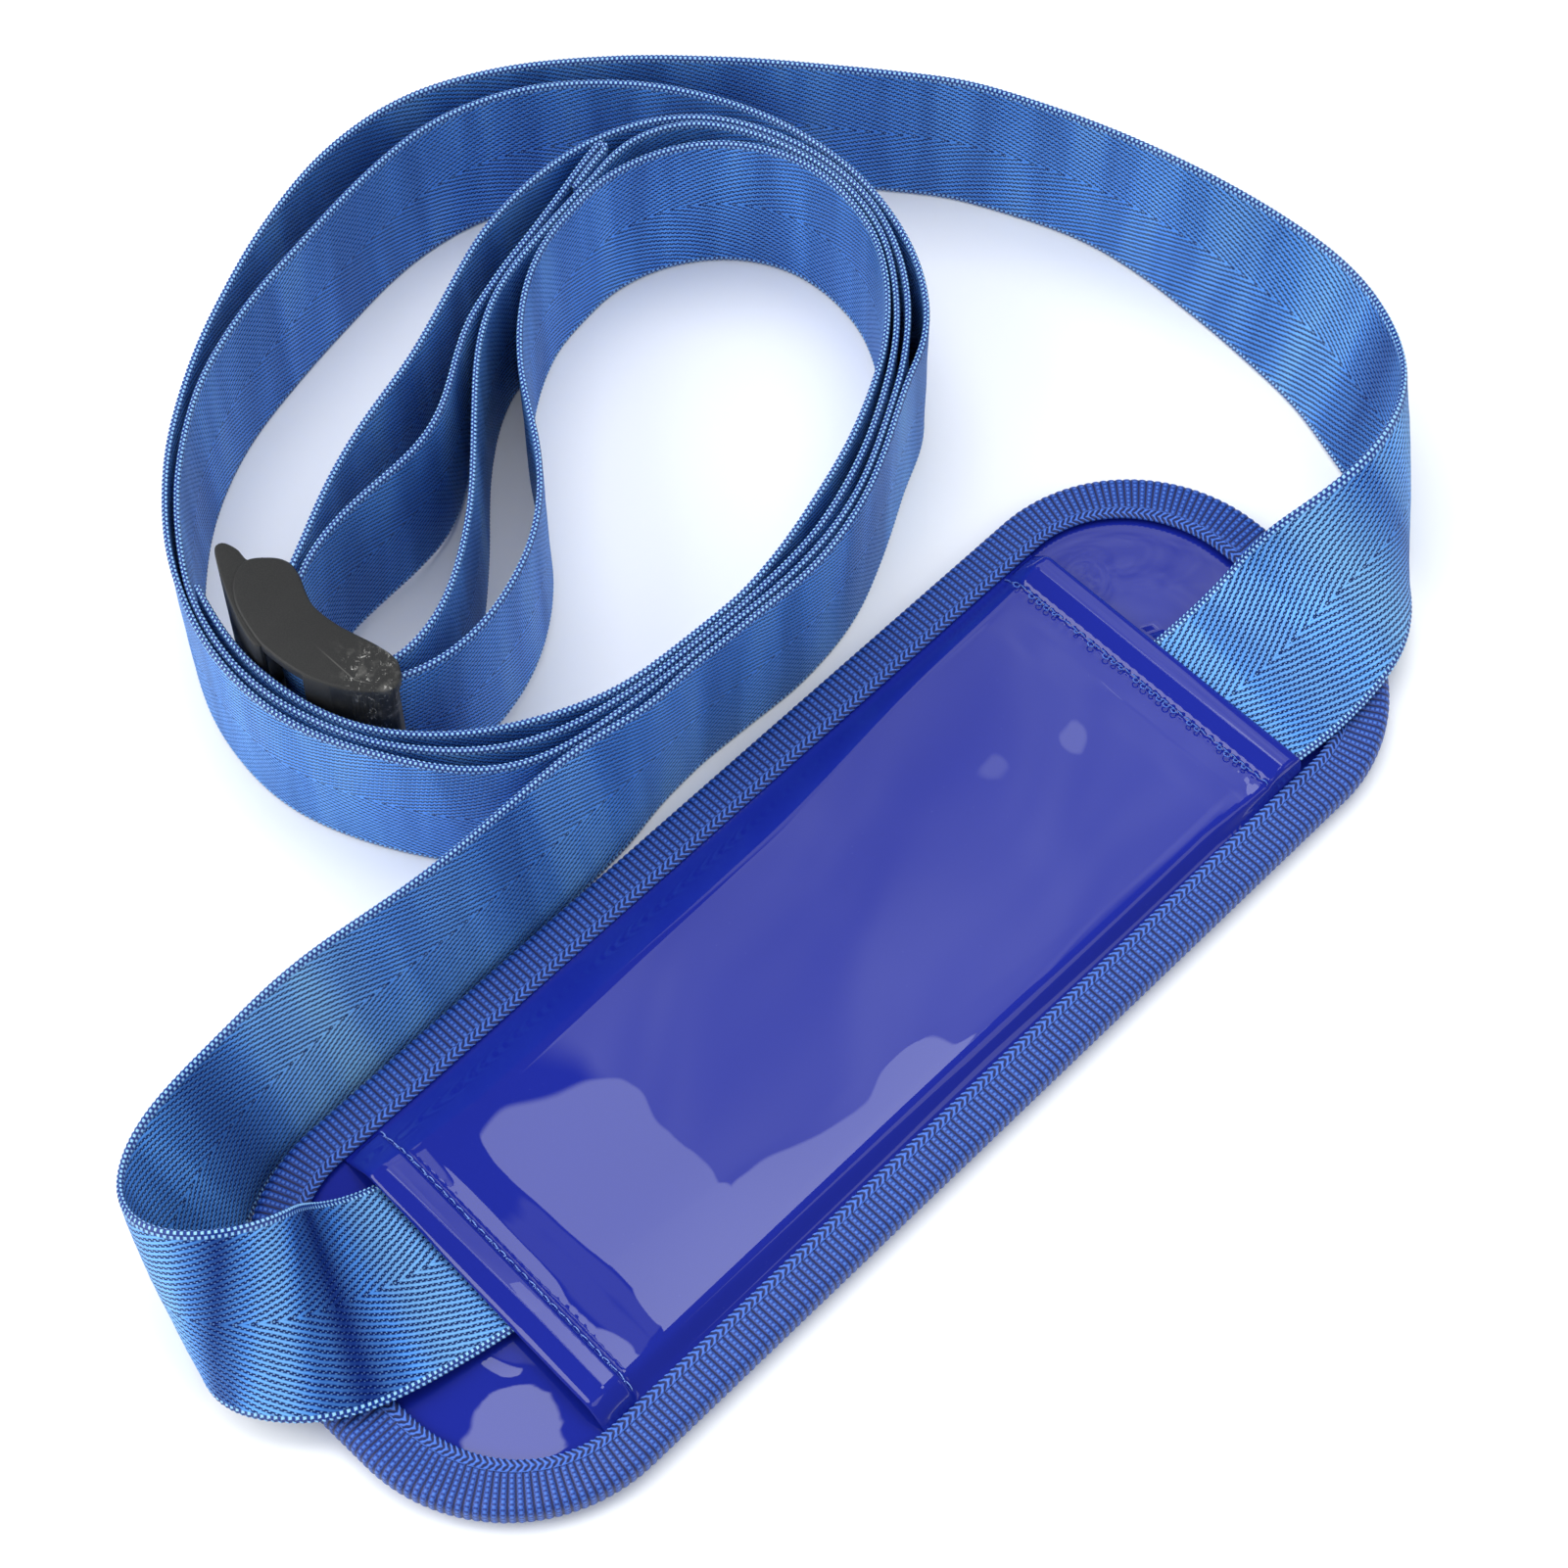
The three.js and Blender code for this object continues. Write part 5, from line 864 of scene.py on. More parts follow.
22234 6333 4913 21301 6420 1, 22202 6536 4920 21312 6616 1,
22170 6739 4928 21323 6812 1, 22135 6942 4935 21333 7009 0,
22100 7145 4942 21342 7205 0, 22063 7347 4948 21350 7402 0,
22026 7550 4955 21356 7598 0, 21987 7751 4960 21362 7795 0,
21946 7953 4966 21365 7991 0, 21905 8154 4971 21367 8188 0,
21862 8355 4975 21368 8385 0, 21819 8556 4980 21367 8581 0,
21773 8756 4983 21364 8778 0, 21726 8956 4987 21359 8975 0,
21677 9156 4989 21352 9171 0, 21627 9354 4992 21344 9368 0,
21574 9553 4994 21333 9565 0, 21520 9750 4996 21319 9761 0,
21464 9947 4997 21303 9957 0, 21407 10144 4998 21282 10153 0,
21350 10340 4999 21258 10348 0, 21292 10535 4999 21228 10543 0,
21234 10730 5000 21193 10737 0, 21176 10924 5000 21151 10930 0,
21117 11117 5000 21104 11122 0, 21057 11309 5000 21051 11314 0,
20996 11500 5000 20993 11504 0, 20933 11691 5000 20932 11694 0,
20868 11880 5000 20868 11882 0, 20800 12069 5000 20801 12070 0,
20731 12257 5000 20732 12258 0, 20660 12444 5000 20661 12445 0,
20587 12631 5000 20589 12632 0, 20513 12817 5000 20516 12818 0,
20438 13003 5000 20441 13005 0, 20362 13189 5000 20365 13191 0,
20285 13375 5000 20289 13376 0, 20207 13560 5000 20210 13561 0,
20127 13745 5000 20130 13746 0, 20045 13928 5000 20047 13928 0,
19960 14109 5000 19962 14109 0, 19872 14287 5000 19873 14288 0,
19779 14463 5000 19780 14463 0, 19681 14636 5000 19682 14636 0,
19578 14806 5000 19579 14806 0, 19471 14973, 19359 15138, 19244 15300,
19127 15462, 19009 15623, 18890 15784, 18771 15945,
18652 16105, 18533 16266, 18413 16426, 18293 16586,
18173 16746, 18053 16906, 17932 17066, 17811 17225,
17690 17384, 17569 17543, 17447 17701, 17324 17859,
17201 18017, 17077 18174, 16953 18331, 16828 18487,
16703 18643, 16577 18798, 16450 18953, 16322 19107,
16194 19260, 16065 19413, 15935 19565, 15804 19716,
15672 19866, 15539 20016, 15406 20165, 15271 20312,
15135 20459, 14999 20606, 14861 20751, 14723 20895,
14583 21038, 14442 21180, 14301 21321, 14158 21461,
14014 21600, 13869 21738, 13723 21874, 13576 22010,
13427 22143, 13278 22276, 13127 22407, 12974 22537,
12821 22664, 12666 22791, 12509 22915, 12351 23037,
12191 23158, 12030 23276, 11867 23392, 11703 23505,
11537 23616, 11369 23725, 11199 23830, 11028 23933,
10855 24033, 10680 24129, 10503 24221, 10324 24310,
10143 24395, 9961 24476, 9776 24552, 9590 24624,
9402 24691, 9212 24752, 9021 24809, 8828 24859,
8634 24905, 8439 24944, 8242 24978, 8045 25006,
7846 25028, 7648 25045, 7448 25057, 7249 25063,
7050 25064, 6850 25060, 6651 25051, 6451 25038,
6252 25020, 6054 24998, 5856 24972, 5659 24942,
5462 24908, 5265 24870, 5070 24830, 4875 24786,
4681 24739, 4487 24689, 4294 24636, 4102 24580,
3911 24522, 3721 24462, 3531 24399, 3342 24334,
3153 24267, 2966 24198, 2779 24127, 2592 24055,
2407 23981, 2222 23905, 2037 23828, 1854 23749,
1670 23669, 1488 23587, 1306 23504, 1124 23420,
944 23334, 764 23247, 585 23158, 406 23068,
229 22976, 52 22882, -124 22787, -299 22690,
-473 22592, -645 22491, -817 22389, -988 22285,
-1158 22179, -1326 22072, -1493 21962, -1659 21850,
-1823 21737, -1986 21621, -2148 21503, -2308 21383,
-2466 21261, -2622 21137, -2777 21010, -2930 20881,
-3081 20750, -3229 20617, -3376 20481, -3520 20343,
-3662 20202, -3802 20059, -3939 19914, -4074 19766,
-4206 19616, -4335 19464, -4461 19309, -4584 19152,
-4704 18992, -4821 18830, -4935 18666, -5045 18499,
-5151 18331, -5255 18160, -5354 17987, -5451 17812,
-5543 17635, -5632 17456, -5718 17275, -5800 17093 5000 -5799 17093 0,
-5877 16909, -5951 16723 5000 -5950 16723 0,
-6020 16536 5000 -6019 16536 0, -6084 16347 5000 -6083 16347 0,
-6144 16156 5000 -6143 16156 0, -6199 15964 5000 -6197 15964 0,
-6249 15770 5000 -6246 15771 0, -6294 15576 5000 -6289 15576 0,
-6335 15380 5000 -6327 15381 0, -6370 15184 5000 -6361 15185 0,
-6402 14987 5000 -6389 14988 0, -6429 14789 5000 -6412 14791 0,
-6451 14590 5000 -6430 14594 0, -6469 14392 5000 -6441 14396 0,
-6481 14193 5000 -6447 14199 0, -6487 13993 5000 -6447 14001 0,
-6487 13794 5000 -6440 13804 0, -6482 13595 5000 -6427 13607 0,
-6470 13396 5000 -6408 13410 0, -6452 13197 4999 -6383 13215 0,
-6427 13000 4999 -6351 13020 0, -6395 12803 4999 -6314 12827 0,
-6358 12607 4999 -6270 12634 0, -6314 12413 4999 -6220 12444 0,
-6264 12220 4999 -6165 12255 0, -6208 12028 4999 -6105 12067 0,
-6147 11838 4999 -6040 11882 0, -6081 11650 4999 -5970 11697 0,
-6010 11464 4998 -5896 11515 0, -5935 11279 4998 -5818 11334 0,
-5855 11095 4998 -5737 11155 0, -5773 10914 4998 -5652 10977 0,
-5686 10733 4998 -5564 10801 0, -5597 10554 4998 -5474 10625 0,
-5505 10377 4998 -5381 10451 0, -5411 10201 4998 -5287 10278 0,
-5314 10026 4998 -5190 10105 0, -5215 9852 4998 -5092 9934 0,
-5114 9680 4998 -4992 9763 0, -5010 9510 4998 -4890 9593 0,
-4903 9341 4998 -4786 9425 0, -4793 9174 4998 -4679 9258 0,
-4679 9011 4998 -4568 9093 0, -4560 8850 4998 -4454 8932 0,
-4437 8694 4998 -4336 8773 0, -4309 8542 4998 -4212 8619 0,
-4175 8395 4999 -4083 8470 0, -4034 8255 4999 -3947 8328 0,
-3888 8121 4999 -3804 8192 0, -3735 7995 4999 -3655 8064 0,
-3575 7878 4999 -3500 7944 0, -3409 7770 4999 -3339 7833 0,
-3238 7672 4999 -3172 7731 0, -3061 7583 4999 -3000 7638 0,
-2879 7502 4999 -2823 7554 0, -2694 7431 4999 -2643 7479 0,
-2506 7367 5000 -2458 7412 0, -2315 7310 5000 -2271 7353 0,
-2122 7260 5000 -2081 7301 0, -1928 7216 5000 -1890 7254 0,
-1732 7177 5000 -1697 7212 0, -1536 7142 5000 -1504 7174 0,
-1338 7112 5000 -1311 7139 0, -1140 7085 5000 -1117 7108 0,
-942 7061 5000 -924 7080 0, -743 7040 5000 -729 7054 0,
-544 7022 5000 -534 7032 0, -345 7006 5000 -338 7012 0,
-145 6991 5000 -141 6996 0, 54 6979 5000 57 6981 0,
254 6968 5000 255 6969 0, 454 6957 5000 454 6958 0,
653 6948 5000 654 6948 0, 853 6938, 1053 6929, 1253 6919,
1452 6911, 1652 6903, 1852 6896, 2052 6889,
2252 6882, 2452 6875, 2652 6868, 2852 6860,
3051 6853, 3251 6846, 3451 6840, 3651 6833,
3851 6826, 4051 6820, 4251 6815, 4451 6811,
4650 6810, 4850 6811, 5050 6814, 5250 6821,
5449 6831, 5649 6845, 5848 6863, 6046 6885,
6244 6911, 6441 6941, 6638 6975, 6834 7013,
7029 7055, 7224 7101, 7417 7151, 7610 7205,
7801 7262, 7991 7323, 8180 7387, 8368 7455,
8555 7527, 8739 7602, 8922 7682, 9103 7766,
9283 7853, 9461 7942, 9639 8034, 9815 8127,
9991 8221, 10167 8316, 10342 8412, 10518 8508,
10693 8604, 10868 8700, 11044 8795, 11218 8892,
11391 8992, 11562 9095, 11729 9203, 11894 9315,
12057 9431, 12218 9550, 12376 9672, 12532 9796,
12685 9924, 12836 10055, 12984 10189, 13130 10326,
13272 10466, 13411 10609, 13547 10756, 13678 10905,
13806 11059, 13930 11215, 14049 11375, 14164 11538,
14273 11705, 14378 11874, 14477 12047, 14571 12223,
14660 12402, 14743 12583, 14822 12767, 14894 12953,
14961 13141, 15021 13332, 15074 13524, 15120 13719,
15159 13915, 15192 14113, 15217 14312, 15236 14512,
15247 14712, 15251 14912, 15248 15113, 15237 15313,
15220 15512, 15197 15711, 15168 15909, 15134 16106,
15094 16302, 15048 16496, 14997 16689, 14941 16881,
14878 17071, 14811 17259, 14737 17444, 14657 17627,
14570 17807, 14477 17983, 14376 18155, 14267 18322,
14150 18483, 14025 18638, 13894 18788, 13756 18931,
13613 19069, 13463 19200, 13309 19325, 13149 19443,
12983 19553, 12814 19656, 12639 19752, 12461 19841,
12279 19922, 12094 19997, 11907 20066, 11717 20129,
11525 20185, 11331 20234, 11137 20276, 10941 20311,
10744 20340, 10547 20364, 10348 20383, 10150 20397,
9950 20407, 9751 20411, 9551 20411, 9352 20407,
9152 20397, 8953 20383, 8754 20365, 8556 20341,
8358 20314, 8161 20281, 7965 20244, 7770 20203,
7576 20157, 7382 20107, 7190 20053, 6999 19994,
6809 19932, 6621 19867, 6433 19798, 6246 19726,
6061 19652 1, 5876 19576 2, 5692 19498 4, 5509 19418 6,
5326 19338 9, 5143 19256 14, 4961 19174 19, 4778 19092 25,
4596 19011 31, 4413 18930 39, 4230 18850 47, 4047 18771 56,
3863 18694 66, 3678 18618 76, 3492 18545 86, 3306 18473 97,
3119 18404 109, 2931 18336 121, 2742 18270 133, 2553 18206 145,
2364 18143 158, 2174 18081 171, 1984 18020 184, 1794 17959 197,
1604 17898 210, 1414 17837 223, 1224 17775 236, 1035 17713 249,
846 17650 262, 657 17585 275, 469 17518 287, 282 17450 299,
95 17379 311, -91 17305 322, -275 17229 333, -459 17151 344,
-641 17069 354, -822 16986 364, -1002 16900 373, -1182 16811 381,
-1360 16722 388, -1538 16631 395, -1715 16538 401, -1892 16445 406,
-2069 16352 411, -2245 16258 414, -2422 16165 416, -2599 16071 418,
-2776 15979 419, -2954 15886 420, -3131 15794 420, -3309 15702 420,
-3486 15610 420, -3662 15515 420, -3836 15419 420, -4008 15318 420,
-4176 15212 420, -4338 15099 420, -4493 14978 420, -4639 14847 420,
-4772 14706 420, -4890 14553 420, -4991 14390 420, -5072 14217 420,
-5131 14036 420, -5170 13849 420, -5186 13658 420, -5183 13465 420,
-5160 13273 420, -5119 13083 420, -5062 12896 420, -4991 12714 420,
-4906 12537 420, -4808 12366 420, -4699 12202 420, -4580 12046 420,
-4450 11898 420, -4310 11760 420, -4161 11632 420, -4003 11515 420,
-3837 11409 420, -3664 11315 420, -3485 11234 420, -3301 11164 419,
-3112 11107 419, -2920 11061 417, -2725 11026 415, -2529 11002 413,
-2331 10988 409, -2133 10983 404, -1934 10987 399, -1736 11000 392,
-1538 11020 385, -1341 11047 377, -1145 11081 369, -950 11122 360,
-757 11169 350, -564 11221 340, -374 11279 329, -185 11342 318,
2 11410 306, 187 11484 294, 370 11562 282, 552 11645 269,
730 11732 257, 907 11825 244, 1080 11922 231, 1251 12024 217,
1420 12130 204, 1585 12241 191, 1747 12357 178, 1906 12476 165,
2061 12601 152, 2214 12729 140, 2362 12862 128, 2507 12998 116,
2649 13138 104, 2787 13282 93, 2921 13429 82, 3051 13580 71,
3178 13734 62, 3302 13890 52, 3422 14050 44, 3540 14211 36,
3655 14374 29, 3768 14539 22, 3879 14705 16, 3989 14872 12,
4099 15039 8, 4209 15206 5, 4320 15372 3, 4431 15538 1,
4544 15703 1, 4659 15867, 4776 16028, 4896 16188,
5019 16345, 5146 16500, 5276 16651, 5410 16799,
5547 16944, 5688 17085, 5832 17223, 5980 17357,
6132 17487, 6287 17613, 6444 17735, 6606 17852,
6770 17966, 6937 18075, 7107 18179, 7280 18279,
7455 18373, 7633 18462, 7814 18546, 7997 18622,
8184 18691, 8372 18751, 8563 18803, 8757 18846,
8951 18884, 9147 18919, 9343 18950, 9540 18980,
9736 19008, 9933 19034, 10130 19055, 10327 19070,
10525 19074, 10722 19068, 10919 19051, 11116 19024,
11311 18988, 11505 18944, 11697 18892, 11886 18833,
12073 18765, 12257 18690, 12438 18608, 12616 18518,
12789 18420, 12957 18315, 13121 18203, 13280 18084,
13433 17957, 13579 17823, 13720 17683, 13853 17536,
13978 17383, 14097 17223, 14207 17058, 14309 16888,
14403 16714, 14489 16535, 14566 16352, 14633 16166,
14691 15977, 14738 15785, 14775 15591, 14800 15396,
14815 15200, 14822 15003, 14822 14806, 14814 14610,
14798 14414, 14775 14220, 14744 14026, 14707 13833,
14663 13642, 14611 13453, 14552 13266, 14485 13081,
14411 12899, 14328 12720, 14239 12544, 14143 12371,
14041 12201, 13933 12035, 13820 11871, 13703 11711,
13580 11554, 13453 11401, 13322 11251, 13186 11105,
13046 10963, 12902 10825, 12755 10690, 12605 10559,
12451 10431, 12295 10307, 12136 10186, 11975 10068,
11811 9954, 11645 9843, 11477 9735, 11307 9630,
11135 9528, 10961 9429, 10786 9333, 10610 9240,
10431 9149, 10252 9061, 10071 8976, 9889 8893,
9707 8812, 9523 8734, 9338 8658, 9152 8584,
8965 8512, 8778 8443, 8590 8375, 8401 8309,
8212 8245, 8022 8183, 7831 8122, 7640 8063,
7449 8006, 7257 7950, 7064 7895, 6871 7842,
6678 7790, 6485 7740, 6291 7692, 6096 7645,
5902 7599, 5707 7555, 5511 7514, 5315 7474,
5119 7436, 4922 7401, 4725 7368, 4528 7339,
4330 7313, 4132 7293, 3933 7279, 3735 7271,
3536 7270, 3338 7272, 3139 7277, 2940 7283,
2741 7290, 2541 7297, 2342 7304, 2142 7311,
1943 7319, 1744 7326, 1544 7334, 1346 7342,
1147 7353, 949 7366, 751 7382, 554 7404,
358 7431, 162 7464, -32 7505, -226 7552,
-418 7605, -609 7663, -798 7725, -987 7792,
-1173 7862, -1359 7936, -1543 8015, -1725 8097,
-1905 8182, -2083 8272, -2260 8366, -2434 8463,
-2606 8565, -2775 8670, -2942 8780, -3106 8893,
-3267 9011, -3425 9133, -3580 9258, -3732 9388,
-3882 9520, -4029 9655, -4172 9794, -4312 9937,
-4448 10084, -4579 10235, -4705 10391, -4826 10551,
-4940 10717, -5047 10886, -5147 11061, -5240 11239,
-5326 11420, -5406 11605, -5479 11792, -5546 11981,
-5607 12173, -5661 12366, -5709 12561, -5751 12758,
-5787 12955, -5818 13154, -5843 13353, -5863 13553,
-5878 13753, -5887 13954, -5892 14154, -5890 14355,
-5882 14556, -5868 14756, -5849 14956, -5824 15154,
-5794 15352, -5759 15549, -5720 15745, -5678 15940,
-5631 16132, -5581 16320, -5528 16505, -5471 16685,
-5408 16870, -5332 17083
"""

# How far the middle of the webbing bellies out in its two turns: station, mm.
BELLY = [
    (720, 0), (723, 0.5), (726, 1.66), (729, 2.82), (732, 3.76), (735, 3.93), (738, 3.44),
    (741, 2.4), (744, 1.3), (747, 0.39), (750, 0),
    (912, 0), (915, 0.38), (918, 1.26), (921, 2.25), (924, 3.4), (927, 4.47), (930, 5.09),
    (933, 5.41), (936, 5.09), (939, 4.47), (942, 3.4), (945, 2.22), (948, 1.21), (951, 0.36),
    (954, 0),
]

# Painted light and shade of satin folds in the free turns, put into the colour at fixed stations:
# station, half width in stations, how much painted highlight (+) or painted shade (-).
PAINTED_FOLD_BANDS = [
    (757, 4.4, -1.0), (749, 3.0, 0.45), (743, 2.2, -0.55), (737, 2.6, 0.4), (730, 3.0, -0.4),
    (768, 5.5, 0.6), (712, 6.0, -0.35), (697, 9.0, 0.75), (676, 5.0, 0.25), (662, 5.0, -0.2),
    (936, 3.5, 0.45), (929, 2.5, -0.35), (919, 5.0, 0.75), (906, 6.0, 0.35), (948, 4.0, -0.35),
    (960, 5.0, 0.3), (975, 6.0, -0.2),
]

# Webbing section: positions across each face, then the rounded edge as (across, height)
FACE_ACROSS = [-24.1, -23.2, -20, -15, -10, -5, 0, 5, 10, 15, 20, 23.2, 24.1]
EDGE_SECTION = [(24.85, 0.55), (25.1, 0.0), (24.85, -0.55)]


def read_station(entry):
    """One STATIONS entry as upper edge x y z, lower edge x y z."""
    numbers = [float(v) for v in entry.split()]
    if len(numbers) == 6:
        return numbers
    x, y = numbers[:2]
    lift = numbers[2] if len(numbers) == 3 else 0.0
    return [x, y, 2 * WEB_HALF_WIDTH * 100 + lift, x, y, lift]


def resample(stations, arc, step):
    """Cubic Hermite curve through the stations, sampled evenly: lengths and edge points."""
    count = int(arc[-1] / step) + 1
    t = np.linspace(0, arc[-1], count)
    slope = np.zeros_like(stations)
    gap = np.diff(arc)
    chord = np.diff(stations, axis=0) / gap[:, None]
    slope[1:-1] = ((chord[:-1] * gap[1:, None] + chord[1:] * gap[:-1, None])
                   / (gap[:-1] + gap[1:])[:, None])
    slope[0], slope[-1] = chord[0], chord[-1]
    i = np.clip(np.searchsorted(arc, t) - 1, 0, len(arc) - 2)
    u = ((t - arc[i]) / gap[i])[:, None]
    span = gap[i][:, None]
    points = ((2 * u**3 - 3 * u**2 + 1) * stations[i]
              + (u**3 - 2 * u**2 + u) * span * slope[i]
              + (-2 * u**3 + 3 * u**2) * stations[i + 1]
              + (u**3 - u**2) * span * slope[i + 1])
    return t, points


class Course:
    """The webbing's middle surface, sampled every half selvedge bead."""

    def __init__(self, stations):
        arc = running_length((stations[:, :3] + stations[:, 3:]) / 2)
        self.length, edges = resample(stations, arc, WEFT_PITCH / 2)
        self.station = np.interp(self.length, arc, np.arange(len(arc)))
        self.upper, self.lower = edges[:, :3], edges[:, 3:]
        self.across = self.upper - self.lower
        self.across /= np.linalg.norm(self.across, axis=1)[:, None]
        self.upper_normal = self.edge_normal(self.upper)
        self.lower_normal = self.edge_normal(self.lower)

    def edge_normal(self, edge):
        forward = np.gradient(edge, axis=0)
        forward = forward / np.linalg.norm(forward, axis=1)[:, None]
        normal = np.cross(forward, self.across)
        return normal / np.linalg.norm(normal, axis=1)[:, None]

    def point(self, along, across, height):
        """Point this far along, this far from mid width and this far off the surface."""
        i = min(max(int(np.searchsorted(self.length, along)) - 1, 0), len(self.length) - 2)
        u = (along - self.length[i]) / (self.length[i + 1] - self.length[i])
        v = (across + WEB_HALF_WIDTH) / (2 * WEB_HALF_WIDTH)
        first, second = (
            self.lower[k] * (1 - v) + self.upper[k] * v
            + (self.lower_normal[k] * (1 - v) + self.upper_normal[k] * v) * height
            for k in (i, i + 1))
        return first * (1 - u) + second * u

    def nearest(self, x, y, start, end):
        """Length along, between start and end, where mid width passes nearest (x, y)."""
        tries = np.linspace(start, end, 400)
        target = np.array([x, y])
        distances = [np.hypot(*(self.point(t, 0, 0)[:2] - target)) for t in tries]
        return float(tries[int(np.argmin(distances))])

    def face_away(self, along, x, y):
        """Side (1 or -1) of the webbing that faces away from (x, y)."""
        plus, minus = self.point(along, 0, 2), self.point(along, 0, -2)
        distance = lambda p: math.hypot(p[0] - x, p[1] - y)
        return 1 if distance(plus) > distance(minus) else -1


def webbing_section():
    """(across, height) points round the webbing's section."""
    section = [(a, WEB_HALF_THICKNESS) for a in FACE_ACROSS] + EDGE_SECTION
    section += [(a, -WEB_HALF_THICKNESS) for a in reversed(FACE_ACROSS)]
    return section + [(-a, -h) for a, h in EDGE_SECTION]


def build_strap(course):
    section = webbing_section()
    length = course.length
    rows, columns = len(length), len(section)
    belly = np.interp(course.station, [b[0] for b in BELLY], [b[1] for b in BELLY],
                      left=0, right=0)
    # painted shade and highlight of the folds, carried to the material as a per-point attribute
    painted_fold_shading = sum(amount * np.exp(-(((course.station - centre) / width) ** 2))
               for centre, width, amount in PAINTED_FOLD_BANDS)
    painted_fold_shading = np.clip(painted_fold_shading, -1, 1)
    painted_fold_shading = np.stack([np.maximum(-painted_fold_shading, 0), np.maximum(painted_fold_shading, 0), painted_fold_shading * 0], 1)
    zigzag = np.where(np.arange(rows) % 2 == 0, 1.0, -1.0)

    verts = np.zeros((rows, columns, 3))
    weave = np.zeros((rows, columns, 3))
    for j, (a, h) in enumerate(section):
        v = (a + WEB_HALF_WIDTH) / (2 * WEB_HALF_WIDTH)
        centre = course.lower * (1 - v) + course.upper * v
        normal = course.lower_normal * (1 - v) + course.upper_normal * v
        height = np.full(rows, h)
        # selvedge scallops: the braid swells and pinches
        if abs(a) > 24.0:
            centre = centre + course.across * (np.sign(a) * 0.10 * zigzag)[:, None]
            height = height * (1.0 + 0.14 * zigzag)
        bulge = belly * 4 * v * (1 - v)
        # slight ripple of the cloth, kept inside the clearance between layers
        ripple = (0.07 * np.sin(length / 9.0 + a * 0.12) * (1 - (abs(a) / WEB_HALF_WIDTH) ** 2)
                  + 0.05 * np.sin(length / 5.2 - a * 0.31))
        verts[:, j] = centre + normal * (height + ripple + bulge)[:, None]
        verts[:, j, 2] = np.maximum(verts[:, j, 2], 0.0)
        weave[:, j, 0] = a
        weave[:, j, 1] = length
        weave[:, j, 2] = np.sign(h)

    faces = grid_faces(rows, columns, False, True)
    faces.append(list(range(columns - 1, -1, -1)))
    faces.append([(rows - 1) * columns + k for k in range(columns)])
    per_row = lambda values: np.repeat(values[:, None, :], columns, axis=1).reshape(-1, 3)
    attrs = {"wv": weave.reshape(-1, 3), "across": per_row(course.across),
             "painted_fold_shading": per_row(painted_fold_shading)}
    strap = outward(link("webbing_strap_woven", verts.reshape(-1, 3) * MM, faces,
                         attrs=attrs, mat=mat_webbing))
    hand_over(strap, "webbing_strap", "webbing")


def box_stitches(course, start, end, side):
    """Short stitches round a box with one diagonal, lying on the webbing's face."""
    half_height, pitch = 21, 2.6
    corners = [(start, -half_height), (end, -half_height), (end, half_height),
               (start, half_height), (start, -half_height), (end, half_height)]
    out = []
    for (along0, across0), (along1, across1) in zip(corners[:-1], corners[1:]):
        line_length = math.hypot(along1 - along0, across1 - across0)
        count = max(2, int(round(line_length / pitch)))
        for i in range(count):
            u0, u1 = (i + 0.08) / count, (i + 0.92) / count
            stitch = []
            for w in np.linspace(0, 1, 6):
                u = u0 + (u1 - u0) * w
                lift = 0.12 + 0.26 * math.sin(math.pi * w)
                stitch.append(course.point(along0 + (along1 - along0) * u,
                                           across0 + (across1 - across0) * u,
                                           side * (WEB_HALF_THICKNESS + lift)))
            out.append(np.array(stitch))
    return out


# Stitched boxes where the strap's end is folded back: name, CAD piece, x y near the two
# ends of the box, span of length to look in, x y that the stitched face turns away from.
LOOP_BOXES = [
    ("loop_stitch_outer", "loop_stitch_bobbin", (101, 196.3), (111, 198.9), (15, 60), (101, 176)),
    ("loop_stitch_inner", "loop_stitch_needle", (101, 192.3), (111, 194.4), (340, 440),
     (101, 216)),
]


def build_loop_stitches(course):
    for name, replaces, end0, end1, span, away in LOOP_BOXES:
        first = course.nearest(*end0, *span)
        second = course.nearest(*end1, *span)
        side = course.face_away(first, *away)
        stitches = box_stitches(course, min(first, second), max(first, second), side)
        thread = thread_tubes(name, stitches, 0.2, mat_thread_dark)
        hand_over(thread, replaces, "webbing")


course = Course(np.array([read_station(entry) for entry in STATIONS.split(",")]) / 100.0)
build_strap(course)
build_loop_stitches(course)


# ---------------------------------------------------------------------------------------
# pad outline
# ---------------------------------------------------------------------------------------
def outline_pieces(inset=5.0):
    """The pad's outline from the lower +x corner, counterclockwise: length, start and end
    corner signs, angle of the outward normal at the start, and how far it turns. Lengths
    are taken this far inside the outline."""
    bend = math.pi / 2 * (PAD_RADIUS - inset)
    corners = [(1, 1), (-1, 1), (-1, -1), (1, -1)]
    pieces = []
    for k, corner in enumerate(corners):
        angle = k * math.pi / 2
        straight = (CORNER_X if k % 2 else CORNER_Y) * 2
        pieces.append((straight, corners[k - 1], corner, angle, 0.0))
        pieces.append((bend, corner, corner, angle, math.pi / 2))
    return pieces


OUTLINE = outline_pieces()
PERIMETER = sum(piece[0] for piece in OUTLINE)


def outline(lengths):
    """Rows of corner-circle centre x, y and normal angle, by length along the outline."""
    out = []
    for s in lengths:
        s = s % PERIMETER
        for length, start, end, angle, turn in OUTLINE:
            if s <= length + 1e-9:
                u = s / length
                signs = np.array(start) * (1 - u) + np.array(end) * u
                out.append((signs[0] * CORNER_X, signs[1] * CORNER_Y, angle + u * turn))
                break
            s -= length
    return np.array(out)


def at_inset(rows, inset, end_extra=0.0):
    """x, y this far inside the outline, and end_extra further at the pad's two ends."""
    nx, ny = np.cos(rows[:, 2]), np.sin(rows[:, 2])
    r = PAD_RADIUS - inset - end_extra * nx * nx
    return np.stack([rows[:, 0] + nx * r, rows[:, 1] + ny * r], 1)


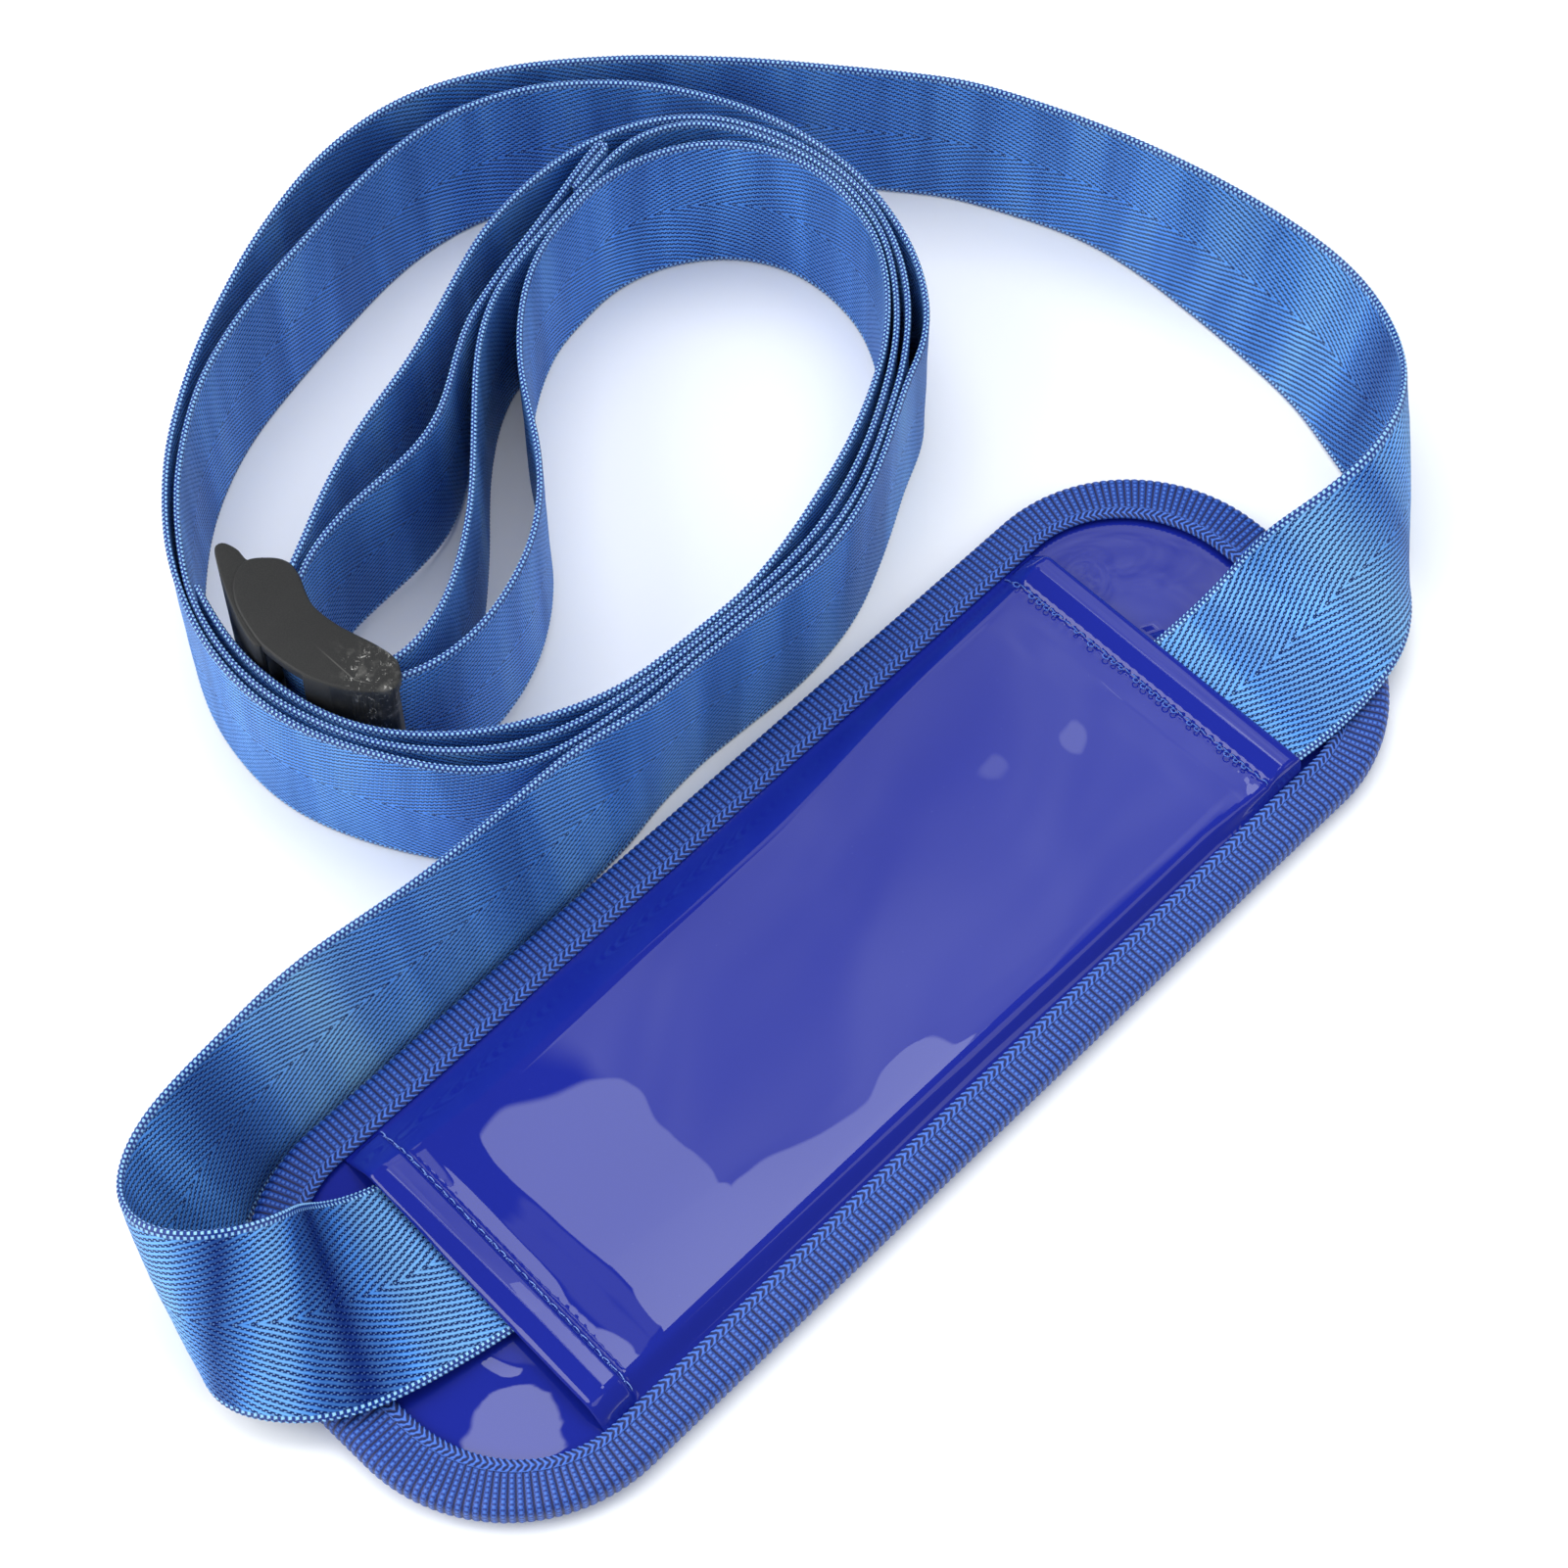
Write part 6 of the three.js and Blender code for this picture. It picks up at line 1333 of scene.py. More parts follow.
def inset_of(x, y):
    """How far (x, y) lies inside the pad's outline."""
    qx, qy = np.abs(x) - CORNER_X, np.abs(y) - CORNER_Y
    outside = np.hypot(np.maximum(qx, 0), np.maximum(qy, 0))
    return -(outside + np.minimum(np.maximum(qx, qy), 0) - PAD_RADIUS)


# ---------------------------------------------------------------------------------------
# binding tape
# ---------------------------------------------------------------------------------------
SAMPLES_PER_CORD = 6
STRIP_INSET = 9.4  # the braided strip begins here
TOP_INSETS = (12.0, 11.5, 10.9, 10.3, 9.6, 8.4, 7.2, 6.0, 4.8, 3.6)
BOTTOM_INSETS = (4.8, 7.2, 9.6, 12.0)
# inside of the fold: inset, z
INNER_SECTION = [(12.0, 1.15), (6.0, 1.15), (2.2, 1.4), (1.0, 2.6),
                 (1.0, 5.6), (2.2, 6.9), (6.0, 7.15), (12.0, 7.15)]


def tape_section():
    """Outside of the folded tape, from the top: inset, z, outward x, outward z."""
    r = TAPE_FOLD_RADIUS

    def quarter(centre_z, start_angle):
        angles = [start_angle - k * math.pi / 12 for k in range(7)]
        return [(r - r * math.cos(a), centre_z + r * math.sin(a), -math.cos(a), math.sin(a))
                for a in angles]

    section = [(inset, TAPE_FOLD_TOP + r, 0.0, 1.0) for inset in TOP_INSETS]
    section += quarter(TAPE_FOLD_TOP, math.pi / 2)
    section.append((0.0, (TAPE_FOLD_TOP + TAPE_FOLD_BOTTOM) / 2, -1.0, 0.0))
    section += quarter(TAPE_FOLD_BOTTOM, 0.0)
    section += [(inset, TAPE_FOLD_BOTTOM - r, 0.0, -1.0) for inset in BOTTOM_INSETS]
    return section


def build_binding():
    cord_count = int(round(PERIMETER / CORD_PITCH))
    real_pitch = PERIMETER / cord_count
    samples = cord_count * SAMPLES_PER_CORD
    along = np.arange(samples) * (PERIMETER / samples)
    rows = outline(along)
    nx, ny = np.cos(rows[:, 2]), np.sin(rows[:, 2])
    cords = along / real_pitch
    cord_height = 0.30 * (np.abs(np.cos(math.pi * cords)) ** 0.8) - 0.12
    wander = 0.18 * np.sin(along / 23.0 + 1.0) + 0.12 * np.sin(along / 11.0)

    verts, weave = [], []
    around = 0.0
    previous = None
    for inset, z, out_x, out_z in tape_section():
        if previous is not None:
            around += math.hypot(inset - previous[0], z - previous[1])
        previous = (inset, z)
        if inset > STRIP_INSET:
            height = 0.20 * np.cos(TAU * (cords + 0.55 * abs(inset - 10.9))) + 0.06
        else:
            height = cord_height
        scallop = 0.22 * np.cos(TAU * cords) if inset == TAPE_DEPTH else 0.0
        actual = inset + scallop + wander * 0.5 * smooth01(inset / TAPE_DEPTH)
        xy = at_inset(rows, actual, TAPE_END_EXTRA * min(1.0, inset / TAPE_DEPTH))
        verts.append(np.stack([xy[:, 0] - nx * out_x * height,
                               xy[:, 1] - ny * out_x * height,
                               np.full(samples, z) + out_z * height], 1))
        weave.append(np.stack([np.full(samples, inset), along * (CORD_PITCH / real_pitch),
                               np.full(samples, around)], 1))
    for inset, z in INNER_SECTION:
        xy = at_inset(rows, inset, TAPE_END_EXTRA * min(1.0, inset / TAPE_DEPTH))
        verts.append(np.stack([xy[:, 0], xy[:, 1], np.full(samples, z)], 1))
        weave.append(np.stack([np.full(samples, inset), along, np.zeros(samples)], 1))
    verts, weave = np.array(verts), np.array(weave)
    faces = grid_faces(len(verts), samples, True, True)
    tape = outward(link("binding_grosgrain", verts.reshape(-1, 3) * MM, faces,
                        attrs={"bv": weave.reshape(-1, 3)}, mat=mat_binding))
    hand_over(tape, "binding_tape", "pad")


def ring_stitches(inset, z, rise, pitch):
    """Separate short stitches all round the pad, arching by rise."""
    count = int(round(PERIMETER / pitch))
    out = []
    for i in range(count):
        start = (i + 0.1) * PERIMETER / count
        end = (i + 0.9) * PERIMETER / count
        u = np.linspace(0, 1, 5)
        rows = outline(start + (end - start) * u)
        xy = at_inset(rows, inset, TAPE_END_EXTRA * inset / TAPE_DEPTH)
        out.append(np.c_[xy, z + rise * np.sin(math.pi * u)])
    return out


def build_binding_stitches():
    # name, CAD piece, z, rise, thread radius
    for name, replaces, z, rise, radius in (
        ("binding_stitches_top", "binding_thread_top", 7.86, 0.22, 0.16),
        ("binding_stitches_under", "binding_thread_bottom", 0.34, -0.18, 0.15),
    ):
        stitches = ring_stitches(inset=9.3, z=z, rise=rise, pitch=2.85)
        thread = thread_tubes(name, stitches, radius, mat_thread_dark)
        hand_over(thread, replaces, "pad")


build_binding()
build_binding_stitches()

# ---------------------------------------------------------------------------------------
# pad layers
# ---------------------------------------------------------------------------------------
VINYL_INSETS = [1.7, 4, 7, 10, 12, 13, 14, 15, 16, 17, 18.5, 20, 22, 24, 27, 30, 34, 38, 42, 46.5]
FOAM_INSETS = [2.4] + VINYL_INSETS[1:]
DIMPLE_X, DIMPLE_Y = 125.5, 32.0


def crown_at(inset):
    """Swell of the pad's upper side away from its edge."""
    return 1.1 * smooth01((inset - 12) / 24)


def crown(x, y):
    return crown_at(inset_of(x, y))


def dish(x, y):
    """Height of the pad's underside, which drops to 0 inside the tape."""
    return 1.5 * (1 - smooth01((inset_of(x, y) - 13.5) / 5))


def base_top(x, y):
    z = 5.9 + crown(x, y)
    # the vinyl lies in soft waves where nothing holds it down
    z = z + 0.22 * np.sin(x / 17.0 + y / 26.0) * smooth01((inset_of(x, y) - 12) / 8)
    # a small dimple with a raised rim
    d = np.hypot((x - DIMPLE_X) / 4.4, (y - DIMPLE_Y) / 3.8)
    return z - 0.48 * np.exp(-d * d * 1.6) + 0.15 * np.exp(-((d - 1.3) ** 2) * 5)


def pad_sheet(name, insets, top_z, bottom_z, mat, around=260):
    """A closed sheet over the pad's plan: rings from the edge in, then in to the long axis."""
    rows = outline(np.arange(around) * PERIMETER / around)
    rings = [at_inset(rows, inset) for inset in insets]
    innermost = rings[-1]
    for share in (0.25, 0.5, 0.75, 0.93):
        ring = innermost.copy()
        ring[:, 1] *= 1 - share
        rings.append(ring)
    verts = []
    for height in (top_z, bottom_z):
        for ring in rings:
            verts += list(np.c_[ring, height(ring[:, 0], ring[:, 1])])
    count = len(rings)
    under = count * around
    faces = grid_faces(count, around, False, True)
    faces += grid_faces(count, around, False, True, under)
    # close the slit on the long axis on both sides
    for layer in (0, 1):
        base = (layer * count + count - 1) * around
        faces.append([base + k for k in range(around)])
    # rim
    for k in range(around):
        following = (k + 1) % around
        faces.append([k, following, under + following, under + k])
    return outward(link(name, np.array(verts) * MM, faces, mat=mat))


def build_pad_layers():
    base = pad_sheet("pad_base_vinyl", VINYL_INSETS, base_top,
                     lambda x, y: 5.3 + crown(x, y), mat_vinyl)
    hand_over(base, "pad_base_sheet", "pad")
    foam = pad_sheet("foam_pad", FOAM_INSETS, lambda x, y: 4.9 + crown(x, y),
                     lambda x, y: 0.95 + dish(x, y), mat_foam)
    hand_over(foam, "foam_core", "pad")
    backing = pad_sheet("pad_backing_vinyl", VINYL_INSETS, lambda x, y: 0.6 + dish(x, y),
                        dish, mat_backing)
    hand_over(backing, "pad_backing_sheet", "pad")


build_pad_layers()

# ---------------------------------------------------------------------------------------
# sleeve
# ---------------------------------------------------------------------------------------
SHEET = 0.6  # vinyl thickness
END_ROUND = 1.3  # depth of the rounded fold at each end
SLEEVE_HALF_WIDTH = 57.2
FREE_HALF_WIDTH = 47.2  # finer rows out to here
HEM_HALF_WIDTH = 44.6
BESIDE_Y = 46.9  # the sleeve is down on the pad beyond this
# Under face along the webbing's +y and -y edges: x, z
HIGH_EDGE = [(-127, 13.2), (-126, 12.75), (-122, 11.45), (-118, 10.4), (-114, 9.95),
             (-108, 9.75), (108, 9.8), (114, 10.3), (118, 10.9), (122, 11.8)]
LOW_EDGE = [(-127, 10.5), (-122, 10.2), (-118, 10.0), (-112, 9.9), (-104, 9.85),
            (102, 9.95), (108, 10.3), (114, 10.8), (122, 11.6)]


def sleeve_underside(x, y):
    """Height of the sleeve's under face: over the webbing, then down to the pad beside it."""
    z_high = np.interp(x, *zip(*HIGH_EDGE))
    z_low = np.interp(x, *zip(*LOW_EDGE))
    web_y = 10.2 - 0.124 * (x + 123.2)  # middle of the webbing, which crosses at a slant
    high_y = np.maximum(web_y + 26.0, 34.0 + 0.02 * x + 4.0 * smooth01((x - 5) / 70))
    low_y = web_y - 25.7
    share = np.clip((y - low_y) / (high_y - low_y), 0, 1)
    over_web = z_low + (z_high - z_low) * share

    low_y = np.minimum(low_y, -40.5 - 1.2 * smooth01(x / 60))
    beside_z = 6.2
    high_slope = np.minimum(15, BESIDE_Y - high_y)
    low_slope = np.minimum(15, low_y + BESIDE_Y)
    drop = over_web - beside_z
    beyond_high = beside_z + drop * (1 - smooth01((y - high_y) / high_slope))
    beyond_low = beside_z + drop * (1 - smooth01((low_y - y) / low_slope))
    z = np.where(y > high_y, beyond_high, np.where(y < low_y, beyond_low, over_web))
    return np.maximum(z, 6.26 + crown_at(PAD_WIDTH / 2 - np.abs(y)))


def skew(x, y):
    """Shift in x that sets the sleeve's two ends at a slight slant."""
    slant = np.where(x < 0, 0.044 * (y - 10), 0.009 * (y + 20))
    return slant * smooth01((np.abs(x) - 60) / 55)


def sleeve_wave(x, y):
    """Soft waves of the vinyl over the webbing."""
    inside = (smooth01((47.0 - np.abs(y)) / 9.0) * smooth01((x - SLEEVE_X0 - 13) / 14)
              * smooth01((SLEEVE_X1 - 13 - x) / 14))
    lift = (0.12 + 0.030 * np.sin(x / 21.0 + y / 17.0)
            + 0.022 * np.sin(x / 11.0 - y / 14.0 + 1.0))
    return inside * lift


def sleeve_surfaces():
    """Grids over x and y of the sleeve's upper and under faces."""
    margin = np.linspace(FREE_HALF_WIDTH, SLEEVE_HALF_WIDTH, 5)[1:]
    ys = np.r_[np.linspace(-SLEEVE_HALF_WIDTH, -FREE_HALF_WIDTH, 5)[:-1],
               np.linspace(-FREE_HALF_WIDTH, FREE_HALF_WIDTH, 142), margin]
    from_end = np.r_[END_ROUND * (1 - np.cos(np.linspace(0, math.pi / 2, 7))),
                     np.linspace(1.7, 10.0, 20), np.linspace(10.3, 13.0, 12),
                     np.linspace(13.8, 20, 8)]
    xs = np.r_[SLEEVE_X0 + from_end, np.linspace(SLEEVE_X0 + 22, SLEEVE_X1 - 22, 150),
               (SLEEVE_X1 - from_end)[::-1]]
    x, y = np.meshgrid(xs, ys, indexing="ij")
    end = np.minimum(x - SLEEVE_X0, SLEEVE_X1 - x)  # distance from the nearer end
    under = sleeve_underside(x, y)

    # hems: doubled vinyl, flat at the -x end and rolled at the +x end
    free = 1 - smooth01((np.abs(y) - HEM_HALF_WIDTH) / 2.2)
    thick = SHEET + 0.65 * (1 - smooth01((end - 10.6) / 1.4)) * free
    rolled = 1.2 * (1 - np.abs(2 * np.clip(end / 10.8, 0, 1) - 1) ** 1.7)
    flat = (1.75 * (1 - (1 - np.clip(end / 5.8, 0, 1)) ** 1.4)
            * (1 - smooth01((end - 9.5) / 1.5)))
    body = thick + np.where(x < 0, flat, rolled) * free
    # puckers and a groove along the stitches
    pucker = (np.where(x < 0, 0.05, 0.15) * np.sin(y * TAU / 3.1 + 0.6 * np.sin(y / 5.0))
              * np.exp(-((end - HEM_DEPTH) / 1.1) ** 2) * free)
    groove = np.where(x < 0, -0.25, -0.42) * np.exp(-((end - HEM_DEPTH) / 0.75) ** 2) * free

    rim = np.sqrt(np.clip(1 - (1 - np.clip(end / END_ROUND, 0, 1)) ** 2, 0, 1))
    top_z = np.where(end < END_ROUND, under + body * (0.5 + 0.5 * rim),
                     under + (body + pucker * 0.6 + groove) + sleeve_wave(x, y))
    bottom_z = np.where(end < END_ROUND, under + body * 0.5 * (1 - rim), under)
    slanted_x = x + skew(x, y) * np.where(np.abs(y) > 50, 0.6, 1.0)
    return np.stack([slanted_x, y, top_z], -1), np.stack([slanted_x, y, bottom_z], -1)


def build_sleeve():
    top, bottom = sleeve_surfaces()
    loop = np.concatenate([top, bottom[::-1]], 0)  # closed loop in x, rows over y
    rows, columns = loop.shape[:2]
    faces = grid_faces(rows, columns, True, False)
    # close the two long edges with strips
    last = columns - 1
    for i in range(len(top) - 1):
        a, b = i * columns, (i + 1) * columns
        c, d = (rows - 2 - i) * columns, (rows - 1 - i) * columns
        faces.append([a, b, c, d])
        faces.append([a + last, d + last, c + last, b + last])
    sleeve = link("sleeve_vinyl", loop.reshape(-1, 3) * MM, faces, mat=mat_vinyl)
    # the two faces meet at the ends
    bm = bmesh.new()
    bm.from_mesh(sleeve.data)
    bmesh.ops.remove_doubles(bm, verts=bm.verts, dist=2e-6)
    bmesh.ops.recalc_face_normals(bm, faces=bm.faces)
    bm.to_mesh(sleeve.data)
    bm.free()
    sleeve.data.polygons.foreach_set("use_smooth", [True] * len(sleeve.data.polygons))
    hand_over(sleeve, "sleeve_sheet", "pad")


def hem_stitches(hem_x, loop_share, loop_size, seed):
    """The line of stitches through a hem, with the loose loops it throws up."""
    pitch = 2.6
    random = np.random.default_rng(seed)

    def slanted(y):
        return hem_x + float(skew(np.array([hem_x]), np.array([y]))[0])

    def surface(y):
        return float(sleeve_underside(np.array([hem_x]), np.array([y]))[0]) + SHEET + 0.3

    out = []
    start_y = -HEM_HALF_WIDTH
    while start_y < HEM_HALF_WIDTH:
        stitch = []
        for w in np.linspace(0, 1, 6):
            y = start_y + pitch * (0.06 + 0.88 * w)
            stitch.append((slanted(y) + 0.12 * math.sin(y * 1.7), y,
                           surface(y) + 0.05 + 0.3 * math.sin(math.pi * w)))
        out.append(np.array(stitch))
        if random.random() < loop_share:
            y = start_y + pitch
            x, z = slanted(y), surface(y)
            radius = (0.30 + 0.3 * random.random()) * loop_size
            shift = random.random() * 0.2
            out.append(np.array([
                (x - (0.2 + radius * (1 - math.cos(u))) * 0.9,
                 y + radius * math.sin(u) + shift,
                 z + 0.35 + 0.7 * radius * math.sin(u / 2))
                for u in np.linspace(0, TAU * 0.92, 12)]))
        start_y += pitch
    return out


def build_hem_stitches():
    left = hem_stitches(SLEEVE_X0 + HEM_DEPTH, loop_share=0.35, loop_size=1.0, seed=3)
    thread = thread_tubes("hem_stitches_left", left, 0.15, mat_thread)
    hand_over(thread, "hem_thread_left", "pad")
    right = hem_stitches(SLEEVE_X1 - HEM_DEPTH, loop_share=0.62, loop_size=1.5, seed=5)
    thread = thread_tubes("hem_stitches_right", right, 0.17, mat_thread_dark)
    hand_over(thread, "hem_thread_right", "pad")


build_sleeve()
build_hem_stitches()

# ---------------------------------------------------------------------------------------
# buckle
# ---------------------------------------------------------------------------------------
# Outlines in plan: x, y.
WALL = [
    (-49.6, 160.2), (-52.0, 157.1), (-53.9, 153.3), (-55.6, 147.6), (-56.6, 142.5),
    (-56.6, 138.0), (-56.2, 133.1), (-55.1, 127.2), (-52.9, 121.4), (-49.9, 116.2),
    (-46.3, 111.9), (-43.2, 109.7), (-40.6, 109.9), (-38.4, 111.4), (-36.7, 114.2),
    (-36.3, 117.0), (-36.7, 120.3), (-37.5, 124.1), (-38.7, 128.5), (-39.7, 132.9),
    (-40.2, 138.1), (-40.0, 141.8), (-38.7, 145.5), (-37.0, 149.2), (-36.1, 152.0),
    (-35.8, 154.5), (-36.7, 157.3), (-38.9, 160.0), (-42.2, 162.6), (-46.0, 162.6),
]
LIP = [
    (-42.4, 163.2), (-42.0, 167.0), (-42.9, 170.6), (-44.4, 171.7), (-46.2, 170.9),
    (-49.6, 165.2), (-53.2, 157.6), (-56.0, 150.6), (-57.4, 145.4), (-57.5, 142.6),
    (-56.3, 141.6), (-54.9, 143.8), (-53.3, 149.6), (-50.9, 154.4), (-47.6, 157.6),
    (-43.4, 159.9), (-39.2, 160.6), (-41.0, 162.0),
]
HEEL = [
    (-55.5, 128.2), (-55.1, 126.6), (-52.9, 121.4), (-49.9, 116.2), (-46.3, 111.9),
    (-43.2, 109.7), (-41.2, 109.8), (-40.4, 110.6), (-42.4, 111.9), (-46.0, 115.5),
    (-49.2, 120.0), (-51.6, 124.4), (-53.4, 129.0), (-54.6, 129.4),
]
BAR_X, BAR_Y, BAR_RADIUS = -44.9, 137.6, 3.1
BAR = [(BAR_X + BAR_RADIUS * math.cos(u), BAR_Y + BAR_RADIUS * math.sin(u))
       for u in np.linspace(0, TAU, 16, endpoint=False)]
WALL_THICKNESS = 3.5


def prism(name, points, z0, z1, radius, steps, count):
    """Upright prism over a smooth outline, its two rims rounded to radius in steps."""
    plan = closed_spline(points, count)
    following = np.roll(plan, -1, 0)
    area = 0.5 * np.sum(plan[:, 0] * following[:, 1] - following[:, 0] * plan[:, 1])
    if area < 0:
        plan = plan[::-1]
    forward = np.roll(plan, -1, 0) - np.roll(plan, 1, 0)
    forward /= np.linalg.norm(forward, axis=1)[:, None]
    normal = np.stack([forward[:, 1], -forward[:, 0]], 1)
    levels = [(z0, 0.0), (z1, 0.0)]  # height, inset
    if radius > 0:
        rim = []
        for k in range(steps + 1):
            angle = math.pi / 2 * k / steps
            rim.append((radius * (1 - math.cos(angle)), radius * (1 - math.sin(angle))))
        levels = [(z0 + rise, inset) for rise, inset in rim]
        levels += [(z1 - rise, inset) for rise, inset in reversed(rim)]
    verts = np.array([np.c_[plan - normal * inset, np.full(count, z)] for z, inset in levels])
    faces = grid_faces(len(levels), count, False, True)
    faces.append(list(range(count))[::-1])
    faces.append([(len(levels) - 1) * count + j for j in range(count)])
    return outward(link(name, verts.reshape(-1, 3) * MM, faces, smooth=False, mat=mat_buckle))


def join_solid(body, part):
    """Unite part into body and remove it."""
    modifier = body.modifiers.new("u", "BOOLEAN")
    modifier.operation = "UNION"
    modifier.solver = "MANIFOLD"
    modifier.object = part
    depsgraph = bpy.context.evaluated_depsgraph_get()
    mesh = bpy.data.meshes.new_from_object(body.evaluated_get(depsgraph))
    body.modifiers.clear()
    body.data = mesh
    bpy.data.objects.remove(part)


def build_buckle():
    """Two side walls joined by a lip, a heel and a round bar."""
    buckle = prism("buckle_moulded", WALL, 0.0, WALL_THICKNESS, 0.7, 4, 120)
    # name, outline, bottom, top, rim radius, rim steps, outline samples
    for part in (
        ("w2", WALL, BUCKLE_WIDTH - WALL_THICKNESS, BUCKLE_WIDTH, 0.7, 4, 120),
        ("lip", LIP, 0.6, BUCKLE_WIDTH - 0.6, 0.6, 3, 90),
        ("heel", HEEL, 0.35, BUCKLE_WIDTH - 0.35, 0.3, 2, 80),
        ("bar", BAR, 1.0, BUCKLE_WIDTH - 1.0, 0.0, 1, 40),
    ):
        join_solid(buckle, prism(*part))
    buckle.data.materials.clear()
    buckle.data.materials.append(mat_buckle)
    # smooth shading with sharp edges kept
    bm = bmesh.new()
    bm.from_mesh(buckle.data)
    bmesh.ops.remove_doubles(bm, verts=bm.verts, dist=1e-6)
    bmesh.ops.recalc_face_normals(bm, faces=bm.faces)
    for edge in bm.edges:
        if len(edge.link_faces) == 2 and edge.calc_face_angle(0) > math.radians(28):
            edge.smooth = False
    for face in bm.faces:
        face.smooth = True
    bm.to_mesh(buckle.data)
    bm.free()
    hand_over(buckle, "buckle_frame", "buckle")


build_buckle()

# ---------------------------------------------------------------------------------------
# stage, light and camera (metres)
# ---------------------------------------------------------------------------------------
FLOOR_HALF, FLOOR_Z = 4, -0.0004
CAMERA_AT = Vector((-0.3164, -0.2903, 0.8357))
AIM = Vector((0.0283, 0.0473, 0.0))
HALF_VIEW_TANGENT = 0.20738342  # tangent of half the camera's angle of view
AHEAD = Vector((AIM.x - CAMERA_AT.x, AIM.y - CAMERA_AT.y, 0)).normalized()
RIGHT = Vector((AHEAD.y, -AHEAD.x, 0))
UP = Vector((0, 0, 1))


def build_floor():
    corners = [(-1, -1), (1, -1), (1, 1), (-1, 1)]
    floor = link("floor", [(x * FLOOR_HALF, y * FLOOR_HALF, FLOOR_Z) for x, y in corners],
                 [(0, 1, 2, 3)], smooth=False)
    m = Material("floor_white")
    colour = m.mix(m.noise(scale=3.0), (0.93, 0.94, 0.955, 1), (0.945, 0.95, 0.96, 1))
    # out beyond the lamps the floor would fade to grey, so it brightens a little there
    x, y, _ = m.separate(m.position())
    glow = (x * x + y * y).pow(0.5).ramp(start=0.7, end=2.2) * 0.42
    m.set(Base_Color=colour, Roughness=0.6, Specular_IOR_Level=0.2,
          Emission_Color=(0.97, 0.99, 1.0, 1.0), Emission_Strength=glow)
    floor.data.materials.append(m.material)


def softbox(name, azimuth, elevation, distance, width, height, radiance):
    """An area light facing AIM; azimuth 0 is straight past the object as the camera looks,
    + to the right."""
    a, e = math.radians(azimuth), math.radians(elevation)
    z = (AHEAD * math.cos(a) + RIGHT * math.sin(a)) * math.cos(e) + UP * math.sin(e)
    y = (UP - z * z.z).normalized()
    x = y.cross(z)
    at = AIM + z * distance
    light = bpy.data.lights.new(name, "AREA")
    light.shape = "RECTANGLE"
    light.size, light.size_y = width, height
    light.energy = radiance * math.pi * width * height
    lamp = bpy.data.objects.new(name, light)
    bpy.context.scene.collection.objects.link(lamp)
    lamp.matrix_world = Matrix(((x.x, y.x, z.x, at.x), (x.y, y.y, z.y, at.y),
                                (x.z, y.z, z.z, at.z), (0, 0, 0, 1)))
    return lamp


def build_lights():
    over = softbox("box_over", azimuth=6, elevation=76, distance=1.5,
                   width=1.3, height=0.95, radiance=3.3)
    over.visible_glossy = False
    softbox("box_left", azimuth=-96, elevation=38, distance=1.7,
            width=1.2, height=1.2, radiance=3.6)
    softbox("box_front", azimuth=178, elevation=50, distance=2.2,
            width=1.2, height=0.8, radiance=1.2)
    softbox("box_right", azimuth=100, elevation=40, distance=2.2,
            width=0.9, height=0.9, radiance=1.0)


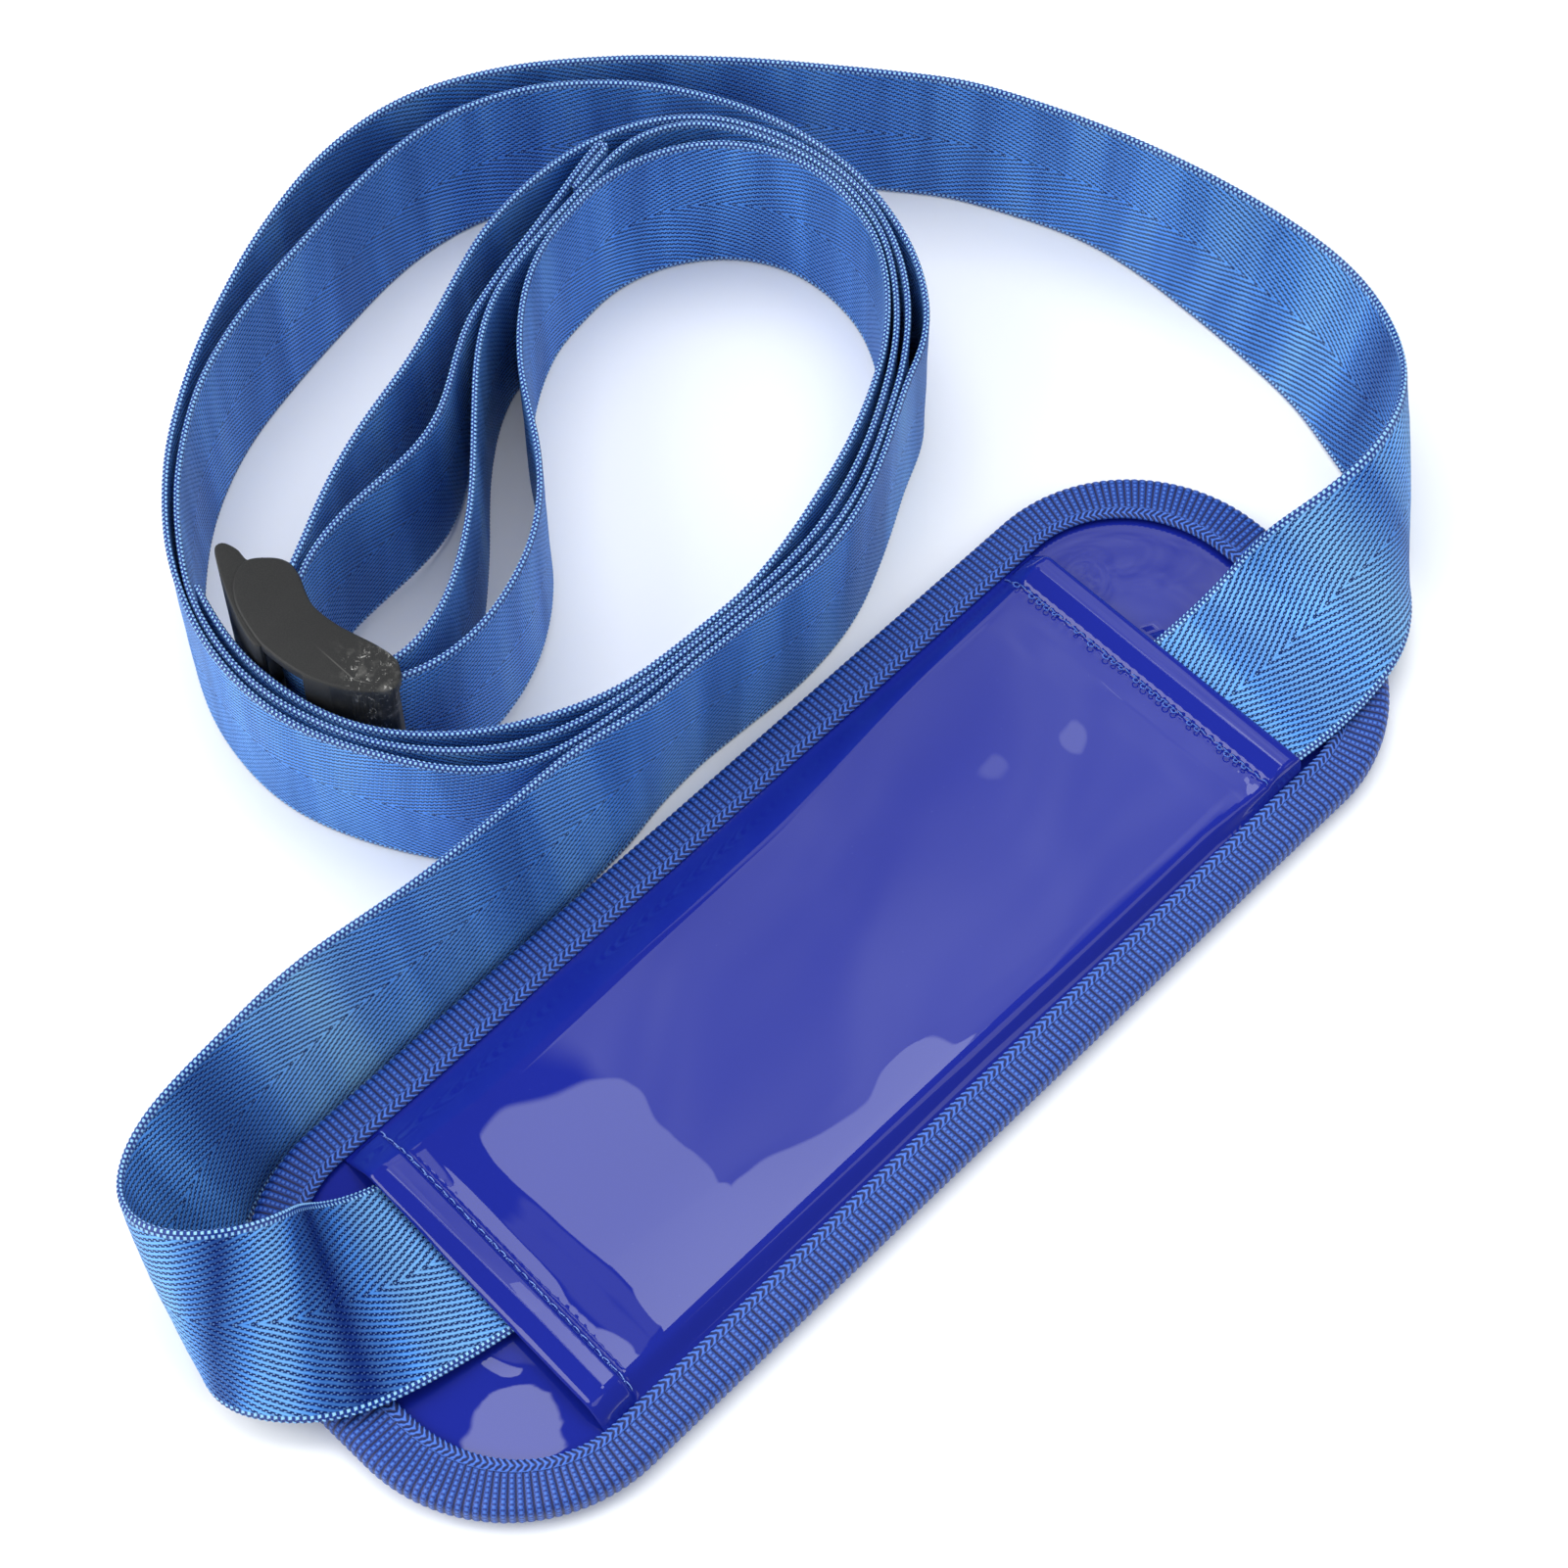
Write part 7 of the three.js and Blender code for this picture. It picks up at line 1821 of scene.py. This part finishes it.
def build_world():
    """The room above: soft even light for the cloth and the floor, and in mirror-like faces
    a dim ceiling with a grey panel and a bright one. The panels' outlines are given on the
    plane a level mirror at the pad would show them on from the camera, in millimetres."""
    ambient = 0.74  # light on everything but mirror-like faces
    backdrop = 0.95  # what the camera sees directly
    ceiling = 0.16
    horizon = 0.35

    world = bpy.data.worlds.new("studio")
    bpy.context.scene.world = world
    world.use_nodes = True
    w = Graph(world.node_tree)
    dx, dy, dz = w.separate(w.source("ShaderNodeTexCoord", "Generated"))
    steep = dz.max(0.02)
    x = dx / steep * (CAMERA_AT.z * TO_MM) + CAMERA_AT.x * TO_MM
    y = dy / steep * (CAMERA_AT.z * TO_MM) + CAMERA_AT.y * TO_MM
    flat = w.combine(x, y)
    # panel outlines waver by a few millimetres
    wavy_x = x + (w.noise(scale=0.035, at=flat) - 0.5) * 16.0
    wavy_y = y + (w.noise(scale=0.030, at=w.combine(x, y, 9.0)) - 0.5) * 16.0

    def panel(x0, x1, y0, y1, radius, soft):
        """1 inside a rounded rectangle, falling to 0 over soft mm at its outline."""
        ax = (wavy_x - (x0 + x1) / 2).abs() - ((x1 - x0) / 2 - radius)
        ay = (wavy_y - (y0 + y1) / 2).abs() - ((y1 - y0) / 2 - radius)
        px, py = ax.max(0.0), ay.max(0.0)
        distance = (px * px + py * py).pow(0.5) + ax.max(ay).min(0.0) - radius
        return distance.ramp(start=soft, end=0.0)

    grey = panel(x0=-62, x1=420, y0=-60, y1=60, radius=12, soft=9)
    grey = grey.max(panel(x0=30, x1=480, y0=-60, y1=3000, radius=30, soft=24) * 0.9)
    bright = panel(x0=-103, x1=-57, y0=-80, y1=33, radius=18, soft=1.6)
    bright = bright.max(panel(x0=-110, x1=8, y0=-80, y1=-25, radius=9, soft=1.6))
    bright = bright.max(panel(x0=-330, x1=-150, y0=-200, y1=-62, radius=30, soft=6))
    bright = bright.max(panel(x0=-152, x1=-130, y0=-40, y1=0, radius=10, soft=2))
    hem = panel(x0=-122, x1=-110, y0=-44, y1=12, radius=5, soft=4) * 0.55
    glint = panel(x0=91.5, x1=99.5, y0=5, y1=10, radius=2, soft=2.5) * 2.7
    glint = glint.max(panel(x0=65.5, x1=71.5, y0=18, y1=21, radius=1.2, soft=4) * 2.0)

    # uneven shade over the grey panel: broad clouds and slanting streaks
    slanting = w.combine(x * 0.35 + y * 0.30, y * 1.5 - x * 0.55)
    clouds = w.noise(scale=0.012, at=flat).ramp(start=0.3, end=0.7, low=0.76, high=1.05)
    streaks = w.noise(scale=0.016, at=slanting, roughness=0.6)
    shade = clouds * streaks.ramp(start=0.30, end=0.70, low=0.72, high=1.16)
    room = (grey * 1.42 * shade).max(hem).max(glint)
    room = room.max(bright * y.ramp(start=0.0, end=-45.0, low=3.1, high=3.9)) + ceiling
    high = dz.ramp(start=0.02, end=0.25)
    room = room * high + (1.0 - high) * horizon

    light_path = w.tree.nodes.new("ShaderNodeLightPath")
    camera_ray = Socket(w.tree, light_path.outputs["Is Camera Ray"])
    mirror_ray = Socket(w.tree, light_path.outputs["Is Singular Ray"])
    strength = (camera_ray * backdrop
                + (1.0 - camera_ray) * (mirror_ray * room + (1.0 - mirror_ray) * ambient))
    background = w.tree.nodes.new("ShaderNodeBackground")
    background.inputs[0].default_value = (0.94, 0.985, 1.02, 1)
    feed(w.tree, strength, background.inputs[1])
    output = w.tree.nodes.new("ShaderNodeOutputWorld")
    w.tree.links.new(background.outputs[0], output.inputs[0])


def build_camera():
    lens = bpy.data.cameras.new("camera")
    lens.sensor_fit = "AUTO"
    lens.lens_unit = "FOV"
    lens.angle = 2 * math.atan(HALF_VIEW_TANGENT)
    lens.clip_start = 0.01
    camera = bpy.data.objects.new("camera", lens)
    bpy.context.scene.collection.objects.link(camera)
    camera.location = CAMERA_AT
    camera.rotation_euler = (AIM - CAMERA_AT).to_track_quat("-Z", "Y").to_euler()
    bpy.context.scene.camera = camera
    view = bpy.context.scene.view_settings
    view.view_transform = "Standard"
    view.look = "None"


build_floor()
build_lights()
build_world()
build_camera()
